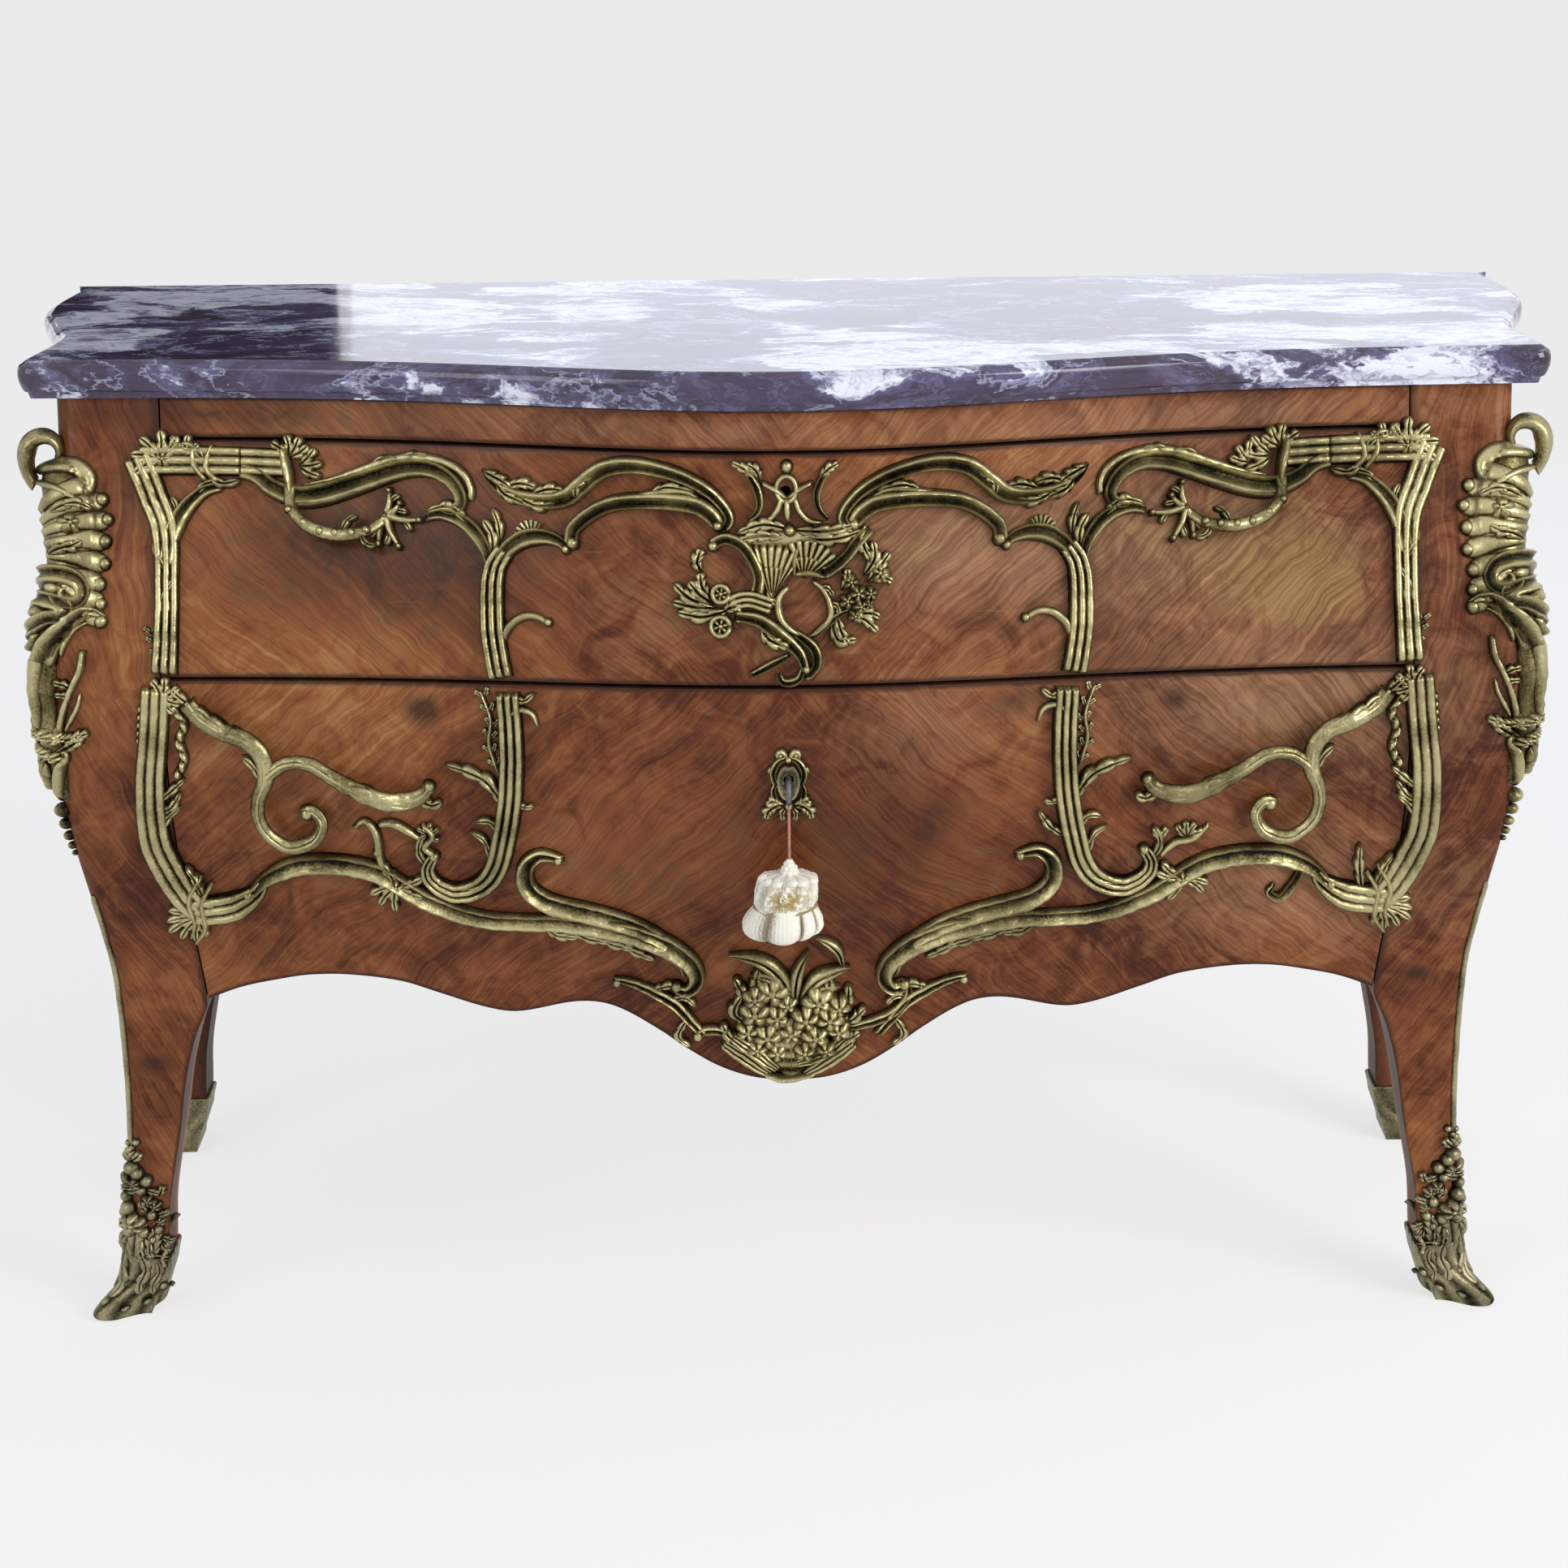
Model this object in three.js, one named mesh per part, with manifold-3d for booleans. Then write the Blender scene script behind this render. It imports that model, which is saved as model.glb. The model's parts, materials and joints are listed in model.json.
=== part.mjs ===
// Two-drawer bombe commode with a serpentine front, cast mounts and a marble top.
// Millimetres, +Z up, front towards -Y. The drawer fronts hide the rail between them.

import * as THREE from 'three';
import { mergeVertices } from 'three/addons/utils/BufferGeometryUtils.js';
import Module from 'manifold-3d';

const wasm = await Module();
wasm.setup();

// Driving dimensions of the case
const caseHeight = 857;
const halfWidth = 627;
const caseDepth = 392;
const frontSetback = 18;
const bellyDepth = 78;
const bowDepth = 93;
const bowSpread = 300;
const sideFlare = 34;
const sideSwell = 23;

// Marble top
const marbleThickness = 33;
const marbleOverhang = 28;
const marbleBackOverhang = 7;
const marbleEar = 15;
const marbleMould = 9;

// Drawers and the rails between them
const postWidth = 92;
const upperDrawerTopShare = 0.95624;
const drawerPartingShare = 0.73045;
const seam = 1.5;
const frontThickness = 24;
const sideBoard = 12;
const backBoard = 12;
const drawerBottomBoard = 8;
const boxInset = 15;
const upperBoxDrop = 15.5;
const drawerBackClear = 44;
const railHeight = 22;
const friezeDepth = 46;
const dustBoardThickness = 12;
const bottomBoardThickness = 12;
const bottomBoardShare = 0.40257;
const railBackPlane = 14;
const guideHeight = 26;
const guideWidth = 11;

// Apron under the lower drawer and under the sides
const apronCentreShare = 0.29172;
const apronRiseShare = 0.10852;
const sideApronShare = 0.37106;
const sideApronRiseShare = 0.03034;

// Legs, panels and back
const postDepth = 60;
const ankleDepth = 44;
const cornerRadius = 18;
const panelThickness = 18;
const backThickness = 12;
const backRailHeight = 60;

// Sabots
const sabotWall = 3;
const sabotHeight = 58;
const vineHeight = 100;

// Locks, key and tassel
const upperKeyholeDepth = 30.5;
const lowerKeyholeDepth = 82;
const lockWidth = 76;
const lockDepth = 15;
const lockDrop = 30;
const lockWall = 2;
const boltWidth = 40;
const boltThickness = 5;
const boltClear = 16.5;
const boltProud = 1;
const boltThrow = 9;
const keyholeRadius = 4.5;
const keyholeSlot = 4;
const keyholeDrop = 13;
const shankRadius = 3;
const bitLength = 9;
const bitReach = 12;
const bitThickness = 2.4;
const bowReach = 13;
const bowHeight = 26;
const bowStock = 5;
const bowLead = 20;
const tasselCordDiameter = 2.4;
const tasselDrop = 44;
const tasselRadius = 35;
const tasselSquash = 26;
const tasselHeight = 66;
const knobRadius = 10;
const knobHeight = 15;

// Clearances and construction
const gap = 0.3;
const railClear = 2;
const boxClear = 0.9;
const overrun = 5;
const probe = 0.5;

// Relief of the cast mounts
const scrollWidth = 15;
const scrollRelief = 11;
const pullRelief = 10;
const branchRelief = 14;
const pullRise = 13;
const pullReach = 34;
const barWidth = 22;
const barRelief = 9;
const twigWidth = 8;
const twigRelief = 6;
const leafWidth = 13;
const leafRelief = 5;
const mountLift = 0.5;
const leafLift = 0.8;
const beadRadius = 5;
const rosetteRadius = 11;
const rosetteRelief = 9;

// Colours and finishes
const veneer = { color: 0x7c452a, roughness: 0.32, metalness: 0 };
const veneerDark = { color: 0x5c2d1c, roughness: 0.34, metalness: 0 };
const carcass = { color: 0xa98458, roughness: 0.7, metalness: 0 };
const bronze = { color: 0xa2955a, roughness: 0.38, metalness: 1 };
const iron = { color: 0x6d6a62, roughness: 0.5, metalness: 1 };
const stone = { color: 0x4c3a42, roughness: 0.16, metalness: 0 };
const silk = { color: 0xe6e0d2, roughness: 0.8, metalness: 0 };

const frontPlane = frontSetback;
const backPlane = frontSetback + caseDepth;
const carcassTop = caseHeight - gap;
const drawerHalf = halfWidth - postWidth;
const upperDrawerTop = caseHeight * upperDrawerTopShare;
const drawerParting = caseHeight * drawerPartingShare;
const bottomBoardBase = caseHeight * bottomBoardShare;
const apronCentre = caseHeight * apronCentreShare;
const apronRise = caseHeight * apronRiseShare;
const sideApronBase = caseHeight * sideApronShare;
const sideApronRise = caseHeight * sideApronRiseShare;
const upperBoxTop = upperDrawerTop - upperBoxDrop;
const drawerBackPlane = backPlane - drawerBackClear;
const upperKeyholeHeight = upperDrawerTop - upperKeyholeDepth;
const lowerKeyholeHeight = drawerParting - lowerKeyholeDepth;

// A smooth curve through rows of [place, value]
function smooth(rowShares) {
  const rows = [...rowShares].sort((a, b) => a[0] - b[0]);
  const slopes = rows.map((row, i) => {
    const before = rows[Math.max(i - 1, 0)];
    const after = rows[Math.min(i + 1, rows.length - 1)];
    return (after[1] - before[1]) / (after[0] - before[0]);
  });
  return (place) => {
    const at = THREE.MathUtils.clamp(place, rows[0][0], rows[rows.length - 1][0]);
    let i = 0;
    while (i < rows.length - 2 && at > rows[i + 1][0]) i += 1;
    const span = rows[i + 1][0] - rows[i][0];
    const t = (at - rows[i][0]) / span;
    const t2 = t * t;
    const t3 = t2 * t;
    return (2 * t3 - 3 * t2 + 1) * rows[i][1] + (t3 - 2 * t2 + t) * span * slopes[i]
      + (3 * t2 - 2 * t3) * rows[i + 1][1] + (t3 - t2) * span * slopes[i + 1];
  };
}

// Profiles of the case against height, as shares
const bellyShare = smooth([
  [0, 0.38], [0.07, 0.28], [0.175, 0.23], [0.292, 0.31], [0.397, 0.49], [0.49, 0.72],
  [0.583, 0.92], [0.677, 1], [0.747, 0.94], [0.817, 0.71], [0.898, 0.3], [0.957, 0.09], [1, 0],
]);
const bowShare = smooth([
  [0, 0.58], [0.397, 0.58], [0.49, 0.54], [0.583, 0.49], [0.677, 0.49], [0.747, 0.53],
  [0.817, 0.62], [0.898, 0.82], [0.957, 0.97], [1, 1],
]);
const swellShare = smooth([
  [0, 1], [0.01, 1], [0.05, 0.2], [0.12, -0.45], [0.218, -0.72], [0.285, -0.8], [0.392, -0.8],
  [0.439, -0.62], [0.481, -0.38], [0.544, 0], [0.6, 0.2], [0.666, 0.3], [0.748, 0.28],
  [0.863, 0.1], [0.93, 0], [1, 0],
]);
const flareShare = smooth([[0, 0], [0.27, -0.26], [0.48, 0.35], [0.69, 1], [1, 0.82]]);
const edgeShare = smooth([
  [0, 1.1], [0.012, 1.1], [0.05, 1.078], [0.121, 1.069], [0.161, 1.058], [0.212, 1.041],
  [0.272, 1.024], [0.326, 1.0], [0.36, 0.976], [0.372, 0.975], [0.397, 0.978], [0.5, 0.9925],
  [0.6, 1], [1, 1],
]);
const legDepthShare = smooth([
  [0, 0.3], [0.02, 0.3], [0.07, 0], [0.16, 0], [0.272, 0.35], [0.36, 0.95], [0.42, 1], [1, 1],
]);
const apronCurveShare = smooth([
  [0, 0], [0.06, 0.03], [0.12, 0.15], [0.18, 0.36], [0.22, 0.52], [0.3, 0.77], [0.36, 0.8],
  [0.465, 0.66], [0.52, 0.69], [0.6, 0.83], [0.66, 0.94], [0.75, 1], [0.82, 0.99],
  [0.88, 0.93], [0.94, 0.85], [1, 0.72],
]);
const sideApronCurveShare = smooth([[0, 0], [0.25, 0.9], [0.5, 0.55], [0.75, 0.9], [1, 0]]);

// Outer surfaces of the case
function frontAt(x, z) {
  const share = z / caseHeight;
  const bow = Math.exp(-((x / bowSpread) ** 2));
  return frontPlane - bellyDepth * bellyShare(share) - bowDepth * bowShare(share) * bow;
}

function sideAt(y, z) {
  const depthShare = (y - frontPlane) / caseDepth;
  return halfWidth + sideFlare * flareShare(depthShare) + sideSwell * swellShare(z / caseHeight);
}

function drawerEdge(z) {
  return drawerHalf * edgeShare(z / caseHeight);
}

function legDepth(z) {
  return ankleDepth + (postDepth - ankleDepth) * legDepthShare(z / caseHeight);
}

// The rounded front corner, walked by arc length from the arris
const cornerArc = (cornerRadius * Math.PI) / 4;

function cornerBase(s, z) {
  const outer = sideAt(frontPlane, z);
  const front = frontAt(outer, z);
  if (s <= -cornerArc) {
    const x = outer - cornerRadius + s + cornerArc;
    return new THREE.Vector3(x, frontAt(x, z), z);
  }
  if (s >= cornerArc) {
    const y = front + cornerRadius + s - cornerArc;
    return new THREE.Vector3(sideAt(Math.max(y, frontPlane), z), y, z);
  }
  const turn = ((s + cornerArc) / (2 * cornerArc)) * (Math.PI / 2);
  const x = outer - cornerRadius + cornerRadius * Math.sin(turn);
  return new THREE.Vector3(x, front + cornerRadius - cornerRadius * Math.cos(turn), z);
}

// A face gives the point that lies a height above a base surface
function faceOf(base) {
  return (a, b, height) => {
    const point = base(a, b);
    const along = base(a + probe, b).sub(base(a - probe, b));
    const up = base(a, b + probe).sub(base(a, b - probe));
    return point.addScaledVector(along.cross(up).normalize(), height);
  };
}

const frontFace = faceOf((x, z) => new THREE.Vector3(x, frontAt(x, z), z));

// A face that rises clear of the base between its feet, for what a hand goes behind
function raisedFace(face, feet, rise, reach) {
  return (a, b, height) => {
    const clear = feet.reduce((share, [footA, footB]) => (
      share * THREE.MathUtils.smoothstep(Math.hypot(a - footA, b - footB), 0, reach)
    ), 1);
    return face(a, b, height + rise * clear);
  };
}

const cornerFace = faceOf(cornerBase);

// Closed bodies from points and triangles, turned so that the faces point out
function body(points, triangles) {
  let volume = 0;
  for (const [a, b, c] of triangles) {
    volume += points[a].dot(points[b].clone().cross(points[c]));
  }
  const turned = volume < 0 ? triangles.map(([a, b, c]) => [a, c, b]) : triangles;
  const geometry = new THREE.BufferGeometry();
  const flat = points.flatMap((point) => point.toArray());
  geometry.setAttribute('position', new THREE.Float32BufferAttribute(flat, 3));
  geometry.setIndex(turned.flat());
  return geometry;
}

// A loft through rings of equal count, closed by a fan at each end
function loft(rings) {
  const count = rings[0].length;
  const points = rings.flat().map((point) => point.clone());
  const triangles = [];
  for (let r = 0; r < rings.length - 1; r += 1) {
    for (let i = 0; i < count; i += 1) {
      const j = (i + 1) % count;
      const a = r * count + i;
      const b = r * count + j;
      triangles.push([a, b, b + count], [a, b + count, a + count]);
    }
  }
  for (const last of [false, true]) {
    const start = last ? (rings.length - 1) * count : 0;
    const face = Array.from({ length: count }, (_, i) => start + i);
    if (count > 4) {
      const middle = new THREE.Vector3();
      face.forEach((i) => middle.add(points[i]));
      points.push(middle.divideScalar(count));
      face.unshift(points.length - 1);
      face.push(start);
    }
    for (let i = 1; i < face.length - 1; i += 1) {
      triangles.push(last ? [face[0], face[i], face[i + 1]] : [face[0], face[i + 1], face[i]]);
    }
  }
  return body(points, triangles);
}

// A slab between two skins: outer and inner are grids of equal size
function slab(outer, inner) {
  const rows = outer.length;
  const columns = outer[0].length;
  const points = [...outer.flat(), ...inner.flat()];
  const at = (skin, r, c) => skin * rows * columns + r * columns + c;
  const triangles = [];
  const quad = (a, b, c, d) => triangles.push([a, b, c], [a, c, d]);
  for (let r = 0; r < rows - 1; r += 1) {
    const leftHalf = r < (rows - 1) / 2;
    for (let c = 0; c < columns - 1; c += 1) {
      const near = [at(0, r, c), at(0, r, c + 1), at(0, r + 1, c + 1), at(0, r + 1, c)];
      const far = [at(1, r, c), at(1, r + 1, c), at(1, r + 1, c + 1), at(1, r, c + 1)];
      for (const corners of [near, far]) {
        if (leftHalf) corners.push(corners.shift());
        quad(...corners);
      }
    }
  }
  for (let c = 0; c < columns - 1; c += 1) {
    quad(at(0, 0, c), at(1, 0, c), at(1, 0, c + 1), at(0, 0, c + 1));
    const r = rows - 1;
    quad(at(0, r, c + 1), at(1, r, c + 1), at(1, r, c), at(0, r, c));
  }
  for (let r = 0; r < rows - 1; r += 1) {
    quad(at(0, r + 1, 0), at(1, r + 1, 0), at(1, r, 0), at(0, r, 0));
    const c = columns - 1;
    quad(at(0, r, c), at(1, r, c), at(1, r + 1, c), at(0, r + 1, c));
  }
  return body(points, triangles);
}

function welded(geometry) {
  const bare = geometry.clone();
  bare.deleteAttribute('normal');
  bare.deleteAttribute('uv');
  return mergeVertices(bare);
}

function solidOf(geometry) {
  const merged = welded(geometry);
  return new wasm.Manifold(new wasm.Mesh({
    numProp: 3,
    vertProperties: new Float32Array(merged.attributes.position.array),
    triVerts: new Uint32Array(merged.index.array),
  }));
}

function geometryOf(solid) {
  const mesh = solid.getMesh();
  const geometry = new THREE.BufferGeometry();
  geometry.setAttribute('position', new THREE.Float32BufferAttribute(mesh.vertProperties, 3));
  geometry.setIndex([...mesh.triVerts]);
  return geometry;
}

function join(geometries) {
  const solids = geometries.map(solidOf);
  return geometryOf(solids.reduce((sum, solid) => sum.add(solid)));
}

function cut(geometry, tools) {
  return geometryOf(tools.map(solidOf).reduce((rest, tool) => rest.subtract(tool), solidOf(geometry)));
}

function mirrored(geometry) {
  const whole = welded(geometry);
  const position = whole.attributes.position;
  const points = [];
  for (let i = 0; i < position.count; i += 1) {
    points.push(new THREE.Vector3(-position.getX(i), position.getY(i), position.getZ(i)));
  }
  const triangles = [];
  for (let i = 0; i < whole.index.count; i += 3) {
    triangles.push([0, 1, 2].map((k) => whole.index.getX(i + k)));
  }
  return body(points, triangles);
}

function block(low, high) {
  const size = high.clone().sub(low);
  const centre = high.clone().add(low).multiplyScalar(0.5);
  return new THREE.BoxGeometry(size.x, size.y, size.z).translate(centre.x, centre.y, centre.z);
}

function box(x0, x1, y0, y1, z0, z1) {
  return block(new THREE.Vector3(x0, y0, z0), new THREE.Vector3(x1, y1, z1));
}

// A flat board from its plan outline
function planBoard(outline, z0, z1) {
  const shape = new THREE.Shape(outline.map(([x, y]) => new THREE.Vector2(x, y)));
  const board = new THREE.ExtrudeGeometry(shape, { depth: z1 - z0, bevelEnabled: false });
  return board.translate(0, 0, z0);
}

// A board standing on edge, from its outline of [y, z], between two values of x
function sideProfile(outline, x0, x1) {
  const shape = new THREE.Shape(outline.map(([y, z]) => new THREE.Vector2(y, z)));
  const board = new THREE.ExtrudeGeometry(shape, { depth: x1 - x0, bevelEnabled: false });
  board.rotateX(Math.PI / 2).rotateZ(Math.PI / 2);
  return board.translate(x0, 0, 0);
}

function steps(count) {
  return Array.from({ length: count + 1 }, (_, i) => i / count);
}

function between(low, high, share) {
  return low + (high - low) * share;
}

// Drawer faces
const drawerFaces = {
  upper: { low: drawerParting + seam, high: upperDrawerTop },
  lower: { low: apronCentre + seam, high: drawerParting - seam },
};
const frontColumnCount = 22;
const upperRowShares = [0, 0.17, 0.34, 0.5, 0.63, 0.74, 0.84, 0.92, 1];
const lowerRowShares = [0, 0.12, 0.24, 0.35, 0.46, 0.57, 0.68, 0.79, 0.9, 1];

function bowedBoard(lowAt, high, rowShares, depth) {
  const outer = [];
  const inner = [];
  for (const column of steps(frontColumnCount)) {
    const side = between(-1, 1, column);
    const low = lowAt(Math.abs(side));
    const heights = rowShares.map((share) => between(low, high, share));
    outer.push(heights.map((z) => {
      const x = side * drawerEdge(z);
      return new THREE.Vector3(x, frontAt(x, z), z);
    }));
    inner.push(heights.map((z) => {
      const x = side * drawerEdge(z);
      return new THREE.Vector3(x, frontAt(x, z) + depth, z);
    }));
  }
  return slab(outer, inner);
}

// A keyhole through a front board: a round bore with a slot under it
const holeReach = bellyDepth + bowDepth + frontSetback + overrun;

function keyholeCut(height) {
  const bore = new THREE.CylinderGeometry(keyholeRadius, keyholeRadius, 2 * holeReach, 10);
  bore.translate(0, 0, height);
  const wide = keyholeSlot / 2;
  const slot = box(-wide, wide, -holeReach, holeReach, height - keyholeDrop, height);
  return [bore, slot];
}

const upperFront = cut(
  bowedBoard(() => drawerFaces.upper.low, drawerFaces.upper.high, upperRowShares, frontThickness),
  keyholeCut(upperKeyholeHeight),
);
const lowerFront = cut(
  bowedBoard(
    (side) => apronCentre + apronRise * apronCurveShare(side),
    drawerFaces.lower.high,
    lowerRowShares,
    frontThickness,
  ),
  keyholeCut(lowerKeyholeHeight),
);

// Legs: one loft each, from inside the sabot to the underside of the marble
const legHeightShares = [
  0, 0.015, 0.04, 0.08, 0.13, 0.19, 0.26, 0.32, 0.36, 0.39, 0.44, 0.49, 0.54, 0.59, 0.64, 0.69,
  0.735, 0.78, 0.82, 0.86, 0.895, 0.93, 0.965, 1,
];
const footBase = sabotWall + gap;

function frontLegRing(z, grow) {
  const inner = drawerEdge(z) + seam - grow;
  const outer = sideAt(frontPlane, z) + grow;
  const front = frontAt(halfWidth, z) - grow;
  const back = frontAt(halfWidth, z) + legDepth(z) + grow;
  const radius = cornerRadius + grow;
  const ring = [new THREE.Vector3(inner, frontAt(inner, z) - grow, z)];
  ring.push(new THREE.Vector3((inner + outer - radius) / 2, front, z));
  for (const share of steps(3)) {
    const turn = share * (Math.PI / 2);
    const x = outer - radius + radius * Math.sin(turn);
    ring.push(new THREE.Vector3(x, front + radius - radius * Math.cos(turn), z));
  }
  ring.push(new THREE.Vector3(sideAt(Math.max(back, frontPlane), z) + grow, back, z));
  ring.push(new THREE.Vector3(inner, back, z));
  return ring;
}

function backLegRing(z, grow) {
  const inner = drawerEdge(z) + seam + sideFlare * flareShare(1) - grow;
  const front = backPlane - legDepth(z) - grow;
  const back = backPlane + grow;
  const outerFront = sideAt(front, z) + grow;
  const outerBack = sideAt(backPlane, z) + grow;
  const round = cornerRadius / 2 + grow;
  return [
    new THREE.Vector3(inner, front, z),
    new THREE.Vector3(outerFront - round, front, z),
    new THREE.Vector3(outerFront, front + round, z),
    new THREE.Vector3((outerFront + outerBack) / 2, (front + back) / 2, z),
    new THREE.Vector3(outerBack, back, z),
    new THREE.Vector3(inner, back, z),
  ];
}

function legBody(ring) {
  const heights = legHeightShares.map((share) => between(footBase, carcassTop, share));
  return loft(heights.map((z) => ring(z, 0)));
}

// The room that a leg takes from what is fitted to it
function legRoom(ring) {
  const heights = legHeightShares.map((share) => between(footBase, carcassTop, share));
  const grown = [...heights, caseHeight + gap].map((z) => ring(z, gap));
  const sole = grown[0].map((point) => new THREE.Vector3(point.x, point.y, footBase - gap));
  return loft([sole, ...grown]);
}

const frontLegRoom = legRoom(frontLegRing);
const backLegRoom = legRoom(backLegRing);

// The planes where a side panel meets the legs, carried past its skins
function panelStop(fromLeg) {
  const heights = legHeightShares.map((share) => between(footBase, carcassTop, share));
  return loft([...heights, caseHeight + overrun].map((z) => {
    const high = Math.min(z, carcassTop);
    const [near, far] = fromLeg(high);
    const inner = drawerHalf - sideSwell;
    const outer = halfWidth + sideFlare + sideSwell + overrun;
    return [[inner, near], [outer, near], [outer, far], [inner, far]].map(([x, y]) => (
      new THREE.Vector3(x, y, z)
    ));
  }));
}

const frontStop = panelStop((z) => {
  const back = frontAt(halfWidth, z) + legDepth(z) + gap;
  return [back - postDepth, back];
});
const backStop = panelStop((z) => [backPlane - legDepth(z) - gap, backPlane + overrun]);

// Sabot: a shoe round the foot, open above and closed under the wood
const sabotRowShares = [0, 0.12, 0.4, 0.8, 1];
const sabotSwellShares = [0.5, 1.6, 1.1, 0.5, 1.3];

function sabotBody(ring, room, vines) {
  const shoe = loft(sabotRowShares.map((share, i) => {
    const z = between(0, sabotHeight, share);
    return ring(z, gap + sabotWall * sabotSwellShares[i]);
  }));
  return cut(join([shoe, ...vines]), [room]);
}

// Ribbons of cast metal that lie on a face along a path
const ridgeShares = [[-1, 0], [0, 1], [1, 0]];
const flatShares = [[-1, 0], [-0.62, 1], [0.62, 1], [1, 0]];
const reedShares = [[-1, 0], [-0.6, 1], [0, 0.5], [0.6, 1], [1, 0]];
const roundShares = [[-1, 0.4], [-0.55, 0.9], [0.1, 1], [0.7, 0.8], [1, 0.35], [0.45, 0], [-0.5, 0]];
const stemShares = [[0, 0.75], [0.5, 1], [1, 0.55]];
const evenShares = [[0, 1], [1, 1]];
const gripShares = [[0, 0.9], [0.5, 1], [1, 0.7]];
const leafShares = [[0, 0.45], [0.5, 1], [1, 0.12]];
const tendrilShares = [[0, 1], [0.6, 0.8], [1, 0.45]];

function ribbon(face, path, options) {
  const { width, relief, section = flatShares, taper = stemShares, lift = mountLift, count } = options;
  const line = new THREE.SplineCurve(path.map(([a, b]) => new THREE.Vector2(a, b)));
  const widthShare = smooth(taper);
  const rings = steps(count).map((share) => {
    const centre = line.getPointAt(share);
    const heading = line.getTangentAt(share);
    const half = (width / 2) * widthShare(share);
    return section.map(([across, up]) => face(
      centre.x - heading.y * half * across,
      centre.y + heading.x * half * across,
      lift + relief * up * (0.4 + 0.6 * widthShare(share)),
    ));
  });
  return loft(rings);
}

function stem(face, path, width, relief, count) {
  return ribbon(face, path, { width, relief, count });
}

function grip(face, path, width, relief, count) {
  return ribbon(face, path, { width, relief, count, section: roundShares, taper: gripShares });
}

function vein(face, path, width, relief, count) {
  return ribbon(face, path, { width, relief, count, section: ridgeShares });
}

function reeds(face, path, width, relief, count) {
  return ribbon(face, path, { width, relief, count, section: reedShares, taper: evenShares });
}

function twig(face, path, count = 3) {
  const shape = { section: ridgeShares, taper: tendrilShares, lift: leafLift };
  return ribbon(face, path, { ...shape, width: twigWidth, relief: twigRelief, count });
}

function leaf(face, path, size = 1) {
  const shape = { section: ridgeShares, taper: leafShares, lift: leafLift, count: 2 };
  return ribbon(face, path, { ...shape, width: leafWidth * size, relief: leafRelief });
}

// A rosette or bead: rings of points round a centre on the face
function boss(face, [a, b], radius, relief, count = 6) {
  const ring = (reach, height) => Array.from({ length: count }, (_, i) => {
    const turn = (i / count) * Math.PI * 2;
    const spread = radius * reach;
    return face(a + spread * Math.cos(turn), b + spread * Math.sin(turn), leafLift + height);
  });
  return loft([ring(1, 0), ring(0.6, relief)]);
}

// Places on a drawer face, as shares of its half width and of its height
function onDrawer(face, shares) {
  const { low, high } = drawerFaces[face];
  return shares.map(([side, up]) => [side * drawerHalf, between(low, high, up)]);
}

const onUpper = (shares) => onDrawer('upper', shares);
const onLower = (shares) => onDrawer('lower', shares);

function leaves(place, paths, size) {
  return paths.map((path) => leaf(frontFace, place(path), size));
}

// Upper drawer mounts
const upperBarShares = [[1.035, 0.925], [0.95, 0.927], [0.869, 0.922]];
const branchBarShares = [[0.864, 0.922], [0.835, 0.92], [0.8, 0.915]];
const upperReedShares = [[1.035, 0.93], [1.012, 0.76], [0.992, 0.6], [0.99, 0.3], [0.995, 0.03]];
const upperFrameTwigShares = [[0.988, 0.58], [0.968, 0.7], [0.945, 0.77], [0.915, 0.79]];
const upperFrameLeafShares = [
  [[0.99, 0.86], [1.03, 0.93], [1.055, 0.975]],
  [[0.97, 0.93], [1, 0.975], [1.04, 0.985]],
  [[0.92, 0.83], [0.945, 0.9], [0.94, 0.985]],
  [[1, 0.08], [1.028, 0.16], [1.022, 0.24]],
];

function upperFrame() {
  return join([
    reeds(frontFace, onUpper(upperBarShares), barWidth, barRelief, 4),
    reeds(frontFace, onUpper(upperReedShares), barWidth * 0.8, barRelief, 7),
    twig(frontFace, onUpper(upperFrameTwigShares)),
    ...leaves(onUpper, upperFrameLeafShares),
  ]);
}

const upperBranchShares = [
  [0.86, 0.86], [0.83, 0.825], [0.795, 0.78], [0.745, 0.775], [0.69, 0.82], [0.64, 0.87],
  [0.595, 0.91], [0.555, 0.9], [0.522, 0.84], [0.508, 0.76], [0.525, 0.735], [0.542, 0.755],
];
const upperPullShares = [
  [0.79, 0.82], [0.788, 0.72], [0.768, 0.65], [0.73, 0.62], [0.68, 0.625], [0.645, 0.66], [0.62, 0.71],
];
const upperBranchLeafShares = [
  [[0.79, 0.78], [0.795, 0.88], [0.788, 0.985]],
  [[0.8, 0.86], [0.765, 0.925], [0.72, 0.925]],
  [[0.792, 0.88], [0.775, 0.95], [0.755, 0.99]],
  [[0.64, 0.66], [0.625, 0.74], [0.625, 0.8]],
  [[0.645, 0.66], [0.62, 0.64], [0.603, 0.6]],
];

const upperPullFeetShares = [[0.79, 0.82], [0.63, 0.69]];

function upperBranch() {
  const raised = raisedFace(frontFace, onUpper(upperPullFeetShares), pullRise, pullReach);
  return join([
    reeds(frontFace, onUpper(branchBarShares), barWidth, barRelief, 2),
    stem(frontFace, onUpper(upperBranchShares), scrollWidth * 1.2, branchRelief, 12),
    grip(raised, onUpper(upperPullShares), scrollWidth * 0.75, pullRelief, 10),
    ...leaves(onUpper, upperBranchLeafShares),
  ]);
}

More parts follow.
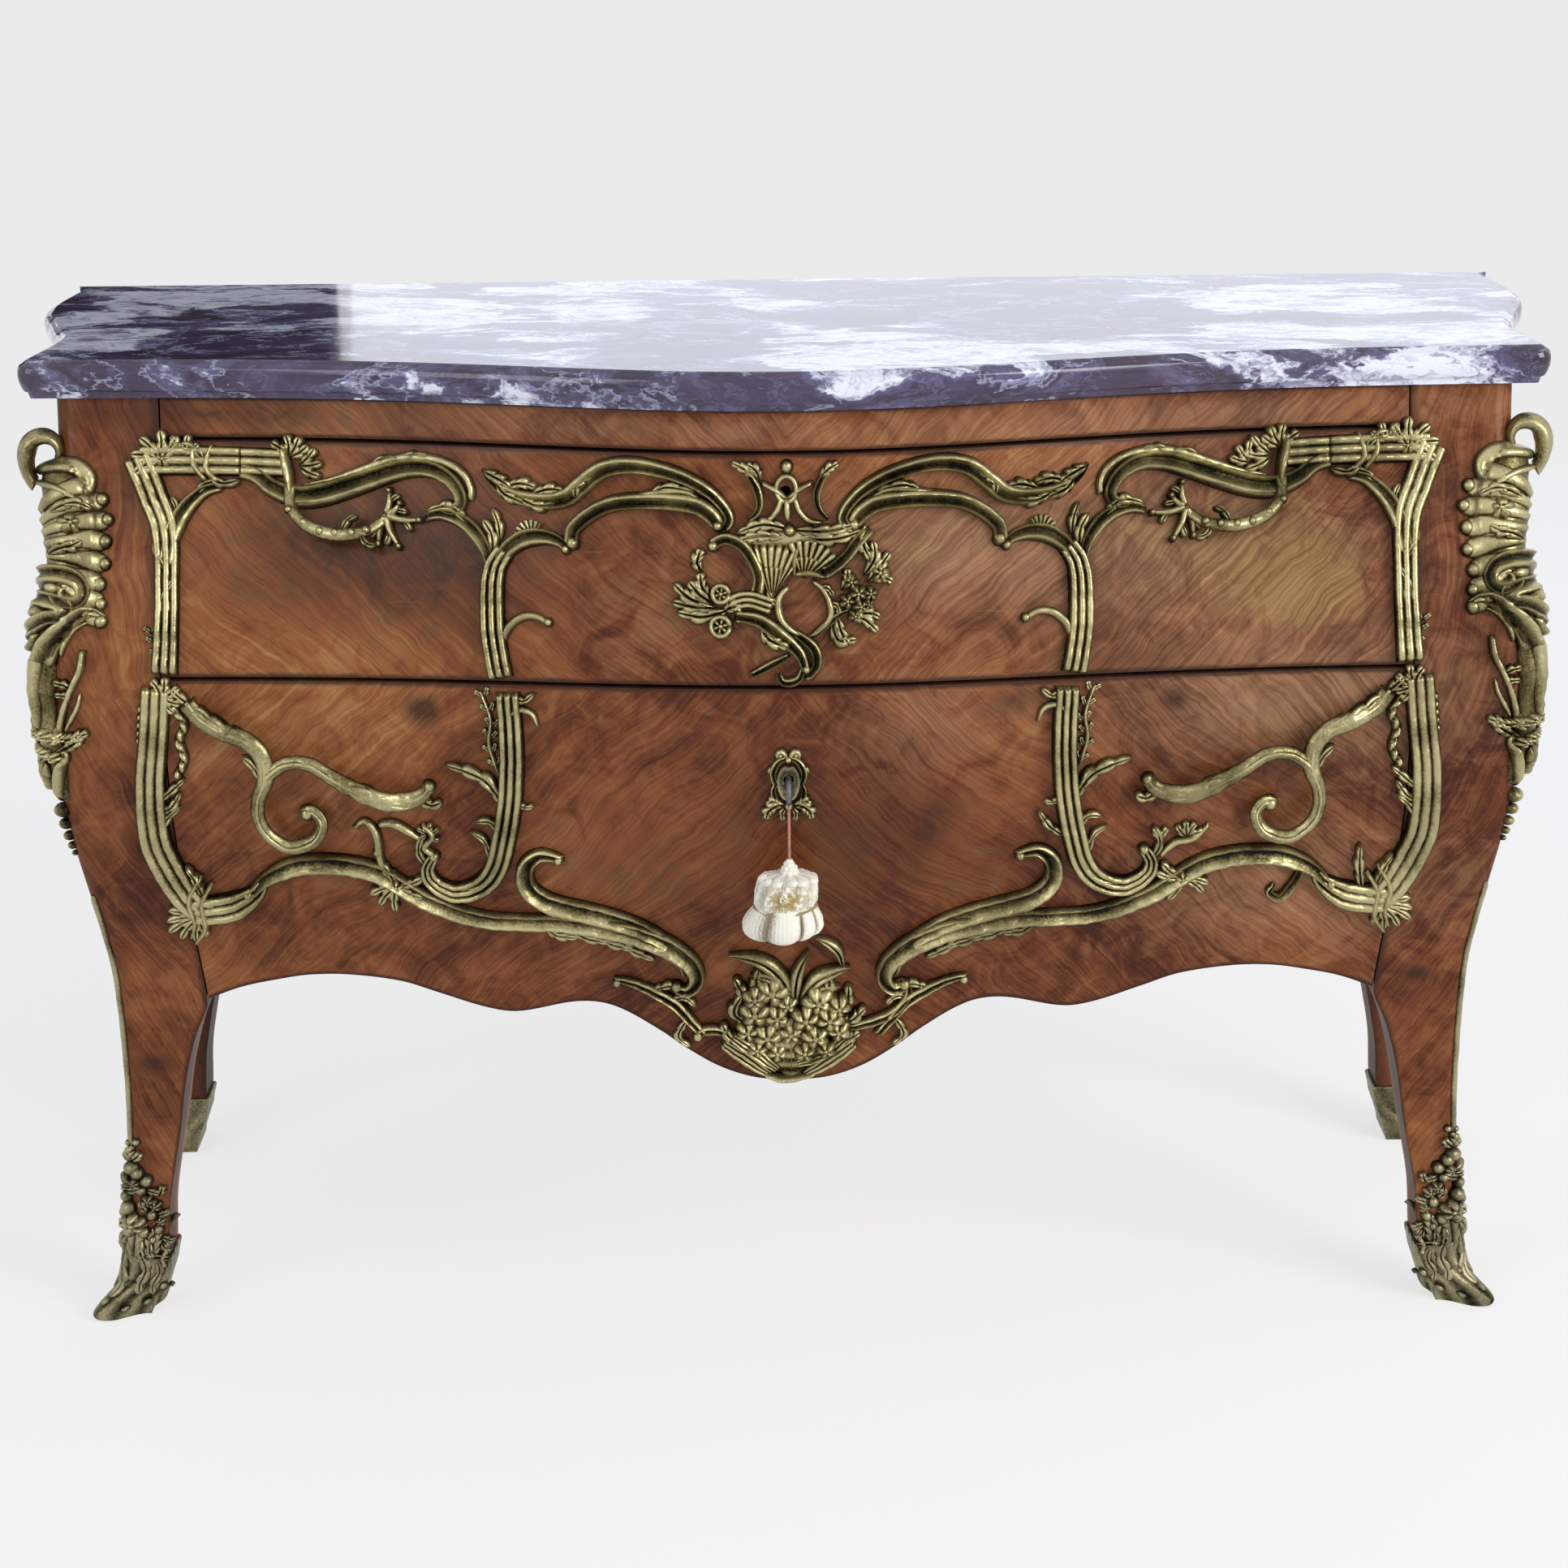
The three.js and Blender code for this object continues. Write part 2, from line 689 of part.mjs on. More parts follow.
const upperStemShares = [
  [0.455, 0.03], [0.465, 0.18], [0.466, 0.35], [0.46, 0.48], [0.44, 0.58], [0.405, 0.625],
  [0.37, 0.62], [0.345, 0.585], [0.335, 0.62], [0.33, 0.68],
];
const upperArcShares = [
  [0.345, 0.6], [0.335, 0.66], [0.305, 0.73], [0.265, 0.78], [0.2, 0.797], [0.14, 0.79],
  [0.115, 0.745], [0.1, 0.7],
];
const upperCrestShares = [
  [0.475, 0.9], [0.445, 0.825], [0.39, 0.775], [0.34, 0.795], [0.315, 0.865], [0.28, 0.93],
  [0.22, 0.94], [0.16, 0.9], [0.11, 0.83], [0.087, 0.75], [0.095, 0.695],
];
const upperScrollTwigShares = [[0.45, 0.19], [0.432, 0.265], [0.405, 0.29], [0.375, 0.255]];
const upperScrollLeafShares = [
  [[0.468, 0.42], [0.487, 0.6], [0.555, 0.69]],
  [[0.435, 0.6], [0.41, 0.68], [0.375, 0.7]],
  [[0.325, 0.76], [0.32, 0.82], [0.3, 0.87]],
];

function upperScroll() {
  return join([
    stem(frontFace, onUpper(upperStemShares), scrollWidth * 1.15, scrollRelief, 11),
    stem(frontFace, onUpper(upperArcShares), scrollWidth * 1.1, scrollRelief, 8),
    vein(frontFace, onUpper(upperCrestShares), scrollWidth * 0.75, scrollRelief, 11),
    twig(frontFace, onUpper(upperScrollTwigShares)),
    ...leaves(onUpper, upperScrollLeafShares),
  ]);
}

// Centre cartouche: a keyhole knot over a shell, with stems and flowers under it
const knotShares = [[0, 0.925], [0.026, 0.885], [0.028, 0.83], [0.018, 0.78], [0.012, 0.7], [0, 0.6]];
const bracketShares = [[0.078, 0.93], [0.055, 0.87], [0.046, 0.78], [0.052, 0.7], [0.075, 0.6]];
const shellReachShares = [[-0.075, 0.67], [0, 0.7], [0.075, 0.67]];
const shellRoot = [0, 0.42];
const shellScrollShares = [[0.115, 0.615], [0.085, 0.62], [0.06, 0.56], [0.047, 0.48], [0.05, 0.4]];
const shellLeafShare = 3;
const ringCentreShare = [0.03, 0.32];
const ringSpreadShare = 0.036;
const ringRiseShare = 0.1;
const flowerPlaceShares = [[-0.105, 0.385], [-0.105, 0.265], [0.105, 0.42], [0.1, 0.29]];
const cartoucheStemShares = [
  [[-0.1, 0.28], [-0.05, 0.25], [-0.01, 0.17], [0.012, 0.1], [0.004, 0.04], [-0.012, 0.055]],
  [[0.085, 0.3], [0.055, 0.2], [0.02, 0.12], [0.0, 0.1]],
  [[-0.05, 0.05], [-0.02, 0.09], [0.01, 0.13]],
  [[-0.11, 0.33], [-0.05, 0.36], [0.0, 0.42]],
  [[0.1, 0.4], [0.06, 0.44], [0.0, 0.46]],
];
const cartoucheLeafShares = [
  [[-0.11, 0.36], [-0.135, 0.47], [-0.135, 0.57]],
  [[-0.1, 0.36], [-0.14, 0.4], [-0.168, 0.45]],
  [[-0.1, 0.3], [-0.135, 0.31], [-0.17, 0.305]],
  [[0.11, 0.42], [0.135, 0.5], [0.135, 0.58]],
  [[0.1, 0.4], [0.14, 0.41], [0.165, 0.45]],
  [[0.1, 0.3], [0.13, 0.26], [0.15, 0.22]],
];

function mirrorPath(path) {
  return path.map(([side, up]) => [-side, up]);
}

function circlePath([side, up], spread, rise) {
  return steps(12).map((share) => {
    const turn = share * Math.PI * 2;
    return [side + spread * Math.sin(turn), up - rise * Math.cos(turn)];
  });
}

function cartouche() {
  const pieces = [];
  for (const turn of [(path) => path, mirrorPath]) {
    pieces.push(vein(frontFace, onUpper(turn(knotShares)), twigWidth, scrollRelief, 5));
    pieces.push(vein(frontFace, onUpper(turn(bracketShares)), scrollWidth * 0.7, scrollRelief, 4));
    pieces.push(vein(frontFace, onUpper(turn(shellScrollShares)), scrollWidth * 0.8, scrollRelief, 5));
  }
  for (const reach of shellReachShares) {
    const middle = [reach[0] * 0.6, between(shellRoot[1], reach[1], 0.55)];
    pieces.push(leaf(frontFace, onUpper([shellRoot, middle, reach]), shellLeafShare));
  }
  const hoop = circlePath(ringCentreShare, ringSpreadShare, ringRiseShare);
  pieces.push(vein(frontFace, onUpper(hoop), twigWidth * 0.8, scrollRelief * 0.8, 9));
  cartoucheStemShares.forEach((path) => pieces.push(twig(frontFace, onUpper(path))));
  pieces.push(...leaves(onUpper, cartoucheLeafShares));
  for (const place of flowerPlaceShares) {
    pieces.push(boss(frontFace, onUpper([place])[0], rosetteRadius, rosetteRelief));
  }
  return join(pieces);
}

// Lower drawer mounts
const lowerReedShares = [
  [1.01, 0.97], [1.018, 0.88], [1.03, 0.76], [1.033, 0.66], [1.028, 0.59], [1.01, 0.52],
  [0.99, 0.46], [0.972, 0.42],
];
const lowerTieShares = [[0.955, 0.53], [0.968, 0.46], [0.975, 0.4], [0.98, 0.34]];
const lowerRunShares = [[0.985, 0.425], [0.94, 0.43], [0.9, 0.445], [0.872, 0.475]];
const railShares = [
  [0.885, 0.465], [0.855, 0.51], [0.81, 0.543], [0.76, 0.553], [0.7, 0.545], [0.655, 0.52],
  [0.615, 0.48], [0.57, 0.445], [0.51, 0.417], [0.45, 0.41], [0.38, 0.412], [0.31, 0.405],
  [0.25, 0.39], [0.2, 0.36], [0.165, 0.32], [0.153, 0.275], [0.168, 0.243], [0.19, 0.25],
];
const companionShares = [
  [0.365, 0.58], [0.4, 0.59], [0.425, 0.56], [0.425, 0.505], [0.39, 0.465], [0.33, 0.443],
  [0.27, 0.415], [0.24, 0.4],
];
const lowerFrameTwigShares = [
  [[1.02, 0.71], [1.0, 0.75], [0.975, 0.765]],
  [[1.025, 0.6], [1.012, 0.67], [0.982, 0.7]],
  [[0.655, 0.53], [0.668, 0.6], [0.665, 0.655], [0.7, 0.66]],
  [[0.99, 0.955], [0.967, 0.9], [0.975, 0.84], [1.02, 0.79]],
];
const lowerFrameLeafShares = [
  [[0.985, 0.95], [0.99, 0.985], [0.97, 0.99]],
  [[0.98, 0.43], [1.02, 0.44], [1.045, 0.44]],
  [[0.975, 0.39], [1.015, 0.385], [1.05, 0.38]],
  [[0.975, 0.37], [1.01, 0.345], [1.04, 0.32]],
  [[0.62, 0.48], [0.655, 0.47], [0.69, 0.485]],
  [[0.62, 0.47], [0.65, 0.44], [0.665, 0.4]],
  [[0.3, 0.4], [0.265, 0.36], [0.22, 0.345]],
];
const lowerBeadCount = 3;
const lowerBeadShares = [[1.037, 0.92], [1.043, 0.875]];

function beadRow(place, ends, count) {
  const [first, last] = place(ends);
  return steps(count - 1).map((share) => (
    boss(frontFace, [between(first[0], last[0], share), between(first[1], last[1], share)],
      beadRadius, beadRadius)
  ));
}

function lowerFrame() {
  return join([
    reeds(frontFace, onLower(lowerReedShares), barWidth, barRelief, 7),
    reeds(frontFace, onLower(lowerRunShares), barWidth, barRelief, 3),
    vein(frontFace, onLower(lowerTieShares), scrollWidth, scrollRelief, 3),
    stem(frontFace, onLower(railShares), scrollWidth * 1.15, scrollRelief, 15),
    vein(frontFace, onLower(companionShares), scrollWidth * 0.85, scrollRelief * 0.8, 8),
    ...lowerFrameTwigShares.map((path) => twig(frontFace, onLower(path))),
    ...leaves(onLower, lowerFrameLeafShares),
    ...beadRow(onLower, lowerBeadShares, lowerBeadCount),
  ]);
}

const lowerPullShares = [
  [0.96, 0.955], [0.94, 0.92], [0.9, 0.895], [0.862, 0.873], [0.84, 0.84], [0.836, 0.785],
  [0.85, 0.735], [0.852, 0.69], [0.838, 0.645], [0.805, 0.615], [0.768, 0.628], [0.753, 0.665],
  [0.768, 0.692], [0.783, 0.678],
];
const lowerBranchShares = [
  [0.838, 0.785], [0.805, 0.818], [0.765, 0.82], [0.73, 0.79], [0.68, 0.752], [0.63, 0.727],
  [0.592, 0.732], [0.572, 0.765],
];
const lowerPullLeafShares = [
  [[0.835, 0.77], [0.85, 0.81], [0.87, 0.835]],
  [[0.6, 0.735], [0.575, 0.72], [0.555, 0.73]],
];

const lowerPullFeetShares = [[0.95, 0.94], [0.776, 0.685], [0.59, 0.735]];

function lowerPull() {
  const raised = raisedFace(frontFace, onLower(lowerPullFeetShares), pullRise, pullReach);
  return join([
    grip(raised, onLower(lowerPullShares), scrollWidth * 0.9, pullRelief, 18),
    grip(raised, onLower(lowerBranchShares), scrollWidth * 0.9, pullRelief, 9),
    ...lowerPullLeafShares.map((path) => leaf(raised, onLower(path))),
  ]);
}

const lowerStemShares = [
  [0.443, 0.985], [0.44, 0.86], [0.445, 0.74], [0.457, 0.64], [0.475, 0.55], [0.505, 0.5],
  [0.545, 0.485], [0.577, 0.507], [0.587, 0.545], [0.572, 0.583],
];
const lowerScrollTwigShares = [
  [[0.45, 0.93], [0.42, 0.945], [0.395, 0.915]],
  [[0.445, 0.72], [0.425, 0.712], [0.41, 0.712]],
  [[0.455, 0.77], [0.475, 0.86], [0.475, 0.93], [0.495, 0.98]],
];
const lowerScrollLeafShares = [
  [[0.45, 0.7], [0.485, 0.775], [0.545, 0.81]],
  [[0.58, 0.55], [0.6, 0.59], [0.59, 0.635]],
  [[0.442, 0.968], [0.42, 0.985], [0.4, 0.985]],
];

function lowerScroll() {
  return join([
    stem(frontFace, onLower(lowerStemShares), scrollWidth * 1.1, scrollRelief, 12),
    ...lowerScrollTwigShares.map((path) => twig(frontFace, onLower(path))),
    ...leaves(onLower, lowerScrollLeafShares),
  ]);
}

const sprigShares = [
  [0.29, 0.265], [0.265, 0.262], [0.22, 0.235], [0.185, 0.2], [0.158, 0.15], [0.14, 0.118],
];
const sprigLeafShares = [
  [[0.18, 0.19], [0.16, 0.2], [0.152, 0.18]],
  [[0.16, 0.15], [0.17, 0.11], [0.155, 0.085]],
];

function sprig() {
  return join([
    vein(frontFace, onLower(sprigShares), scrollWidth * 0.8, scrollRelief * 0.7, 6),
    ...leaves(onLower, sprigLeafShares),
  ]);
}

// Basket of flowers on the apron
const basketRowShares = [[0.014, 0.1], [0.05, 0.42], [0.09, 0.78], [0.13, 1], [0.17, 1.02], [0.21, 0.9]];
const basketHalfShare = 0.082;
const basketDepth = 13;
const basketArcCount = 5;
const basketLeafSizeShare = 1.2;
const basketFlowerShares = [
  [-0.07, 0.215], [-0.035, 0.235], [0.0, 0.215], [0.035, 0.24], [0.07, 0.215], [-0.055, 0.165],
  [0.0, 0.165], [0.055, 0.17],
];
const basketLeafShares = [
  [[0.0, 0.22], [-0.035, 0.31], [-0.098, 0.33]],
  [[0.0, 0.2], [0.045, 0.31], [0.1, 0.31]],
  [[0.01, 0.22], [0.018, 0.3], [0.022, 0.37]],
  [[-0.07, 0.14], [-0.1, 0.145], [-0.125, 0.13]],
  [[0.07, 0.14], [0.1, 0.145], [0.125, 0.13]],
  [[-0.075, 0.19], [-0.09, 0.24], [-0.095, 0.28]],
  [[0.075, 0.19], [0.09, 0.24], [0.095, 0.28]],
];

function basket() {
  const cup = loft(basketRowShares.map(([up, spread]) => {
    const half = basketHalfShare * spread;
    const rise = basketDepth * (0.4 + 0.6 * spread);
    const outward = steps(basketArcCount).map((share) => [between(-half, half, share), share]);
    const behind = outward.slice(1, -1).reverse().map(([side]) => [side, 0]);
    return [...outward, ...behind].map(([side, share]) => {
      const [x, z] = onLower([[side, up]])[0];
      return frontFace(x, z, gap + rise * Math.sin(share * Math.PI));
    });
  }));
  return join([
    cup,
    ...basketFlowerShares.map((place) => (
      boss(frontFace, onLower([place])[0], rosetteRadius, rosetteRelief + basketDepth / 2)
    )),
    ...leaves(onLower, basketLeafShares, basketLeafSizeShare),
  ]);
}

// Chutes on the front corners, edge strips and vines down the legs, as shares of case height
const chuteSpread = 38;

function onCorner(shares) {
  return shares.map(([across, up]) => [across * chuteSpread, up * caseHeight]);
}

// Each row of the chute: height, reach over the front, reach over the side, relief
const chuteRowShares = [
  [0.508, -0.08, 0.02, 0.3], [0.53, -0.16, 0.08, 0.45], [0.56, -0.24, 0.16, 0.6],
  [0.6, -0.2, 0.34, 0.75], [0.645, -0.02, 0.55, 0.8], [0.69, 0.04, 0.64, 0.75],
  [0.735, -0.12, 0.66, 0.85], [0.77, -0.5, 0.62, 0.9], [0.8, -0.86, 0.6, 1],
  [0.835, -1.0, 0.66, 1], [0.87, -0.86, 0.72, 1], [0.9, -0.6, 0.86, 0.95],
  [0.93, -0.3, 0.9, 0.9], [0.953, 0.1, 0.62, 0.6],
];
const chuteProfileShares = [0, 0.75, 0.6, 1, 0.62, 0.95, 0.7, 0];
const chuteRelief = 13;
const chuteLift = 2;
const chuteLeafShares = [
  [[-0.55, 0.85], [-0.9, 0.885], [-1.3, 0.88]],
  [[-0.6, 0.82], [-1.0, 0.84], [-1.45, 0.835]],
  [[-0.5, 0.79], [-0.95, 0.8], [-1.35, 0.79]],
  [[-0.35, 0.89], [-0.6, 0.925], [-0.95, 0.925]],
];
const chuteLeafSizeShare = 1.6;
const vineLeafSizeShare = 1.1;
const chuteBranchShares = [[-0.25, 0.59], [-0.55, 0.61], [-0.85, 0.67], [-0.8, 0.73]];
const chuteCurlShares = [[0.5, 0.88], [0.95, 0.9], [1.1, 0.935], [0.8, 0.95], [0.6, 0.93]];
const dropPlaceShare = [-0.03, 0.505];

function chute() {
  const rings = chuteRowShares.map(([up, frontReach, sideReach, rise]) => {
    const last = chuteProfileShares.length - 1;
    const across = chuteProfileShares.map((height, i) => [
      between(frontReach, sideReach, i / last) * chuteSpread, height,
    ]);
    const crown = across.map(([s, height]) => (
      cornerFace(s, up * caseHeight, chuteLift + chuteRelief * rise * height)
    ));
    const seat = across.slice(1, -1).reverse().map(([s]) => (
      cornerFace(s, up * caseHeight, chuteLift)
    ));
    return [...crown, ...seat];
  });
  return join([
    loft(rings),
    vein(cornerFace, onCorner(chuteCurlShares), scrollWidth * 0.7, scrollRelief, 6),
    vein(cornerFace, onCorner(chuteBranchShares), scrollWidth * 0.7, scrollRelief * 0.7, 4),
    ...chuteLeafShares.map((path) => leaf(cornerFace, onCorner(path), chuteLeafSizeShare)),
    boss(cornerFace, onCorner([dropPlaceShare])[0], beadRadius * 0.8, beadRadius),
  ]);
}

const stripWidth = 7;
const stripRelief = 2.5;
const stripTopShare = 0.492;
const vineTopShare = (sabotHeight + vineHeight) / caseHeight;
const sabotTopShare = sabotHeight / caseHeight;

function edgeStrip() {
  const ends = [[0, stripTopShare], [0, (stripTopShare + vineTopShare) / 2], [0, vineTopShare + 0.004]];
  return cut(ribbon(cornerFace, onCorner(ends), {
    width: stripWidth, relief: stripRelief, section: ridgeShares, taper: evenShares, count: 7,
  }), [frontLegRoom]);
}

function frontVines() {
  const low = sabotTopShare - 0.01;
  const at = (share) => between(low, vineTopShare, share);
  const paths = [
    [[0, at(0)], [0.2, at(0.5)], [0, at(1)]],
    [[0.05, at(0.1)], [0.5, at(0.35)], [0.4, at(0.6)]],
    [[0.05, at(0.3)], [-0.4, at(0.5)], [-0.3, at(0.75)]],
    [[-0.4, at(-0.05)], [-0.9, at(0.15)], [-0.85, at(0.3)]],
  ];
  return paths.map((path) => leaf(cornerFace, onCorner(path), vineLeafSizeShare));
}

// Marble top: a moulded edge carried round the serpentine outline
const marbleRowShares = [
  [0, 1], [0.16, 0.85], [0.36, 0.2], [0.65, 0], [0.9, 0.3], [1, 0.95],
];
const marbleFrontShares = [
  0, 0.08, 0.16, 0.24, 0.32, 0.4, 0.48, 0.57, 0.67, 0.78, 0.9,
];
const marbleSideCount = 8;

function marbleOutline() {
  const tip = halfWidth + marbleOverhang;
  const marbleSide = (y) => sideAt(y + frontPlane, caseHeight) + marbleOverhang;
  const points = marbleFrontShares.map((share) => {
    const x = share * (tip - marbleEar);
    return [x, frontAt(x, caseHeight) - frontSetback];
  });
  const earBase = frontAt(tip - marbleEar, caseHeight) - frontSetback;
  for (const share of steps(3)) {
    const turn = share * (Math.PI / 2);
    const y = earBase + marbleEar * (1 - Math.cos(turn));
    points.push([tip - marbleEar + marbleEar * Math.sin(turn), y]);
  }
  const back = backPlane + marbleBackOverhang;
  for (const share of steps(marbleSideCount).slice(1)) {
    const y = between(earBase + marbleEar, back, share);
    points.push([marbleSide(y - marbleEar), y]);
  }
  const left = points.slice(1).reverse().map(([x, y]) => [-x, y]);
  return [...points, ...left].map(([x, y]) => new THREE.Vector2(x, y));
}

function marbleTop() {
  const outline = marbleOutline();
  const back = backPlane + marbleBackOverhang;
  const rings = marbleRowShares.map(([up, inset]) => outline.map((point, i) => {
    const before = outline[(i + outline.length - 1) % outline.length];
    const after = outline[(i + 1) % outline.length];
    const heading = after.clone().sub(before).normalize();
    const shift = marbleMould * inset;
    const x = point.x - heading.y * shift;
    const y = Math.min(point.y + heading.x * shift, back);
    const onBack = point.y >= back - probe;
    const z = caseHeight + marbleThickness * up;
    return new THREE.Vector3(x, onBack ? back : y, z);
  }));
  return loft(rings);
}

// Heights of the rail, the frieze and the drawer boxes
const friezeBase = upperDrawerTop + seam * 2;
const railBase = drawerParting - railHeight / 2;
const railTop = drawerParting + railHeight / 2;
const lowerBoxTop = railBase - 2 * boltProud - seam;

// Locks: a case on the back of the front, with its bolt in it
function lock(keyholeHeight, caseTop, boltTop) {
  const spread = [-lockWidth / 2, 0, lockWidth / 2];
  const base = keyholeHeight - lockDrop;
  const levels = [base, keyholeHeight, (keyholeHeight + caseTop) / 2, caseTop];
  const fronts = spread.flatMap((x) => levels.map((z) => frontAt(x, z)));
  const front = Math.max(...fronts) + frontThickness + boxClear;
  const back = front + lockDepth;
  const shell = box(-lockWidth / 2, lockWidth / 2, front, back, base, caseTop);
  const inner = box(
    -lockWidth / 2 + lockWall, lockWidth / 2 - lockWall, front + lockWall, back - lockWall,
    base + lockWall, caseTop - lockWall,
  );
  const boltFront = front + lockWall + gap;
  const slot = box(
    -boltWidth / 2 - gap, boltWidth / 2 + gap, boltFront - gap, boltFront + boltThickness + gap,
    caseTop - lockWall - overrun, caseTop + overrun,
  );
  const bolt = box(
    -boltWidth / 2, boltWidth / 2, boltFront, boltFront + boltThickness,
    keyholeHeight + boltClear, boltTop,
  );
  const bores = [
    new THREE.CylinderGeometry(keyholeRadius, keyholeRadius, lockDepth, 10)
      .translate(0, front, keyholeHeight),
    box(-keyholeSlot / 2, keyholeSlot / 2, front - overrun, front + lockWall + gap,
      keyholeHeight - keyholeDrop, keyholeHeight),
  ];
  return { shell: cut(shell, [inner, slot, ...bores]), bolt, front, boltFront };
}

const upperLock = lock(upperKeyholeHeight, upperDrawerTop - boltProud, friezeBase - boltProud);
const lowerLock = lock(lowerKeyholeHeight, lowerBoxTop, railBase - boltProud);

// The mortise over a bolt
function mortise(held, base) {
  const wide = boltWidth / 2 + railClear;
  const back = held.boltFront + boltThickness + railClear;
  return box(-wide, wide, held.boltFront - railClear, back, base - overrun, base + boltThrow + railClear);
}

// Frieze, side panels, back and boards
function frieze() {
  const plain = bowedBoard(() => friezeBase, carcassTop, [0, 0.5, 1], friezeDepth);
  return cut(plain, [mortise(upperLock, friezeBase)]);
}

function railFrontAt(x) {
  return frontAt(x, railTop) + frontThickness + railClear;
}

function midRail() {
  const half = drawerHalf + seam - gap;
  const front = steps(20).map((share) => {
    const x = between(-half, half, share);
    return [x, railFrontAt(x)];
  });
  const outline = [...front, [half, railBackPlane], [-half, railBackPlane]];
  const plain = planBoard(outline, railBase, railTop);
  return cut(plain, [mortise(lowerLock, railBase)]);
}

const panelRowShares = [0, 0.16, 0.32, 0.48, 0.64, 0.8, 1];

function panelSpan(z) {
  const front = frontAt(halfWidth, z) + legDepth(z) - overrun;
  const back = backPlane - legDepth(z) + overrun;
  return [front, back];
}

function sidePanel() {
  const outer = [];
  const inner = [];
  for (const column of steps(8)) {
    const low = sideApronBase + sideApronRise * sideApronCurveShare(column);
    const points = panelRowShares.map((share) => {
      const z = between(low, carcassTop, share);
      const [front, back] = panelSpan(z);
      const y = between(front, back, column);
      return new THREE.Vector3(sideAt(Math.max(y, frontPlane), z), y, z);
    });
    outer.push(points);
    inner.push(points.map((point) => new THREE.Vector3(point.x - panelThickness, point.y, point.z)));
  }
  return cut(slab(outer, inner), [frontStop, backStop]);
}

const innerWall = halfWidth + sideFlare * -0.28 - sideSwell * 0.8 - panelThickness - gap;
const boardHalf = Math.min(innerWall, halfWidth - panelThickness);
const boardFront = railBackPlane + gap;
const boardBack = backPlane - backThickness - gap;
const backBoardHalf = drawerHalf + seam + sideFlare * flareShare(1) + overrun;

const legRooms = [frontLegRoom, backLegRoom].flatMap((room) => [room, mirrored(room)]);

function caseBoard(z0, z1, front) {
  const plain = planBoard([
    ...front, [boardHalf, boardFront], [boardHalf, boardBack], [-boardHalf, boardBack],
    [-boardHalf, boardFront],
  ], z0, z1);
  return cut(plain, legRooms);
}

function backBoardBody(thickness, z0, z1) {
  const plain = box(-backBoardHalf, backBoardHalf, backPlane - thickness, backPlane, z0, z1);
  return cut(plain, legRooms);
}

function bottomBoard() {
  const half = drawerEdge(bottomBoardBase) + seam - gap;
  const front = steps(16).map((share) => {
    const x = between(-half, half, share);
    return [x, frontAt(x, bottomBoardBase) + frontThickness + railClear];
  });
  const high = bottomBoardBase + bottomBoardThickness;
  return caseBoard(bottomBoardBase, high, [...front, [half, boardFront]]);
}

// Drawer boxes
const boxHalf = drawerHalf - boxInset;

function drawerBox(base, top) {
  const backAt = (x, z) => frontAt(x, z) + frontThickness + boxClear;
  const bottomTop = base + drawerBottomBoard;
  const innerHalf = boxHalf - sideBoard - gap;
  const heights = steps(6).map((share) => between(base, top, share));
  const sideFront = heights.map((z) => [backAt(boxHalf, z), z]);
  const outline = [...sideFront, [drawerBackPlane, top], [drawerBackPlane, base]];
  const side = sideProfile(outline, boxHalf - sideBoard, boxHalf);
  const floorFront = steps(16).map((share) => {
    const x = between(-innerHalf, innerHalf, share);
    return [x, Math.max(backAt(x, base), backAt(x, bottomTop))];
  });
  const floorBack = drawerBackPlane;
  const floor = planBoard([...floorFront, [innerHalf, floorBack], [-innerHalf, floorBack]],
    base, bottomTop);
  const back = box(-innerHalf, innerHalf, drawerBackPlane - backBoard, drawerBackPlane,
    bottomTop + gap, top);
  return { side, floor, back };
}

const upperBase = railTop + gap;
const lowerBase = bottomBoardBase + bottomBoardThickness + gap;
const upperBox = drawerBox(upperBase, upperBoxTop);
const lowerBox = drawerBox(lowerBase, lowerBoxTop);

// Guides keep the drawer boxes straight; each lies on the board under the drawer
function guide(base) {
  const inner = boxHalf + gap * 2;
  return box(inner, inner + guideWidth, boardFront + postDepth, drawerBackPlane, base, base + guideHeight);
}

// Escutcheon round the lower keyhole
const escutcheonWidth = 40;
const escutcheonHeight = 70;
const escutcheonShares = [[0, 0.46], [0.41, 0.38], [0.48, 0], [0.41, -0.37], [0, -0.56]];
const platePathShares = [[0, -0.48], [0, -0.05], [0, 0.38]];
const plateWidth = 28;

function atKeyhole(shares) {
  return shares.map(([side, up]) => [
    side * escutcheonWidth, lowerKeyholeHeight + up * escutcheonHeight,
  ]);
}

function escutcheon() {
  const pieces = [escutcheonShares, mirrorPath(escutcheonShares)].map((path) => (
    vein(frontFace, atKeyhole(path), scrollWidth * 0.8, scrollRelief * 0.5, 5)
  ));
  const plate = ribbon(frontFace, atKeyhole(platePathShares), {
    width: plateWidth, relief: stripRelief, taper: evenShares, count: 3,
  });
  return cut(join([...pieces, plate]), keyholeCut(lowerKeyholeHeight));
}

// Key: shank, bow ring, bit
const facePlane = frontAt(0, lowerKeyholeHeight);
const bowCentre = facePlane - bowLead - bowReach;

function keyBody() {
  const shankEnd = lowerLock.front + lockWall + gap + bitLength;
  const shankLength = shankEnd - bowCentre - bowReach + bowStock;
  const shank = new THREE.CylinderGeometry(shankRadius, shankRadius, shankLength, 8);
  shank.translate(0, shankEnd - shankLength / 2, 0);
  const bowRing = new THREE.TorusGeometry(bowHeight / 2 - bowStock / 2, bowStock / 2, 5, 14);
  bowRing.rotateY(Math.PI / 2).translate(0, bowCentre, 0);
  const bit = box(-bitThickness / 2, bitThickness / 2, shankEnd - bitLength, shankEnd, -bitReach, 0);
  return join([shank, bowRing, bit]);
}

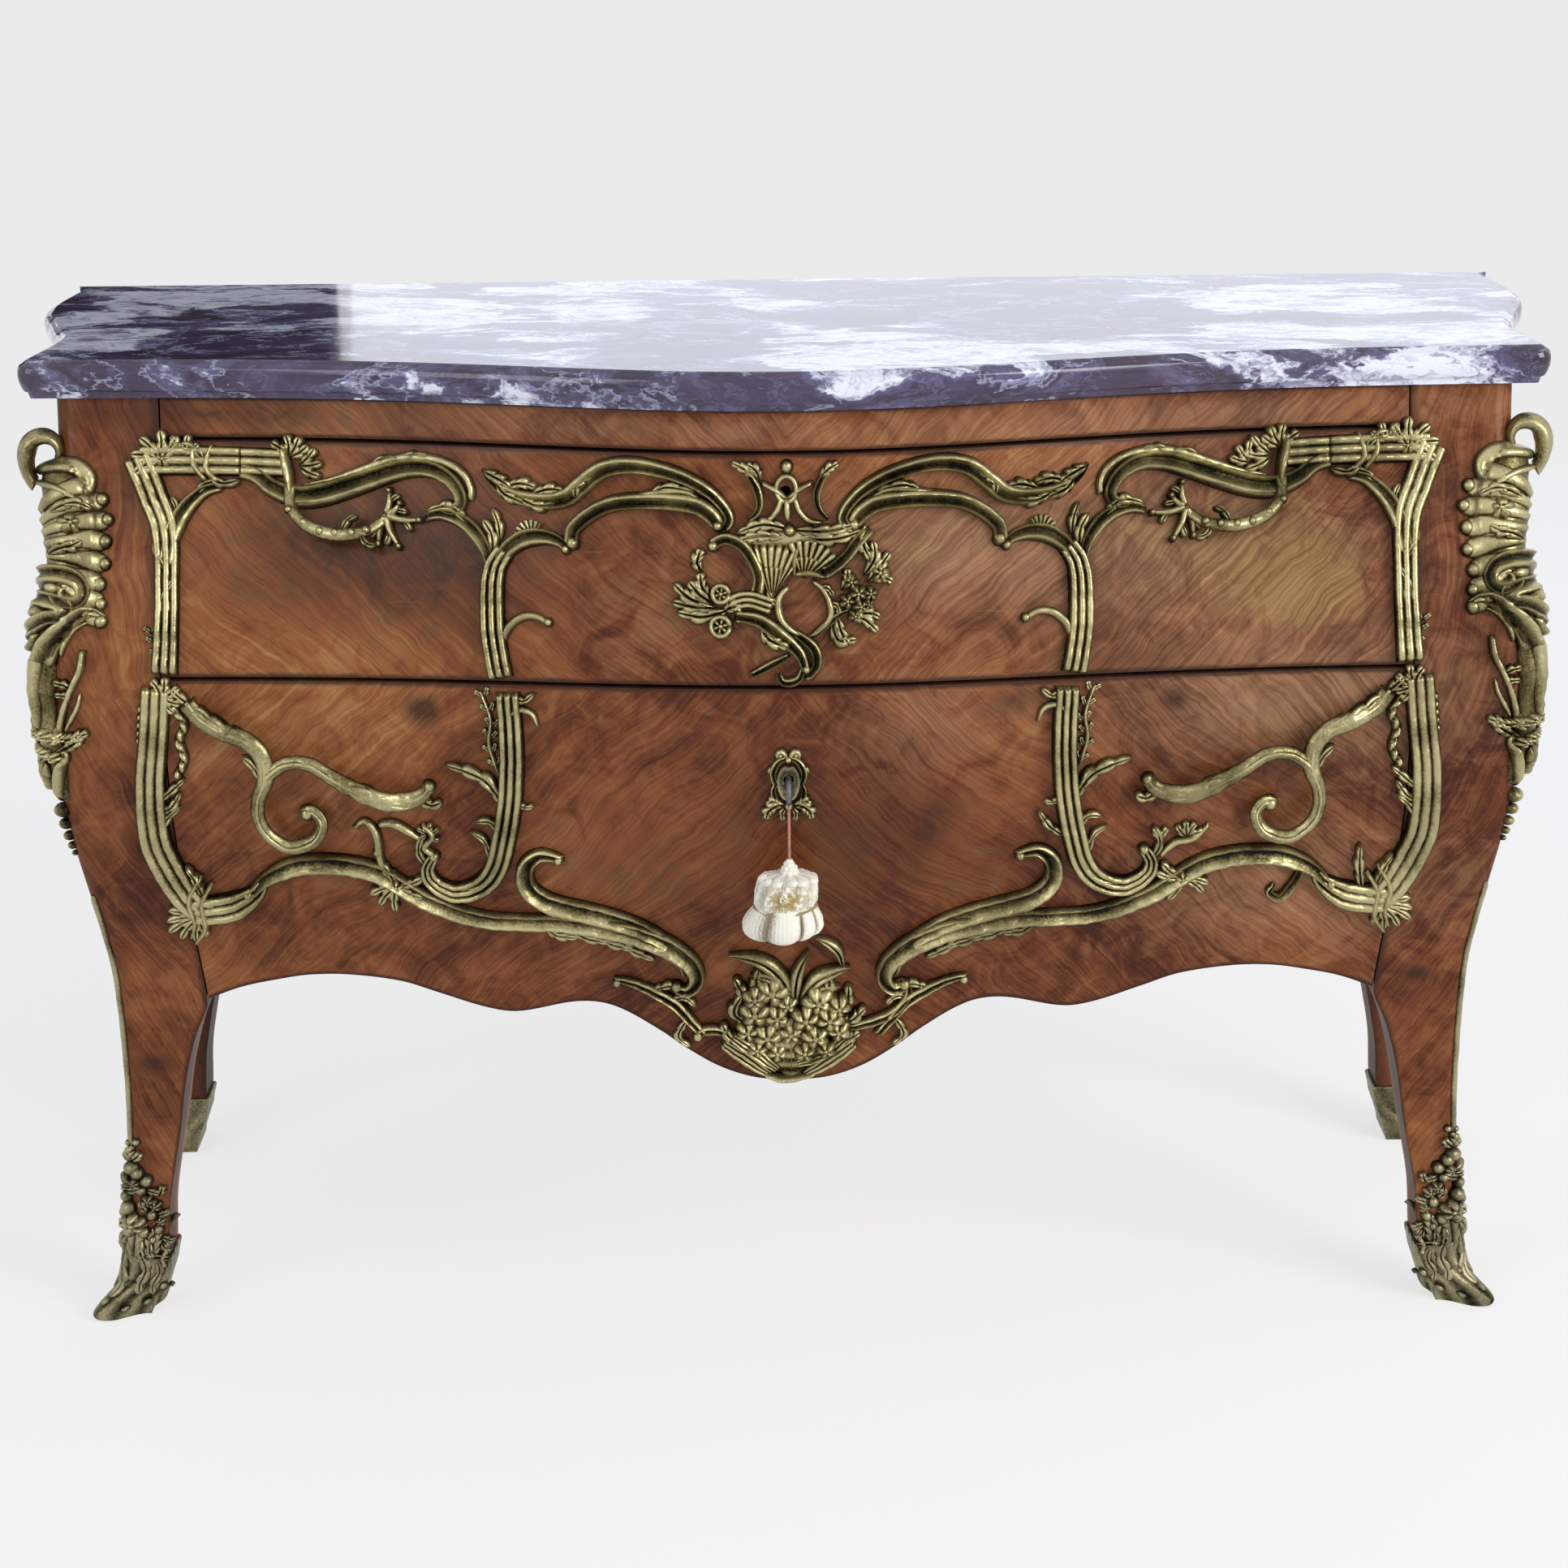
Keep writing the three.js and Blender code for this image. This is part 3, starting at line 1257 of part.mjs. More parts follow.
// Tassel: a cord from the bow, a turned knob and two skirts of threads
const tasselTop = lowerKeyholeHeight - bowHeight / 2 - tasselDrop;
const cordTop = lowerKeyholeHeight - bowHeight / 2 - gap;
const tasselProfileShares = [
  [0, 0.06], [0.8, 0], [0.97, 0.06], [1, 0.2], [0.86, 0.42], [0.7, 0.5], [0.83, 0.56], [0.84, 0.68],
  [0.62, 0.88], [0.3, 0.96], [0.16, 1], [0, 1],
];
const knobProfileShares = [[0, 0], [0.7, 0], [1, 0.4], [0.7, 0.8], [0.3, 1], [0, 1]];

function lathe(profile, radius, height, segments) {
  const points = profile.map(([out, up]) => new THREE.Vector2(out * radius, up * height));
  return new THREE.LatheGeometry(points, segments).rotateX(Math.PI / 2);
}

function tassel() {
  const skirt = lathe(tasselProfileShares, tasselRadius, tasselHeight, 14);
  skirt.scale(1, tasselSquash / tasselRadius, 1);
  const knob = lathe(knobProfileShares, knobRadius, knobHeight, 8);
  knob.translate(0, 0, tasselHeight - gap);
  return join([skirt, knob]).translate(0, bowCentre, tasselTop - tasselHeight - knobHeight);
}

function tasselCord() {
  const radius = tasselCordDiameter / 2;
  const section = new THREE.Shape();
  section.absarc(0, 0, radius, 0, Math.PI * 2);
  const low = new THREE.Vector3(0, bowCentre, tasselTop + gap);
  const high = new THREE.Vector3(0, bowCentre, cordTop);
  return new THREE.ExtrudeGeometry(section, {
    extrudePath: new THREE.LineCurve3(low, high), steps: 3, curveSegments: 4, bevelEnabled: false,
  });
}

// Assembly
const commode = new THREE.Group();

function add(name, geometry, finish) {
  const material = new THREE.MeshStandardMaterial(finish);
  const mesh = new THREE.Mesh(geometry, material);
  mesh.name = name;
  commode.add(mesh);
}

function addPair(names, geometry, finish) {
  add(names[0], mirrored(geometry), finish);
  add(names[1], geometry, finish);
}

function sides(stemName) {
  return [`left_${stemName}`, `right_${stemName}`];
}

add('marble_top', marbleTop(), stone);
addPair(['front_left_leg', 'front_right_leg'], legBody(frontLegRing), veneerDark);
addPair(['back_left_leg', 'back_right_leg'], legBody(backLegRing), veneerDark);
addPair(sides('side_panel'), sidePanel(), veneer);
add('frieze_rail', frieze(), veneer);
add('mid_rail', midRail(), carcass);
add('dust_board', caseBoard(railTop - dustBoardThickness, railTop, []), carcass);
add('bottom_board', bottomBoard(), carcass);
const backTop = carcassTop - backRailHeight - gap;
add('back_panel', backBoardBody(backThickness, bottomBoardBase, backTop), carcass);
add('back_top_rail', backBoardBody(2 * backThickness, backTop + gap, carcassTop), carcass);
addPair(['upper_left_guide', 'upper_right_guide'], guide(upperBase), carcass);
addPair(['lower_left_guide', 'lower_right_guide'], guide(lowerBase), carcass);

add('upper_drawer_front', upperFront, veneer);
addPair(['upper_drawer_left_side', 'upper_drawer_right_side'], upperBox.side, carcass);
add('upper_drawer_bottom', upperBox.floor, carcass);
add('upper_drawer_back', upperBox.back, carcass);
add('lower_drawer_front', lowerFront, veneer);
addPair(['lower_drawer_left_side', 'lower_drawer_right_side'], lowerBox.side, carcass);
add('lower_drawer_bottom', lowerBox.floor, carcass);
add('lower_drawer_back', lowerBox.back, carcass);

add('upper_lock_case', upperLock.shell, iron);
add('upper_lock_bolt', upperLock.bolt, iron);
add('lower_lock_case', lowerLock.shell, iron);
add('lower_lock_bolt', lowerLock.bolt, iron);
add('lock_escutcheon', escutcheon(), bronze);
add('key', keyBody().translate(0, 0, lowerKeyholeHeight), iron);
add('tassel_cord', tasselCord(), silk);
add('key_tassel', tassel(), silk);

addPair(['front_left_sabot', 'front_right_sabot'], sabotBody(frontLegRing, frontLegRoom, frontVines()), bronze);
addPair(['back_left_sabot', 'back_right_sabot'], sabotBody(backLegRing, backLegRoom, []), bronze);
addPair(['left_chute', 'right_chute'], chute(), bronze);
addPair(sides('edge_strip'), edgeStrip(), bronze);
addPair(['upper_left_frame', 'upper_right_frame'], upperFrame(), bronze);
addPair(['upper_left_branch_pull', 'upper_right_branch_pull'], upperBranch(), bronze);
addPair(['upper_left_scroll', 'upper_right_scroll'], upperScroll(), bronze);
add('centre_cartouche', cartouche(), bronze);
addPair(['lower_left_frame', 'lower_right_frame'], lowerFrame(), bronze);
addPair(['lower_left_scroll_pull', 'lower_right_scroll_pull'], lowerPull(), bronze);
addPair(['lower_left_scroll', 'lower_right_scroll'], lowerScroll(), bronze);
add('apron_basket', basket(), bronze);
addPair(sides('apron_sprig'), sprig(), bronze);

// The origin lies on the floor under the middle of the commode
const extent = new THREE.Box3();
for (const mesh of commode.children) {
  if (mesh.name !== 'key_tassel' && mesh.name !== 'tassel_cord') extent.expandByObject(mesh);
}
commode.position.y = -(extent.min.y + extent.max.y) / 2;

export default commode;
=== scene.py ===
import json
import math
import bpy
import numpy as np
from mathutils import Matrix, Vector


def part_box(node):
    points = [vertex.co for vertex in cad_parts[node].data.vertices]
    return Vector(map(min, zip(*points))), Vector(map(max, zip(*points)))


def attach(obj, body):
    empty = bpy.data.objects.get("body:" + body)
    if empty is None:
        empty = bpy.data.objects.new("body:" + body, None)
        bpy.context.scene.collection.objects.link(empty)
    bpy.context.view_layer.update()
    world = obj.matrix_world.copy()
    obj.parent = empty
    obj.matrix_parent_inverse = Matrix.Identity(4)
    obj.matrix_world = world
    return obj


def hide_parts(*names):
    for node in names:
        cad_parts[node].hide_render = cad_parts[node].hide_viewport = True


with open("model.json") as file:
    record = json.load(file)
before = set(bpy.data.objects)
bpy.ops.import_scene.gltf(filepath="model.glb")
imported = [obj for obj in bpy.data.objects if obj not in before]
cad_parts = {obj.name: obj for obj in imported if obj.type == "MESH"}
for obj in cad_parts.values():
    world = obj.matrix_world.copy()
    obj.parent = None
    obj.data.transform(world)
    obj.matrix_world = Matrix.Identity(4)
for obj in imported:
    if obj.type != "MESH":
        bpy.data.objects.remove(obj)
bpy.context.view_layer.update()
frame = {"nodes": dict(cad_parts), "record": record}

scene = bpy.context.scene
scene.view_settings.view_transform = "Standard"

# Sizes, in millimetres
CASE_HEIGHT = 857.0
HALF_WIDTH = 627.0
CASE_DEPTH = 392.0
SETBACK = 18.0
BACK = SETBACK + CASE_DEPTH
CARCASS_TOP = CASE_HEIGHT - 0.3
DRAWER_HALF = 535.0
SEAM = 1.5
FRONT_THICK = 24.0
UPPER_TOP = CASE_HEIGHT * 0.95624
PARTING = CASE_HEIGHT * 0.73045
APRON_CENTRE = CASE_HEIGHT * 0.29172
APRON_RISE = CASE_HEIGHT * 0.10852
UPPER_KEYHOLE = UPPER_TOP - 30.5
LOWER_KEYHOLE = PARTING - 82.0
BELLY, BOW_DEPTH, BOW_WIDTH = 78.0, 93.0, 300.0
FLARE, SIDE_SWELL = 34.0, 23.0
LEG_DEPTH, LEG_GROWTH = 44.0, 16.0
POST_HALF = 38.0
MARBLE_THICK, OVERHANG = 33.0, 28.0
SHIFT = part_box("back_panel")[1][1] * 1000 - BACK

# Camera
camera = bpy.data.objects.new("camera", bpy.data.cameras.new("camera"))
scene.collection.objects.link(camera)
camera.matrix_world = (
    Matrix.Translation((-0.0039, -2.738 + SHIFT / 1000, 1.3706))
    @ Matrix.Rotation(math.radians(90 - 17.5), 4, "X") @ Matrix.Rotation(-0.0105, 4, "Z"))
camera.data.sensor_width = 36.0
camera.data.lens = 4000.0 / 1932.0 * 36.0
camera.data.clip_start = 0.1
scene.camera = camera


# The case's surfaces
def smooth(rows):
    rows = np.array(sorted(rows), float)
    xs, ys = rows.T
    last = len(xs) - 1
    before = np.maximum(np.arange(last + 1) - 1, 0)
    after = np.minimum(np.arange(last + 1) + 1, last)
    slopes = (ys[after] - ys[before]) / (xs[after] - xs[before])

    def at(place):
        place = np.clip(np.asarray(place, float), xs[0], xs[-1])
        i = np.clip(np.searchsorted(xs, place, side="left") - 1, 0, last - 1)
        span = xs[i + 1] - xs[i]
        t = (place - xs[i]) / span
        return ((2 * t**3 - 3 * t**2 + 1) * ys[i] + (t**3 - 2 * t**2 + t) * span * slopes[i]
                + (3 * t**2 - 2 * t**3) * ys[i + 1] + (t**3 - t**2) * span * slopes[i + 1])
    return at


belly = smooth([
    (0, 0.38), (0.07, 0.28), (0.175, 0.23), (0.292, 0.31), (0.397, 0.49), (0.49, 0.72),
    (0.583, 0.92), (0.677, 1), (0.747, 0.94), (0.817, 0.71), (0.898, 0.3), (0.957, 0.09), (1, 0)])
bow = smooth([
    (0, 0.58), (0.397, 0.58), (0.49, 0.54), (0.583, 0.49), (0.677, 0.49), (0.747, 0.53),
    (0.817, 0.62), (0.898, 0.82), (0.957, 0.97), (1, 1)])
swell = smooth([(0, 0.12), (0.01, 0.1), (0.035, -0.16), (0.07, -0.31), (0.12, -0.5), (0.218, -0.72),
                (0.285, -0.8), (0.392, -0.8), (0.439, -0.62), (0.481, -0.38), (0.544, 0), (0.6, 0.2),
                (0.666, 0.3), (0.748, 0.28), (0.863, 0.1), (0.93, 0), (1, 0)])
flare = smooth([(0, 0), (0.27, -0.26), (0.48, 0.35), (0.69, 1), (1, 0.82)])
edge = smooth([
    (0, 1.1), (0.012, 1.1), (0.05, 1.078), (0.121, 1.069), (0.161, 1.058), (0.212, 1.041),
    (0.272, 1.024), (0.326, 1.0), (0.36, 0.976), (0.372, 0.975), (0.397, 0.978), (0.5, 0.9925),
    (0.6, 1), (1, 1)])
leg_depth_share = smooth([
    (0, 0.3), (0.02, 0.3), (0.07, 0), (0.16, 0), (0.272, 0.35), (0.36, 0.95), (0.42, 1), (1, 1)])
apron = smooth([
    (0, 0), (0.06, 0.03), (0.12, 0.15), (0.18, 0.36), (0.22, 0.52), (0.3, 0.77), (0.36, 0.8),
    (0.465, 0.66), (0.52, 0.69), (0.6, 0.83), (0.66, 0.94), (0.75, 1), (0.82, 0.99),
    (0.88, 0.93), (0.94, 0.85), (1, 0.72)])
side_apron = smooth([(0, 0), (0.25, 0.9), (0.5, 0.55), (0.75, 0.9), (1, 0)])


def front_at(x, z):
    share = np.asarray(z, float) / CASE_HEIGHT
    return SETBACK - BELLY * belly(share) - BOW_DEPTH * bow(share) * np.exp(-((np.asarray(x) / BOW_WIDTH) ** 2))


def side_at(y, z):
    z = np.asarray(z, float)
    back = (np.asarray(y) - SETBACK) / CASE_DEPTH
    return HALF_WIDTH + FLARE * flare(back) + SIDE_SWELL * swell(z / CASE_HEIGHT)


def drawer_edge(z):
    return DRAWER_HALF * edge(np.asarray(z, float) / CASE_HEIGHT)


def leg_depth(z):
    return LEG_DEPTH + LEG_GROWTH * leg_depth_share(np.asarray(z, float) / CASE_HEIGHT)


CORNER = 18.0
CORNER_ARC = CORNER * math.pi / 4


def front_base(x, z):
    return np.stack([x, front_at(x, z), z], -1)


def corner_base(s, z):
    outer = side_at(SETBACK, z)
    front = front_at(outer, z)
    turn = (np.clip(s, -CORNER_ARC, CORNER_ARC) + CORNER_ARC) / (2 * CORNER_ARC) * math.pi / 2
    x = outer - CORNER + CORNER * np.sin(turn)
    y = front + CORNER - CORNER * np.cos(turn)
    flat = outer - CORNER + s + CORNER_ARC
    x = np.where(s < -CORNER_ARC, flat, x)
    y = np.where(s < -CORNER_ARC, front_at(flat, z), y)
    deep = front + CORNER + s - CORNER_ARC
    x = np.where(s > CORNER_ARC, side_at(np.maximum(deep, SETBACK), z), x)
    y = np.where(s > CORNER_ARC, deep, y)
    return np.stack([x, y, z], -1)


def face_of(base):
    def at(a, b, height):
        a, b, height = np.broadcast_arrays(*(np.asarray(v, float) for v in (a, b, height)))
        along = base(a + 0.5, b) - base(a - 0.5, b)
        up = base(a, b + 0.5) - base(a, b - 0.5)
        normal = np.cross(along, up)
        normal /= np.linalg.norm(normal, axis=-1, keepdims=True)
        return base(a, b) + normal * height[..., None]
    return at


front_face = face_of(front_base)
corner_face = face_of(corner_base)


def raised_face(face, feet, rise, reach):
    def at(a, b, height):
        clear = 1.0
        for foot_a, foot_b in feet:
            t = np.clip(np.hypot(a - foot_a, b - foot_b) / reach, 0, 1)
            clear = clear * t * t * (3 - 2 * t)
        return face(a, b, height + rise * clear)
    return at


def upper(shares):
    shares = np.array(shares, float)
    low = PARTING + SEAM
    return np.stack([shares[:, 0] * DRAWER_HALF, low + (UPPER_TOP - low) * shares[:, 1]], -1)


def lower(shares):
    shares = np.array(shares, float)
    low = APRON_CENTRE + SEAM
    high = PARTING - SEAM
    return np.stack([shares[:, 0] * DRAWER_HALF, low + (high - low) * shares[:, 1]], -1)


def corner(shares):
    shares = np.array(shares, float)
    return np.stack([shares[:, 0] * POST_HALF, shares[:, 1] * CASE_HEIGHT], -1)


class Cast:
    """Gathers grids of points; the wear and shade value runs from 0 in a hollow, dark with dirt and painted
    shade, to 1 on a rubbed ridge.
    """

    def __init__(self):
        self.points, self.wear, self.faces, self.uvs, self.count = [], [], [], [], 0

    def grid(self, points, wear=0.5, wrap=False, cap=(), uv=None):
        rows, columns = points.shape[:2]
        index = self.count + np.arange(rows * columns).reshape(rows, columns)
        right = np.roll(index, -1, 1) if wrap else index[:, 1:]
        left = index if wrap else index[:, :-1]
        quads = np.stack([left[:-1], left[1:], right[1:], right[:-1]], -1).reshape(-1, 4)
        self.points.append(points.reshape(-1, 3))
        self.wear.append(np.broadcast_to(wear, (rows, columns)).reshape(-1))
        self.uvs.append(np.zeros((rows * columns, 2)) if uv is None else uv.reshape(-1, 2))
        self.faces += quads.tolist()
        if 0 in cap:
            self.faces.append(index[0].tolist())
        if 1 in cap:
            self.faces.append(index[-1][::-1].tolist())
        self.count += rows * columns

    def arrays(self):
        return np.concatenate(self.points), np.concatenate(self.wear), np.concatenate(self.uvs)


def make(name, cast, body, material, replaces=(), mirror=False, angle=50, extra=None):
    points, wear, uvs = cast.arrays()
    faces = cast.faces
    if mirror:
        points[:, 0] *= -1
        faces = [face[::-1] for face in faces]
    points[:, 1] += SHIFT
    mesh = bpy.data.meshes.new(name)
    mesh.from_pydata((points / 1000).tolist(), [], faces)
    layer = mesh.attributes.new("wear", "FLOAT", "POINT")
    layer.data.foreach_set("value", wear.astype(np.float32))
    for key, values in (extra or {}).items():
        layer = mesh.attributes.new(key, "FLOAT", "POINT")
        layer.data.foreach_set("value", values.astype(np.float32))
    uv_layer = mesh.uv_layers.new(name="grain")
    loops = np.empty(len(mesh.loops), np.int32)
    mesh.loops.foreach_get("vertex_index", loops)
    uv_layer.data.foreach_set("uv", uvs[loops].astype(np.float32).reshape(-1))
    mesh.shade_smooth()
    mesh.set_sharp_from_angle(angle=math.radians(angle))
    mesh.materials.append(material)
    piece = bpy.data.objects.new(name, mesh)
    scene.collection.objects.link(piece)
    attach(piece, body)
    if replaces:
        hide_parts(*replaces)
    return piece


def path_of(points, step=2.6, count=None):
    points = np.asarray(points, float)
    last = len(points) - 1
    t = np.linspace(0, last, 24 * last + 1)
    i = np.minimum(t.astype(int), last - 1)
    w = (t - i)[:, None]
    p0, p1 = points[np.maximum(i - 1, 0)], points[i]
    p2, p3 = points[i + 1], points[np.minimum(i + 2, last)]
    v0, v1 = (p2 - p0) / 2, (p3 - p1) / 2
    line = ((2 * p1 - 2 * p2 + v0 + v1) * w**3 + (-3 * p1 + 3 * p2 - 2 * v0 - v1) * w**2 + v0 * w + p1)
    run = np.concatenate([[0], np.cumsum(np.linalg.norm(np.diff(line, axis=0), axis=1))])
    count = count or max(6, int(run[-1] / step))
    share = np.linspace(0, 1, count + 1)
    at = np.stack([np.interp(share * run[-1], run, line[:, k]) for k in (0, 1)], -1)
    heading = np.gradient(at, axis=0)
    heading /= np.linalg.norm(heading, axis=1, keepdims=True) + 1e-9
    return at, heading, share, run[-1]


# Sections across a ribbon: place, height, wear and shade
def ribs(count, valley):
    rows = [(-1.0, 0.0, 0.0)]
    for rib in range(count):
        for t in np.linspace(-1, 1, 5):
            place = (-1 + (2 * rib + 1 + t * 0.96) / count) * 0.97
            height = valley + (1 - valley) * math.sqrt(max(1 - t * t, 0))
            rows.append((place, height, 0.1 + 0.9 * math.sqrt(max(1 - t * t, 0))))
    rows.append((1.0, 0.0, 0.0))
    return np.array(rows)


REED3 = ribs(3, 0.6)
ROUND = np.array([(math.sin(t) * 1.0, math.cos(t), 0.15 + 0.85 * max(math.cos(t), 0))
                  for t in np.linspace(-math.pi / 2, math.pi / 2, 9)])
TUBE = np.array([(math.sin(t), 0.5 + 0.5 * math.cos(t), 0.35 + 0.4 * math.cos(t))
                 for t in np.linspace(-math.pi, math.pi, 13)[:-1]])
SCROLL = np.array([
    (-1, 0, 0), (-0.97, 0.62, 0.6), (-0.8, 0.86, 1), (-0.6, 0.72, 0.5), (-0.35, 0.44, 0.05),
    (-0.05, 0.5, 0.25), (0.2, 0.78, 0.7), (0.45, 1, 1), (0.68, 0.94, 0.9), (0.88, 0.62, 0.5), (1, 0, 0)])
STEM = smooth([(0, 0.7), (0.5, 1), (1, 0.5)])
EVEN = smooth([(0, 1), (0.5, 1), (1, 1)])
TENDRIL = smooth([(0, 1), (0.6, 0.8), (1, 0.4)])
GRIP = smooth([(0, 0.9), (0.5, 1), (1, 0.7)])
FINGERS = (13.0, 34.0)


def skirted(a, b, height, wear, lift):
    """Adds walls from a raised form's edges down to what carries it."""
    lift = float(np.max(lift))
    if lift <= 1.0:
        return a, b, height, wear
    a, b = np.pad(a, 1, mode="edge"), np.pad(b, 1, mode="edge")
    height = np.pad(height, 1, constant_values=max(0.3, lift - 9.0))
    # The walls take a low wear value, which gives each raised form a dark rim: painted shadow with some dirt.
    return a, b, height, np.pad(wear, 1, constant_values=0.1)


def ribbon(cast, face, points, width, relief, section=SCROLL, taper=STEM, lift=0.3, flip=False, step=2.6):
    at, heading, share, length = path_of(points, step)
    half = (width / 2) * taper(share)
    across, up, wear = (section[::-1] * [-1, 1, 1] if flip else section).T
    a = at[:, 0:1] - heading[:, 1:2] * half[:, None] * across
    b = at[:, 1:2] + heading[:, 0:1] * half[:, None] * across
    high = relief * (0.4 + 0.6 * taper(share))
    chase = 1 + 0.05 * np.sin(share * length / 5.3) + 0.04 * np.sin(share * length / 2.1 + 1)
    ends = np.clip(np.minimum(share, 1 - share) * length / 3.0, 0.0, 1) ** 0.5
    if callable(lift):
        lift = lift(share)[:, None]
    height = lift + np.outer(high * chase * (0.25 + 0.75 * ends), up)
    wear = wear * (0.66 + 0.2 * ends + 0.14 * np.sin(share * length / 10.0 + at[0, 0]))[:, None]
    if section is TUBE:
        cast.grid(face(a, b, height), wear, wrap=True, cap=(0, 1))
        return
    a, b, height, wear = skirted(a, b, height, wear, lift)
    cast.grid(face(a, b, height), wear)


def leaf(cast, face, points, width=13, relief=6, lobes=3, lift=0.4):
    """A lobed leaf with a sunk midrib; its tip turns up."""
    at, heading, share, _ = path_of(points, count=max(10, lobes * 7))
    s = np.linspace(-1, 1, 11)
    tooth = np.mod(share * lobes * 0.999, 1)
    outline = 2.05 * (share + 0.02) ** 0.48 * (1 - share) ** 0.72
    outline = np.maximum(outline, 0.12 * (1 - share)) * (0.58 + 0.42 * np.sin(math.pi * tooth) ** 0.6)
    half = width / 2 * outline
    sweep = 0.5 * width * (np.abs(s) ** 1.6) * outline[:, None]
    a = at[:, 0:1] - heading[:, 1:2] * half[:, None] * s + heading[:, 0:1] * sweep
    b = at[:, 1:2] + heading[:, 0:1] * half[:, None] * s + heading[:, 1:2] * sweep
    dome = np.clip(1 - np.abs(s) ** 2.4, 0, 1) * 0.62 + 0.38 * np.abs(s) ** 0.5 * (np.abs(s) < 0.96)
    groove = np.exp(-(s / 0.13) ** 2)
    fold = 0.5 + 0.5 * np.sin(math.pi * tooth)
    rise = (0.35 + 0.65 * np.sin(math.pi * share ** 0.8) + 0.5 * share**3)[:, None]
    height = relief * rise * (dome - 0.3 * groove) * (0.72 + 0.28 * fold[:, None])
    wear = np.clip(dome * 0.75 + 0.35 * share[:, None] - 0.55 * groove, 0, 1) * (0.45 + 0.55 * fold[:, None])
    a, b, height, wear = skirted(a, b, lift + np.maximum(height, 0), wear, lift)
    cast.grid(face(a, b, height), wear)


def boss(cast, face, centre, radius, relief, lift=0.3, squash=1.0):
    rho = np.array([0, 0.25, 0.5, 0.7, 0.86, 0.96, 1, 1])[:, None]
    turn = np.linspace(0, 2 * math.pi, 17)[:-1][None, :]
    a = centre[0] + radius * rho * np.cos(turn)
    b = centre[1] + radius * squash * rho * np.sin(turn)
    height = lift + relief * np.sqrt(np.clip(1 - rho**2, 0, 1)) + 0 * turn
    height[-1] = max(min(lift, 0.3), lift - 9.0)
    cast.grid(face(a, b, height), np.clip(1.1 - rho, 0, 1) + 0 * turn, wrap=True)


def flower(cast, face, centre, radius, relief, petals=5, turn0=0.0, lift=0.5):
    rho = np.append(np.linspace(0.0, 1, 9), 1.0)[:, None]
    turn = np.linspace(0, 2 * math.pi, petals * 10 + 1)[:-1][None, :]
    wave = np.abs(np.cos((turn - turn0) * petals / 2))
    reach = radius * rho * (0.62 + 0.38 * wave ** 0.6 * rho)
    a = centre[0] + reach * np.cos(turn)
    b = centre[1] + reach * np.sin(turn)
    cup = 0.35 + 0.65 * np.sin(math.pi * np.clip(rho * 1.05, 0, 1) ** 0.9)
    height = lift + relief * cup * (0.45 + 0.55 * wave * (rho > 0.15)) * (1 - 0.75 * rho**6)
    height[-1] = max(min(lift, 0.3), lift - 9.0)
    wear = np.clip(cup * (0.42 + 0.66 * wave), 0, 1)
    cast.grid(face(a, b, height), wear, wrap=True)
    boss(cast, face, centre, radius * 0.26, relief * 0.5, lift + relief * 0.45)


def shell(cast, face, root, spread, reach, relief, flutes=7, lean=0.0):
    rho = np.linspace(0.12, 1, 12)[:, None]
    turn = np.linspace(-spread, spread, flutes * 6 + 1)[None, :]
    wave = np.abs(np.cos(turn / spread * math.pi * flutes / 2)) ** 0.7
    far = reach * (0.9 + 0.1 * wave)
    a = root[0] + far * rho * np.sin(turn + lean)
    b = root[1] + far * rho * np.cos(turn + lean)
    height = relief * (0.35 + 0.65 * rho) * (0.55 + 0.45 * wave) * np.where(rho > 0.99, 0.15, 1)
    cast.grid(face(a, b, 0.4 + height)[:, ::-1], ((0.32 + 0.68 * wave) * (0.6 + 0.4 * rho))[:, ::-1])


def twist(cast, face, points, width, relief, turns):
    """A rope of slanting strands."""
    at, heading, share, _ = path_of(points, 1.6)
    section = np.linspace(-1, 1, 9)
    phase = share[:, None] * turns * math.pi * 2 + section * 1.9
    strand = np.abs(np.cos(phase / 2))
    a = at[:, 0:1] - heading[:, 1:2] * width / 2 * section
    b = at[:, 1:2] + heading[:, 0:1] * width / 2 * section
    high = 0.3 + relief * np.sqrt(np.clip(1 - section**2, 0, 1)) * (0.45 + 0.55 * strand)
    cast.grid(face(a, b, high), 0.1 + 0.9 * strand * (1 - section**2))


def ways(turn):
    """A direction on a face, in degrees from its first axis, and the one to its left."""
    out = np.array([math.cos(math.radians(turn)), math.sin(math.radians(turn))])
    return out, np.array([-out[1], out[0]])


def spray(cast, face, centre, turns, reach, width=9, relief=6, lift=0.6):
    for turn in turns:
        out, side = ways(turn)
        points = [centre, centre + out * reach * 0.5 + side * reach * 0.07, centre + out * reach]
        leaf(cast, face, points, width=width, relief=relief, lobes=2, lift=lift)


def husks(cast, face, points, count, size=9):
    at, heading, share, _ = path_of(points)
    for k in range(count):
        i = int((k + 0.4) / count * (len(share) - 1))
        for side in (-1, 1):
            base = math.degrees(math.atan2(heading[i, 1], heading[i, 0])) + side * 38
            spray(cast, face, at[i], [base], size, width=size * 0.62, relief=4.5)


def lay(cast, place, rows, face=front_face, unit=0.001):
    """Lays forms on a face. A row is a form, one flat path of pairs or a list of such paths, and its shape."""
    for form, paths, *shape in rows:
        for path in paths if isinstance(paths, list) else [paths]:
            points = place(np.reshape(path, (-1, 2)) * unit)
            form(cast, face, points if len(points) > 1 else points[0], *shape)


def each(cast, place, form, rows, *shape, face=front_face):
    """Lays one form again and again. A row is its path and what differs."""
    lay(cast, place, [(form, path, *own, *shape) for path, *own in rows], face)


def taper(*values):
    """Widths along a form: a share of its length, the width there, and so on."""
    return smooth(zip(values[::2], values[1::2]))


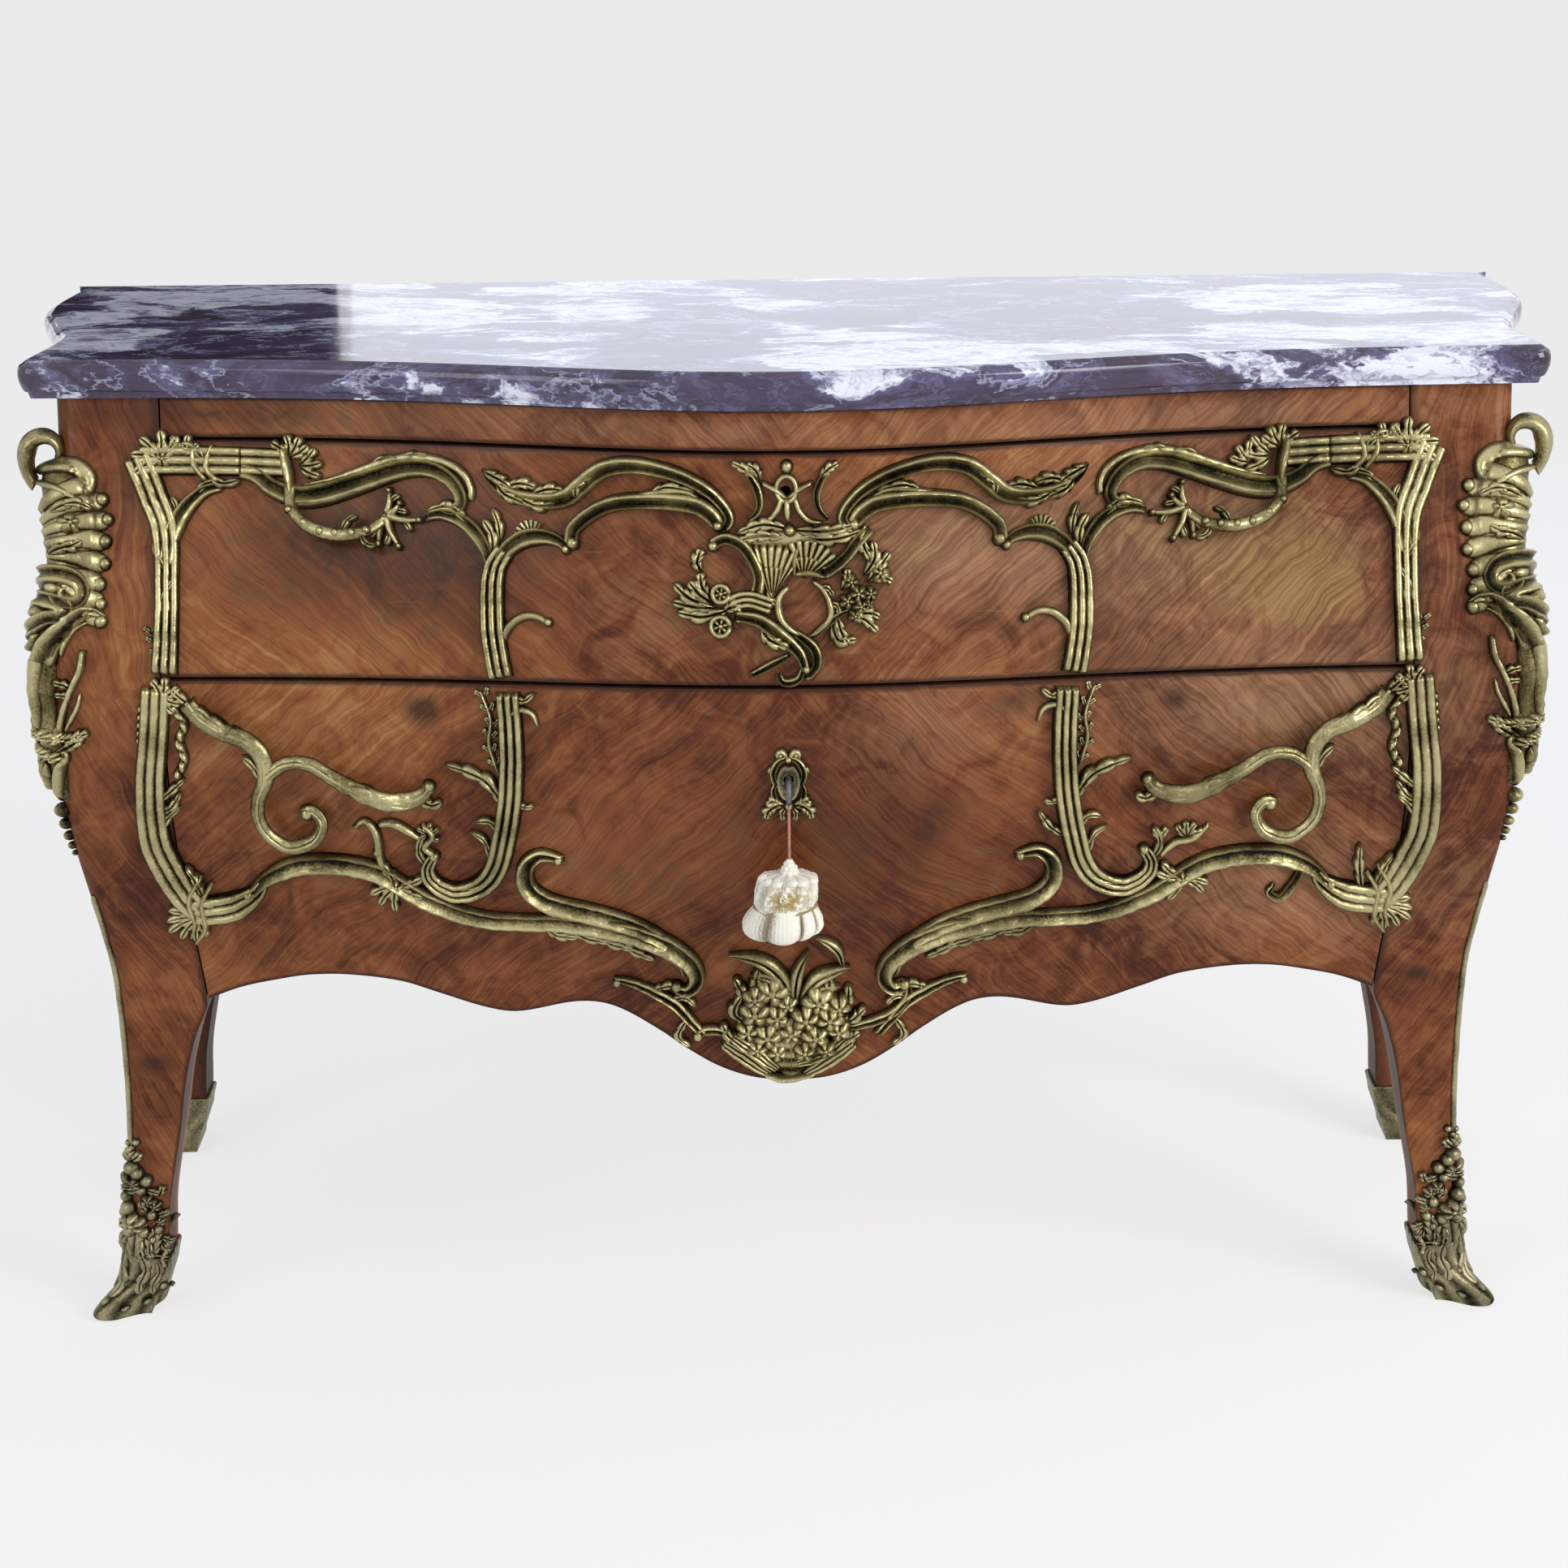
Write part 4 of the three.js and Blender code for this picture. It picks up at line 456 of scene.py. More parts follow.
def oval(middle, reach_a, reach_b, count, start=0.0):
    """The path of an oval round a point."""
    turn = np.linspace(0, 2 * math.pi, count) + start
    return np.stack([middle[0] + reach_a * np.cos(turn), middle[1] + reach_b * np.sin(turn)], -1)


# Rods and beads in space
def frames(line):
    heading = np.gradient(line, axis=0)
    heading /= np.linalg.norm(heading, axis=1, keepdims=True) + 1e-12
    u = np.cross(heading[0], [0.31, 0.2, 0.93])
    us = []
    for h in heading:
        u = u - h * np.dot(u, h)
        u = u / np.linalg.norm(u)
        us.append(u)
    us = np.array(us)
    return heading, us, np.cross(us, heading)


def rod(cast, line, radius, taper=EVEN, sides=12, lobes=0, depth=0.0, turns=0.0, wear=0.7):
    line = np.asarray(line, float)
    run = np.concatenate([[0], np.cumsum(np.linalg.norm(np.diff(line, axis=0), axis=1))])
    share = run / run[-1]
    _, u, v = frames(line)
    t = np.linspace(0, 2 * math.pi, sides + 1)[:-1]
    wave = 1 + depth * np.cos(lobes * t[None, :] + turns * 2 * math.pi * share[:, None])
    reach = radius * taper(share)[:, None] * wave
    points = (line[:, None] + u[:, None] * (reach * np.cos(t))[..., None]
              + v[:, None] * (reach * np.sin(t))[..., None])
    cast.grid(points, wear * np.clip(wave, 0, 1.2), wrap=True, cap=(0, 1))


def ball(cast, centre, radius, stretch=(1, 1, 1), bumps=0.0, wear=0.75):
    down = np.linspace(0.001, math.pi - 0.001, 12)[:, None]
    turn = np.linspace(0, 2 * math.pi, 17)[:-1][None, :]
    reach = radius * (1 + bumps * np.sin(5 * turn) * np.sin(down * 4))
    points = np.stack([reach * np.sin(down) * np.cos(turn) * stretch[0],
                       reach * np.sin(down) * np.sin(turn) * stretch[1],
                       reach * np.cos(down) * stretch[2] + 0 * turn], -1) + np.asarray(centre, float)
    cast.grid(points, wear + 0 * turn + 0 * down, wrap=True)


# Materials
def rgb(text):
    values = [int(text[i:i + 2], 16) / 255 for i in (1, 3, 5)]
    return [v / 12.92 if v <= 0.04045 else ((v + 0.055) / 1.055) ** 2.4 for v in values] + [1.0]


class Finish:
    """A small builder of node materials."""

    def __init__(self, name, **sockets):
        self.material = bpy.data.materials.new(name)
        self.material.use_nodes = True
        self.tree = self.material.node_tree
        self.shader = self.tree.nodes["Principled BSDF"]
        for key, value in sockets.items():
            self.shader.inputs[key.replace("_", " ").title().replace("Ior", "IOR")].default_value = value

    def node(self, kind, inputs=(), **settings):
        made = self.tree.nodes.new("ShaderNode" + kind)
        for key, value in settings.items():
            setattr(made, key, value)
        for key, value in dict(inputs).items():
            self.put(value, made.inputs[key])
        return made

    def put(self, value, socket):
        if isinstance(value, bpy.types.NodeSocket):
            self.tree.links.new(value, socket)
        else:
            socket.default_value = value

    def value(self, name):
        return self.node("Attribute", attribute_name=name).outputs["Fac"]

    def place(self, scale=(1, 1, 1), turn=(0, 0, 0), uv=False):
        if uv:
            source = self.node("UVMap", uv_map="grain").outputs["UV"]
        else:
            source = self.node("TexCoord").outputs["Object"]
        mapping = self.node("Mapping", {"Vector": source, "Scale": scale, "Rotation": turn})
        return mapping.outputs["Vector"]

    def noise(self, vector, scale, detail=5.0, roughness=0.55, distortion=0.0):
        made = self.node("TexNoise", {
            "Vector": vector, "Scale": scale, "Detail": detail, "Roughness": roughness,
            "Distortion": distortion})
        return made.outputs["Fac"]

    def math(self, operation, a, b=0.0, clamp=False):
        made = self.node("Math", operation=operation, use_clamp=clamp)
        self.put(a, made.inputs[0])
        self.put(b, made.inputs[1])
        return made.outputs["Value"]

    def band(self, value, low, high, to_low=0.0, to_high=1.0):
        made = self.node("MapRange", {
            "Value": value, "From Min": low, "From Max": high, "To Min": to_low, "To Max": to_high})
        return made.outputs["Result"]

    def ramp(self, value, *stops):
        made = self.node("ValToRGB", {"Fac": value})
        elements = made.color_ramp.elements
        while len(elements) < len(stops):
            elements.new(0.5)
        for element, (position, colour) in zip(elements, stops):
            element.position = position
            element.color = rgb(colour)
        return made.outputs["Color"]

    def mix(self, share, a, b, blend="MIX"):
        made = self.node("Mix", data_type="RGBA", blend_type=blend)
        for socket, value in zip((made.inputs[0], made.inputs[6], made.inputs[7]), (share, a, b)):
            self.put(rgb(value) if isinstance(value, str) else value, socket)
        return made.outputs[2]

    def bump(self, height, strength, distance, normal=None):
        inputs = {"Height": height, "Strength": strength, "Distance": distance}
        if normal:
            inputs["Normal"] = normal
        return self.node("Bump", inputs).outputs["Normal"]

    def finish(self, colour=None, roughness=None, normal=None):
        for key, value in (("Base Color", colour), ("Roughness", roughness), ("Normal", normal)):
            if value is not None:
                self.put(value, self.shader.inputs[key])
        return self.material


def veneer(name, dark, low, middle, high, light):
    """Quartered veneer under old varnish: fine streaks along the grain, pores, burl figure, stains with painted
    shade, faded patches with painted sheen.
    """
    f = Finish(name, metallic=0.0, coat_weight=0.28, coat_roughness=0.22)
    f.shader.inputs["Specular IOR Level"].default_value = 0.0
    place = f.place()
    warp = f.node("TexNoise", {"Vector": place, "Scale": 7.0, "Detail": 4.0}).outputs["Color"]
    shifted = f.node("VectorMath", {0: warp, 1: (0.06, 0.06, 0.0)}, operation="MULTIPLY").outputs[0]
    grain = f.node("VectorMath", {0: f.place(uv=True), 1: shifted}, operation="ADD").outputs[0]

    def along(scale):
        return f.node("Mapping", {"Vector": grain, "Scale": scale}).outputs["Vector"]

    streak = f.noise(along((7, 300, 1)), 1.0, 5.0, 0.62)
    broad = f.noise(along((3, 46, 1)), 1.0, 4.0, 0.6)
    pores = f.noise(along((34, 900, 1)), 1.0, 3.0, 0.6)
    figure = f.noise(place, 26.0, 7.0, 0.66, 1.4)
    cloud = f.noise(place, 4.2, 4.0, 0.55, 0.5)
    tone = f.math("ADD", f.math("MULTIPLY", streak, 0.25), f.math("MULTIPLY", figure, 0.32))
    tone = f.math("ADD", tone, f.math("MULTIPLY", broad, 0.2))
    tone = f.math("ADD", tone, f.math("MULTIPLY", cloud, 0.5))
    tone = f.math("SUBTRACT", tone, 0.135)
    colour = f.ramp(tone, (0.34, dark), (0.43, low), (0.5, middle), (0.58, high), (0.68, light))
    fleck = f.band(pores, 0.55, 0.72, 0.0, 0.55)
    colour = f.mix(fleck, colour, dark)
    gilt = f.math("ADD", f.value("gold"), f.band(figure, 0.35, 0.65, -0.28, 0.28))
    colour = f.mix(f.band(gilt, 0.2, 0.85, 0.0, 0.72), colour,
                   f.mix(f.band(streak, 0.4, 0.6), "#7d5a34", "#a5854e"))
    # Pales the veneer where the fade and sheen mask is high: real fading, and painted sheen where the lamp and
    # the marble would reflect, on the right and on the frieze.
    fading_and_sheen = f.math("ADD", f.value("fade_and_sheen"), f.band(figure, 0.35, 0.65, -0.12, 0.12))
    colour = f.mix(f.band(fading_and_sheen, 0.05, 1.0, 0.0, 0.8), colour,
                   f.mix(f.band(streak, 0.4, 0.6), "#8f6a4e", "#b89473"))
    # Darkens the veneer where the stain and shade mask is high: real stains, and painted shade under the marble
    # and in the seams.
    blot_and_shade = f.math("ADD", f.value("stain_and_shade"), f.band(figure, 0.35, 0.65, -0.25, 0.25))
    colour = f.mix(f.band(blot_and_shade, 0.15, 0.75, 0.0, 0.85), colour, "#33201a")
    scratches = f.noise(f.place((14, 14, 300), (0.0, 0.7, 0.2)), 1.0, 4.0, 0.7)
    scuffs = f.band(scratches, 0.66, 0.74, 0.0, 0.22)
    colour = f.mix(scuffs, colour, light)
    roughness = f.math("ADD", f.band(figure, 0.3, 0.7, 0.27, 0.42), f.band(scratches, 0.6, 0.75, 0.0, 0.1))
    normal = f.bump(f.math("ADD", pores, f.math("MULTIPLY", streak, 0.6)), 0.2, 0.0004)
    return f.finish(colour, roughness, normal)


def metal(name, crevice, middle, ridge, roughness, tarnish):
    """Cast and chased metal: dark in the hollows from patina and painted shade, rubbed on the ridges, tarnished
    in patches.
    """
    f = Finish(name, metallic=0.82, roughness=roughness)
    place = f.place()
    patch = f.noise(place, 24.0, 4.0, 0.6)
    fine = f.noise(place, 420.0, 4.0, 0.65)
    # Low values take the crevice colour: patina and painted shade in the hollows.
    worn_and_shaded = f.math("ADD", f.value("wear"), f.band(patch, 0.3, 0.7, -0.2, 0.2))
    worn_and_shaded = f.math("ADD", worn_and_shaded, f.band(fine, 0.3, 0.7, -0.16, 0.16))
    colour = f.ramp(worn_and_shaded, (0.04, crevice), (0.34, middle), (0.86, ridge))
    colour = f.mix(f.band(f.noise(place, 11.0, 3.0, 0.5), 0.5, 0.68, 0.0, 0.6), colour, tarnish, "MULTIPLY")
    rough = f.math("ADD", f.band(patch, 0.3, 0.7, roughness - 0.05, roughness + 0.09),
                   f.band(worn_and_shaded, 0.0, 0.4, 0.25, 0.0))
    cast = f.bump(f.noise(place, 170.0, 3.0, 0.6), 0.5, 0.0012)
    return f.finish(colour, rough, f.bump(fine, 0.25, 0.0006, cast))


def oak(name, dark, light, turn):
    f = Finish(name, metallic=0.0)
    place = f.place((3.0, 60.0, 60.0) if turn == "x" else (60.0, 3.0, 60.0))
    rings = f.noise(place, 1.0, 6.0, 0.6, 0.4)
    pores = f.noise(f.place((8.0, 420.0, 420.0) if turn == "x" else (420.0, 8.0, 420.0)), 1.0, 3.0, 0.6)
    dust = f.noise(f.place(), 6.0, 5.0, 0.6)
    colour = f.ramp(rings, (0.3, dark), (0.7, light))
    colour = f.mix(f.band(pores, 0.55, 0.72, 0.0, 0.55), colour, dark)
    colour = f.mix(f.band(dust, 0.45, 0.75, 0.0, 0.35), colour, "#5d4a35")
    return f.finish(colour, f.band(rings, 0.3, 0.7, 0.62, 0.82), f.bump(pores, 0.35, 0.0006))


def stone():
    """Violet marble, torn by white and lilac patches and thin veins, polished."""
    f = Finish("marble", metallic=0.0, roughness=0.07, coat_weight=0.0)
    f.shader.inputs["Specular IOR Level"].default_value = 0.6
    bed = f.place((0.75, 1.5, 1.5), (0.0, 0.5, 0.25))
    warp = f.node("TexNoise", {"Vector": bed, "Scale": 5.0, "Detail": 6.0, "Roughness": 0.62}).outputs["Color"]
    moved = f.node("VectorMath", {0: warp, 1: (0.2, 0.2, 0.2)}, operation="MULTIPLY").outputs[0]
    bed = f.node("VectorMath", {0: bed, 1: moved}, operation="ADD").outputs[0]
    ground = f.noise(bed, 14.0, 8.0, 0.66, 0.5)
    colour = f.ramp(ground, (0.28, "#1c1428"), (0.44, "#302340"), (0.56, "#443557"), (0.72, "#5f537f"))
    warmth = f.band(f.noise(f.place(), 2.6, 3.0, 0.5), 0.5, 0.64, 0.0, 0.55)
    colour = f.mix(warmth, colour, "#3a2820")

    def vein(scale, width, seed):
        source = f.node("VectorMath", {0: bed, 1: (seed, seed * 2.0, seed)}, operation="ADD").outputs[0]
        ridge = f.math("ABSOLUTE", f.math("SUBTRACT", f.noise(source, scale, 6.0, 0.58, 0.4), 0.5))
        return f.band(ridge, 0.0, width, 1.0, 0.0)

    patch = f.noise(bed, 4.4, 9.0, 0.66, 0.8)
    torn = f.band(f.noise(bed, 34.0, 7.0, 0.72, 1.2), 0.4, 0.52, 0.2, 1.0)
    colour = f.mix(f.math("MULTIPLY", f.band(patch, 0.475, 0.57), 0.62), colour, "#7f82b4")
    colour = f.mix(f.math("MULTIPLY", f.band(patch, 0.525, 0.555), torn), colour, "#e9edfb")
    colour = f.mix(f.math("MULTIPLY", vein(6.0, 0.012, 3.0), 0.6), colour, "#b9bfe0")
    colour = f.mix(f.math("MULTIPLY", vein(15.0, 0.014, 7.0), 0.3), colour, "#8d8cb4")
    rough = f.band(f.noise(f.place(), 14.0, 4.0), 0.3, 0.7, 0.05, 0.11)
    return f.finish(colour, rough)


def thread(name, low, high, gold):
    f = Finish(name, metallic=0.0, roughness=0.8, sheen_weight=0.3)
    place = f.place((1, 1, 0.25))
    strands = f.noise(place, 1400.0, 3.0, 0.6)
    patch = f.noise(f.place(), 240.0, 4.0, 0.6)
    colour = f.ramp(f.math("ADD", f.value("wear"), f.band(strands, 0.3, 0.7, -0.2, 0.2)), (0.05, low),
                    (0.6, high))
    colour = f.mix(f.math("MULTIPLY", f.value("gold"), f.band(patch, 0.43, 0.51), True), colour, gold)
    return f.finish(colour, 0.8, f.bump(strands, 0.5, 0.0006))


VENEER = veneer("veneer", "#311a10", "#592e1d", "#774529", "#935b37", "#b38353")
POST = veneer("veneer_dark", "#2f1810", "#55291a", "#713d20", "#8a5029", "#a36b3d")
BRONZE = metal("gilt_bronze", "#14110a", "#665c38", "#b9b084", 0.3, "#9c9785")
PATINA = metal("worn_bronze", "#12110b", "#5c553c", "#a89f7e", 0.34, "#8b897c")
STEEL = metal("dark_steel", "#111214", "#41474a", "#7b8182", 0.34, "#77726a")
STONE = stone()
SILK = thread("silk", "#8f8468", "#f8f4e9", "#a58f45")
CORD = thread("cord_silk", "#7a4a3a", "#c48c74", "#c9a65a")
OAK_X = oak("oak_x", "#7d5a36", "#b58d5c", "x")
OAK_Y = oak("oak_y", "#7d5a36", "#b08858", "y")
for node_name, node_object in frame["nodes"].items():
    slot_name = next((p["material_slot"] for p in frame["record"]["subparts"] if p["node"] == node_name), "")
    lying = any(word in node_name for word in ("side", "guide"))
    chosen = {"oak": OAK_Y if lying else OAK_X, "iron": STEEL, "bronze": BRONZE, "marble": STONE,
              "silk": SILK, "dark_veneer": POST}.get(slot_name, VENEER)
    node_object.data.materials.clear()
    node_object.data.materials.append(chosen)


# Key, tassel and cord: the bow's place, and heights from the cord's top down
BOW = float(front_at(0.0, LOWER_KEYHOLE)) - 33.0
BOW_LOW = LOWER_KEYHOLE - 13.0
BOW_REACH = 10.5
CORD_TOP = BOW_LOW - 0.3
CORD_END = CORD_TOP - 78.7
SKIRT_TOP = BOW_LOW - 46.5 - 13.5
SKIRT = 59.0


def tassel_cord():
    z = np.linspace(CORD_TOP, CORD_END, 56)
    path = np.stack([0 * z, 0 * z + BOW, z], -1)
    cast = Cast()
    rod(cast, path, 1.13, sides=18, lobes=3, depth=0.07, turns=11, wear=0.5)
    for share in (0.09, 0.95):
        k = int(share * 28)
        rod(cast, path[k:k + 3], 1.2, sides=14, wear=0.3)
    piece = make("silk_cord", cast, "lower_drawer", CORD, ("tassel_cord",))
    line = (path + [0, SHIFT, 0]) / 1000
    return piece, line


def tassel():
    """A knob of small balls, a ruffled sleeve with gold thread and a skirt of puffs that leans left."""
    cast = Cast()
    gold = []
    turn = np.linspace(0, 2 * math.pi, 193)[:-1][None, :]
    puff = np.abs(np.cos((turn + 0.3 * np.sin(turn * 2 + 1.1)) * 4 + 0.5)) ** 0.4

    def turned(low, high, out, rows, wear, thread_at, hem=0.0):
        up = np.linspace(0, 1, rows)[:, None]
        reach = out(up, turn)
        z = low + (high - low) * up + 0 * reach
        lean = 7.5 * np.clip((SKIRT_TOP - z) / SKIRT, 0, 1) ** 0.8
        points = np.stack([reach * np.cos(turn) - lean, reach * 0.72 * np.sin(turn) + BOW, z], -1)
        sag = 2.2 * np.cos(turn * 2 + 0.4) * (1 - up) ** 2
        points[..., 2] += sag - hem * (puff - 0.7) * (1 - up) ** 3
        cast.grid(points[::-1][:, ::-1], (wear(up, turn) + 0 * reach)[::-1][:, ::-1], wrap=True)
        gold.append((thread_at(up, turn) + 0 * reach)[::-1][:, ::-1].reshape(-1))

    seam = SKIRT_TOP - SKIRT * 0.5
    body = taper(0, 0.2, 0.03, 0.66, 0.1, 0.88, 0.25, 0.99, 0.45, 1.0, 0.7, 0.91, 0.9, 0.8, 1, 0.7)
    drum = taper(0, 0.84, 0.04, 0.93, 0.12, 0.98, 0.3, 1, 0.55, 0.97, 0.75, 0.93, 0.88, 0.88, 0.95, 0.72, 0.985,
                 0.4, 1, 0.15)

    def skirt(up, t):
        swell_out = np.clip(np.sin(math.pi * np.clip(up, 0.06, 1)), 0, 1)
        return 33.5 * body(up) * (1 + 0.2 * (puff - 0.75) * swell_out + 0.012 * np.sin(t * 57 + up * 5))

    def sleeve(up, t):
        ruffle = 0.03 * np.sin(t * 11 + 0.9 * np.sin(up * 5)) + 0.02 * np.sin(t * 23 - up * 6)
        return 26.6 * drum(up) * (1 + ruffle * (0.5 + up) + 0.012 * np.sin(t * 61 + up * 9))

    def threads(up, t):
        return np.clip(1.25 - np.abs(up - 0.42) / 0.42, 0, 1) * np.clip(1.3 - np.abs(np.cos(t)) * 1.25, 0, 1)

    # The skirt is painted darker between its puffs and the sleeve between its ruffles: painted shade in the
    # creases.
    turned(SKIRT_TOP - SKIRT + 2, seam + 3, skirt, 40,
           lambda up, t: -0.5 + 1.35 * puff + 0.08 * np.sin(t * 57), lambda up, t: 0.0 * t, 5.0)
    turned(seam - 2.5, SKIRT_TOP + 1, sleeve, 48,
           lambda up, t: 0.55 + 0.2 * np.sin(t * 11 + 0.9 * np.sin(up * 5)) + 0.12 * np.sin(t * 61), threads)
    # A dark thread ring in the seam that stands in for the shadow under the sleeve's hem (painted shadow),
    # scallops at the top and the knob of small balls
    t = np.linspace(0, 2 * math.pi, 97)
    height = seam - 1.0 + 2.2 * np.cos(t * 2 + 0.4)
    ring = np.stack([26.8 * np.cos(t) - 4.0, 19.5 * np.sin(t) + BOW, height], -1)
    before = cast.count
    # Painted shadow: the ring takes the lowest wear value so that it reads as the shade under the sleeve.
    rod(cast, ring, 1.1, sides=8, wear=-1.2)
    hem_shadow_points = cast.count - before
    balls = np.random.default_rng(4)
    for level, reach, count, size in ((1.2, 5.4, 8, 3.0), (4.8, 4.6, 7, 2.7), (8.2, 3.0, 6, 2.4),
                                      (10.6, 1.4, 4, 2.1)):
        for k in range(count):
            place = 2 * math.pi * (k + 0.5 * (level > 4) + 0.15 * balls.standard_normal()) / count
            ball(cast, (reach * math.cos(place), BOW + reach * math.sin(place), SKIRT_TOP + level), size,
                 wear=0.8)
    ball(cast, (0, BOW, SKIRT_TOP + 5), 4.4, wear=0.3)
    for k in range(13):
        place = 2 * math.pi * (k + 0.2 * balls.standard_normal()) / 13
        reach = 21.5 + balls.standard_normal()
        ball(cast, (reach * math.cos(place) - 1.5, BOW + 0.8 * reach * math.sin(place),
                    SKIRT_TOP - 5.0 + 0.8 * balls.standard_normal()), 4.4, (1.1, 1, 0.75), 0.16, 0.7)
    gold = np.concatenate(gold)
    values = np.zeros(cast.count)
    values[:len(gold)] = gold
    values[before:before + hem_shadow_points] = 0.7
    return make("tassel", cast, "lower_drawer", SILK, ("key_tassel",), angle=70, extra={"gold": values})


cord_piece, cord_line = tassel_cord()
tassel_piece = tassel()


# Wood
def quartered(u, v, centre_v, turn=42.0, centre_u=0.0):
    """Grain that runs towards a centre, mirrored over both axes."""
    fold_u, fold_v = np.abs(u - centre_u), np.abs(v - centre_v)
    t = math.radians(turn)
    return np.stack([fold_u * math.cos(t) + fold_v * math.sin(t),
                     fold_v * math.cos(t) - fold_u * math.sin(t)], -1) / 1000


def spots(points, places):
    total = np.zeros(len(points))
    for x, z, wide, high, strength in places:
        total += strength * np.exp(-((points[:, 0] - x) / wide) ** 2 - ((points[:, 2] - z) / high) ** 2)
    return np.clip(total, 0, 1)


# Stained, golden and faded patches of the veneer, with painted shade among the stains and painted sheen among
# the faded ones: place, half width and half height, strength
TONES = {
    "stain_and_shade": [
        (-312, 600, 17, 15, 0.9), (330, 603, 15, 12, 0.75), (186, 608, 24, 16, 0.45),
        (-400, 735, 130, 60, 0.42), (-290, 715, 90, 60, 0.5), (60, 480, 130, 90, 0.35),
        (-150, 455, 70, 60, 0.3), (560, 330, 14, 8, 0.8), (-575, 250, 18, 12, 0.7), (120, 500, 30, 26, 0.3),
        # The last stain darkens the frieze's left end: painted shade under the marble.
        (300, 640, 60, 12, 0.3), (-500, 842, 190, 16, 0.5)],
    "gold": [
        (405, 715, 70, 50, 0.95), (455, 690, 34, 26, 0.7), (112, 735, 20, 15, 0.85), (-190, 610, 40, 20, 0.25),
        (300, 745, 40, 26, 0.4), (-430, 622, 26, 14, 0.5), (20, 655, 90, 18, 0.3)],
    "fade_and_sheen": [
        (300, 725, 230, 75, 0.42), (440, 600, 150, 60, 0.62), (130, 745, 90, 50, 0.45),
        (350, 836, 300, 16, 0.4), (-60, 838, 200, 14, 0.3), (120, 590, 80, 50, 0.3),
        (440, 420, 140, 60, 0.5), (330, 250, 140, 30, 0.3), (-420, 836, 200, 12, 0.12),
        (-90, 690, 90, 60, 0.15)]}


def tones(points):
    return {name: spots(points, places) for name, places in TONES.items()}


def keyhole(height):
    turn = np.linspace(0, 2 * math.pi, 25)[:-1]
    bow_ = np.stack([4.5 * np.cos(turn), height + 4.5 * np.sin(turn)], -1)
    slot = np.array([(-2, height - 13), (2, height - 13), (2, height), (-2, height)], float)
    return [(bow_, -300.0, 200.0), (slot, -300.0, 200.0)]


def bolt_mortise(base):
    """The slot in a rail's underside that the lock's bolt goes up into."""
    outline = np.array([(-22, base - 5), (22, base - 5), (22, base + 11), (-22, base + 11)], float)
    return [(outline, -52.7, -43.7)]


def pierce(piece, prisms):
    for outline, front, back in prisms:
        cutter = Cast()
        cutter.grid(np.stack([np.stack([outline[:, 0], np.full(len(outline), y), outline[:, 1]], -1)
                              for y in (front, back)]), wrap=True, cap=(0, 1))
        points, _, _ = cutter.arrays()
        points[:, 1] += SHIFT
        mesh = bpy.data.meshes.new("cutter")
        mesh.from_pydata((points / 1000).tolist(), [], cutter.faces)
        tool = bpy.data.objects.new("cutter", mesh)
        scene.collection.objects.link(tool)
        modifier = piece.modifiers.new("cut", "BOOLEAN")
        modifier.object = tool
        modifier.operation = "DIFFERENCE"
        modifier.solver = "EXACT"
        bpy.context.view_layer.update()
        done = bpy.data.meshes.new_from_object(piece.evaluated_get(bpy.context.evaluated_depsgraph_get()))
        piece.modifiers.clear()
        piece.data = done
        bpy.data.objects.remove(tool)


def bowed_board(name, low_at, high, rows, depth, body, node, centre, holes=()):
    cast = Cast()
    sides = np.linspace(-1, 1, 181)
    low = low_at(np.abs(sides))[:, None]
    share = np.linspace(0, 1, rows)[None, :]
    rim = 0.9
    z_out = low + rim + (high - low - 2 * rim) * share
    z_in = z_out[:, ::-1]
    ends_high, ends_low = np.full((len(sides), 1), high), low

    def skin(z, back):
        x = sides[:, None] * drawer_edge(z)
        return np.stack([x, front_at(x, z) + back, z], -1)

    points = np.concatenate([skin(z_out, 0.0), skin(ends_high - 0.25, 0.25), skin(ends_high, rim),
                             skin(ends_high, depth - rim), skin(z_in, depth), skin(ends_low, depth - rim),
                             skin(ends_low, rim), skin(ends_low + 0.25, 0.25)], axis=1)
    wear = np.full(points.shape[:2], 0.5)
    cast.grid(points, wear, wrap=True, cap=(0, 1), uv=quartered(points[..., 0], points[..., 2], centre))
    flat, _, _ = cast.arrays()
    across = np.clip(np.abs(flat[:, 0]) / drawer_edge(flat[:, 2]), 0, 1)
    to_edge = np.minimum(flat[:, 2] - low_at(across), high - flat[:, 2])
    extra = tones(flat)
    # Painted shade in the seams: the board darkens within 1.6 mm of its top and bottom edges.
    extra["stain_and_shade"] = np.maximum(extra["stain_and_shade"], 0.85 * (to_edge < 1.6))
    piece = make(name, cast, body, VENEER, (node,), angle=40, extra=extra)
    pierce(piece, holes)
    return piece


bowed_board("upper_front", lambda s: 0 * s + PARTING + SEAM, UPPER_TOP, 44, FRONT_THICK, "upper_drawer",
            "upper_drawer_front", PARTING, keyhole(UPPER_KEYHOLE))
bowed_board("lower_front", lambda s: APRON_CENTRE + APRON_RISE * apron(s), PARTING - SEAM, 70, FRONT_THICK,
            "lower_drawer", "lower_drawer_front", PARTING, keyhole(LOWER_KEYHOLE))
bowed_board("frieze", lambda s: 0 * s + UPPER_TOP + 2 * SEAM, CARCASS_TOP, 10, 46.0, "carcass",
            "frieze_rail", 700.0, bolt_mortise(UPPER_TOP + 2 * SEAM))


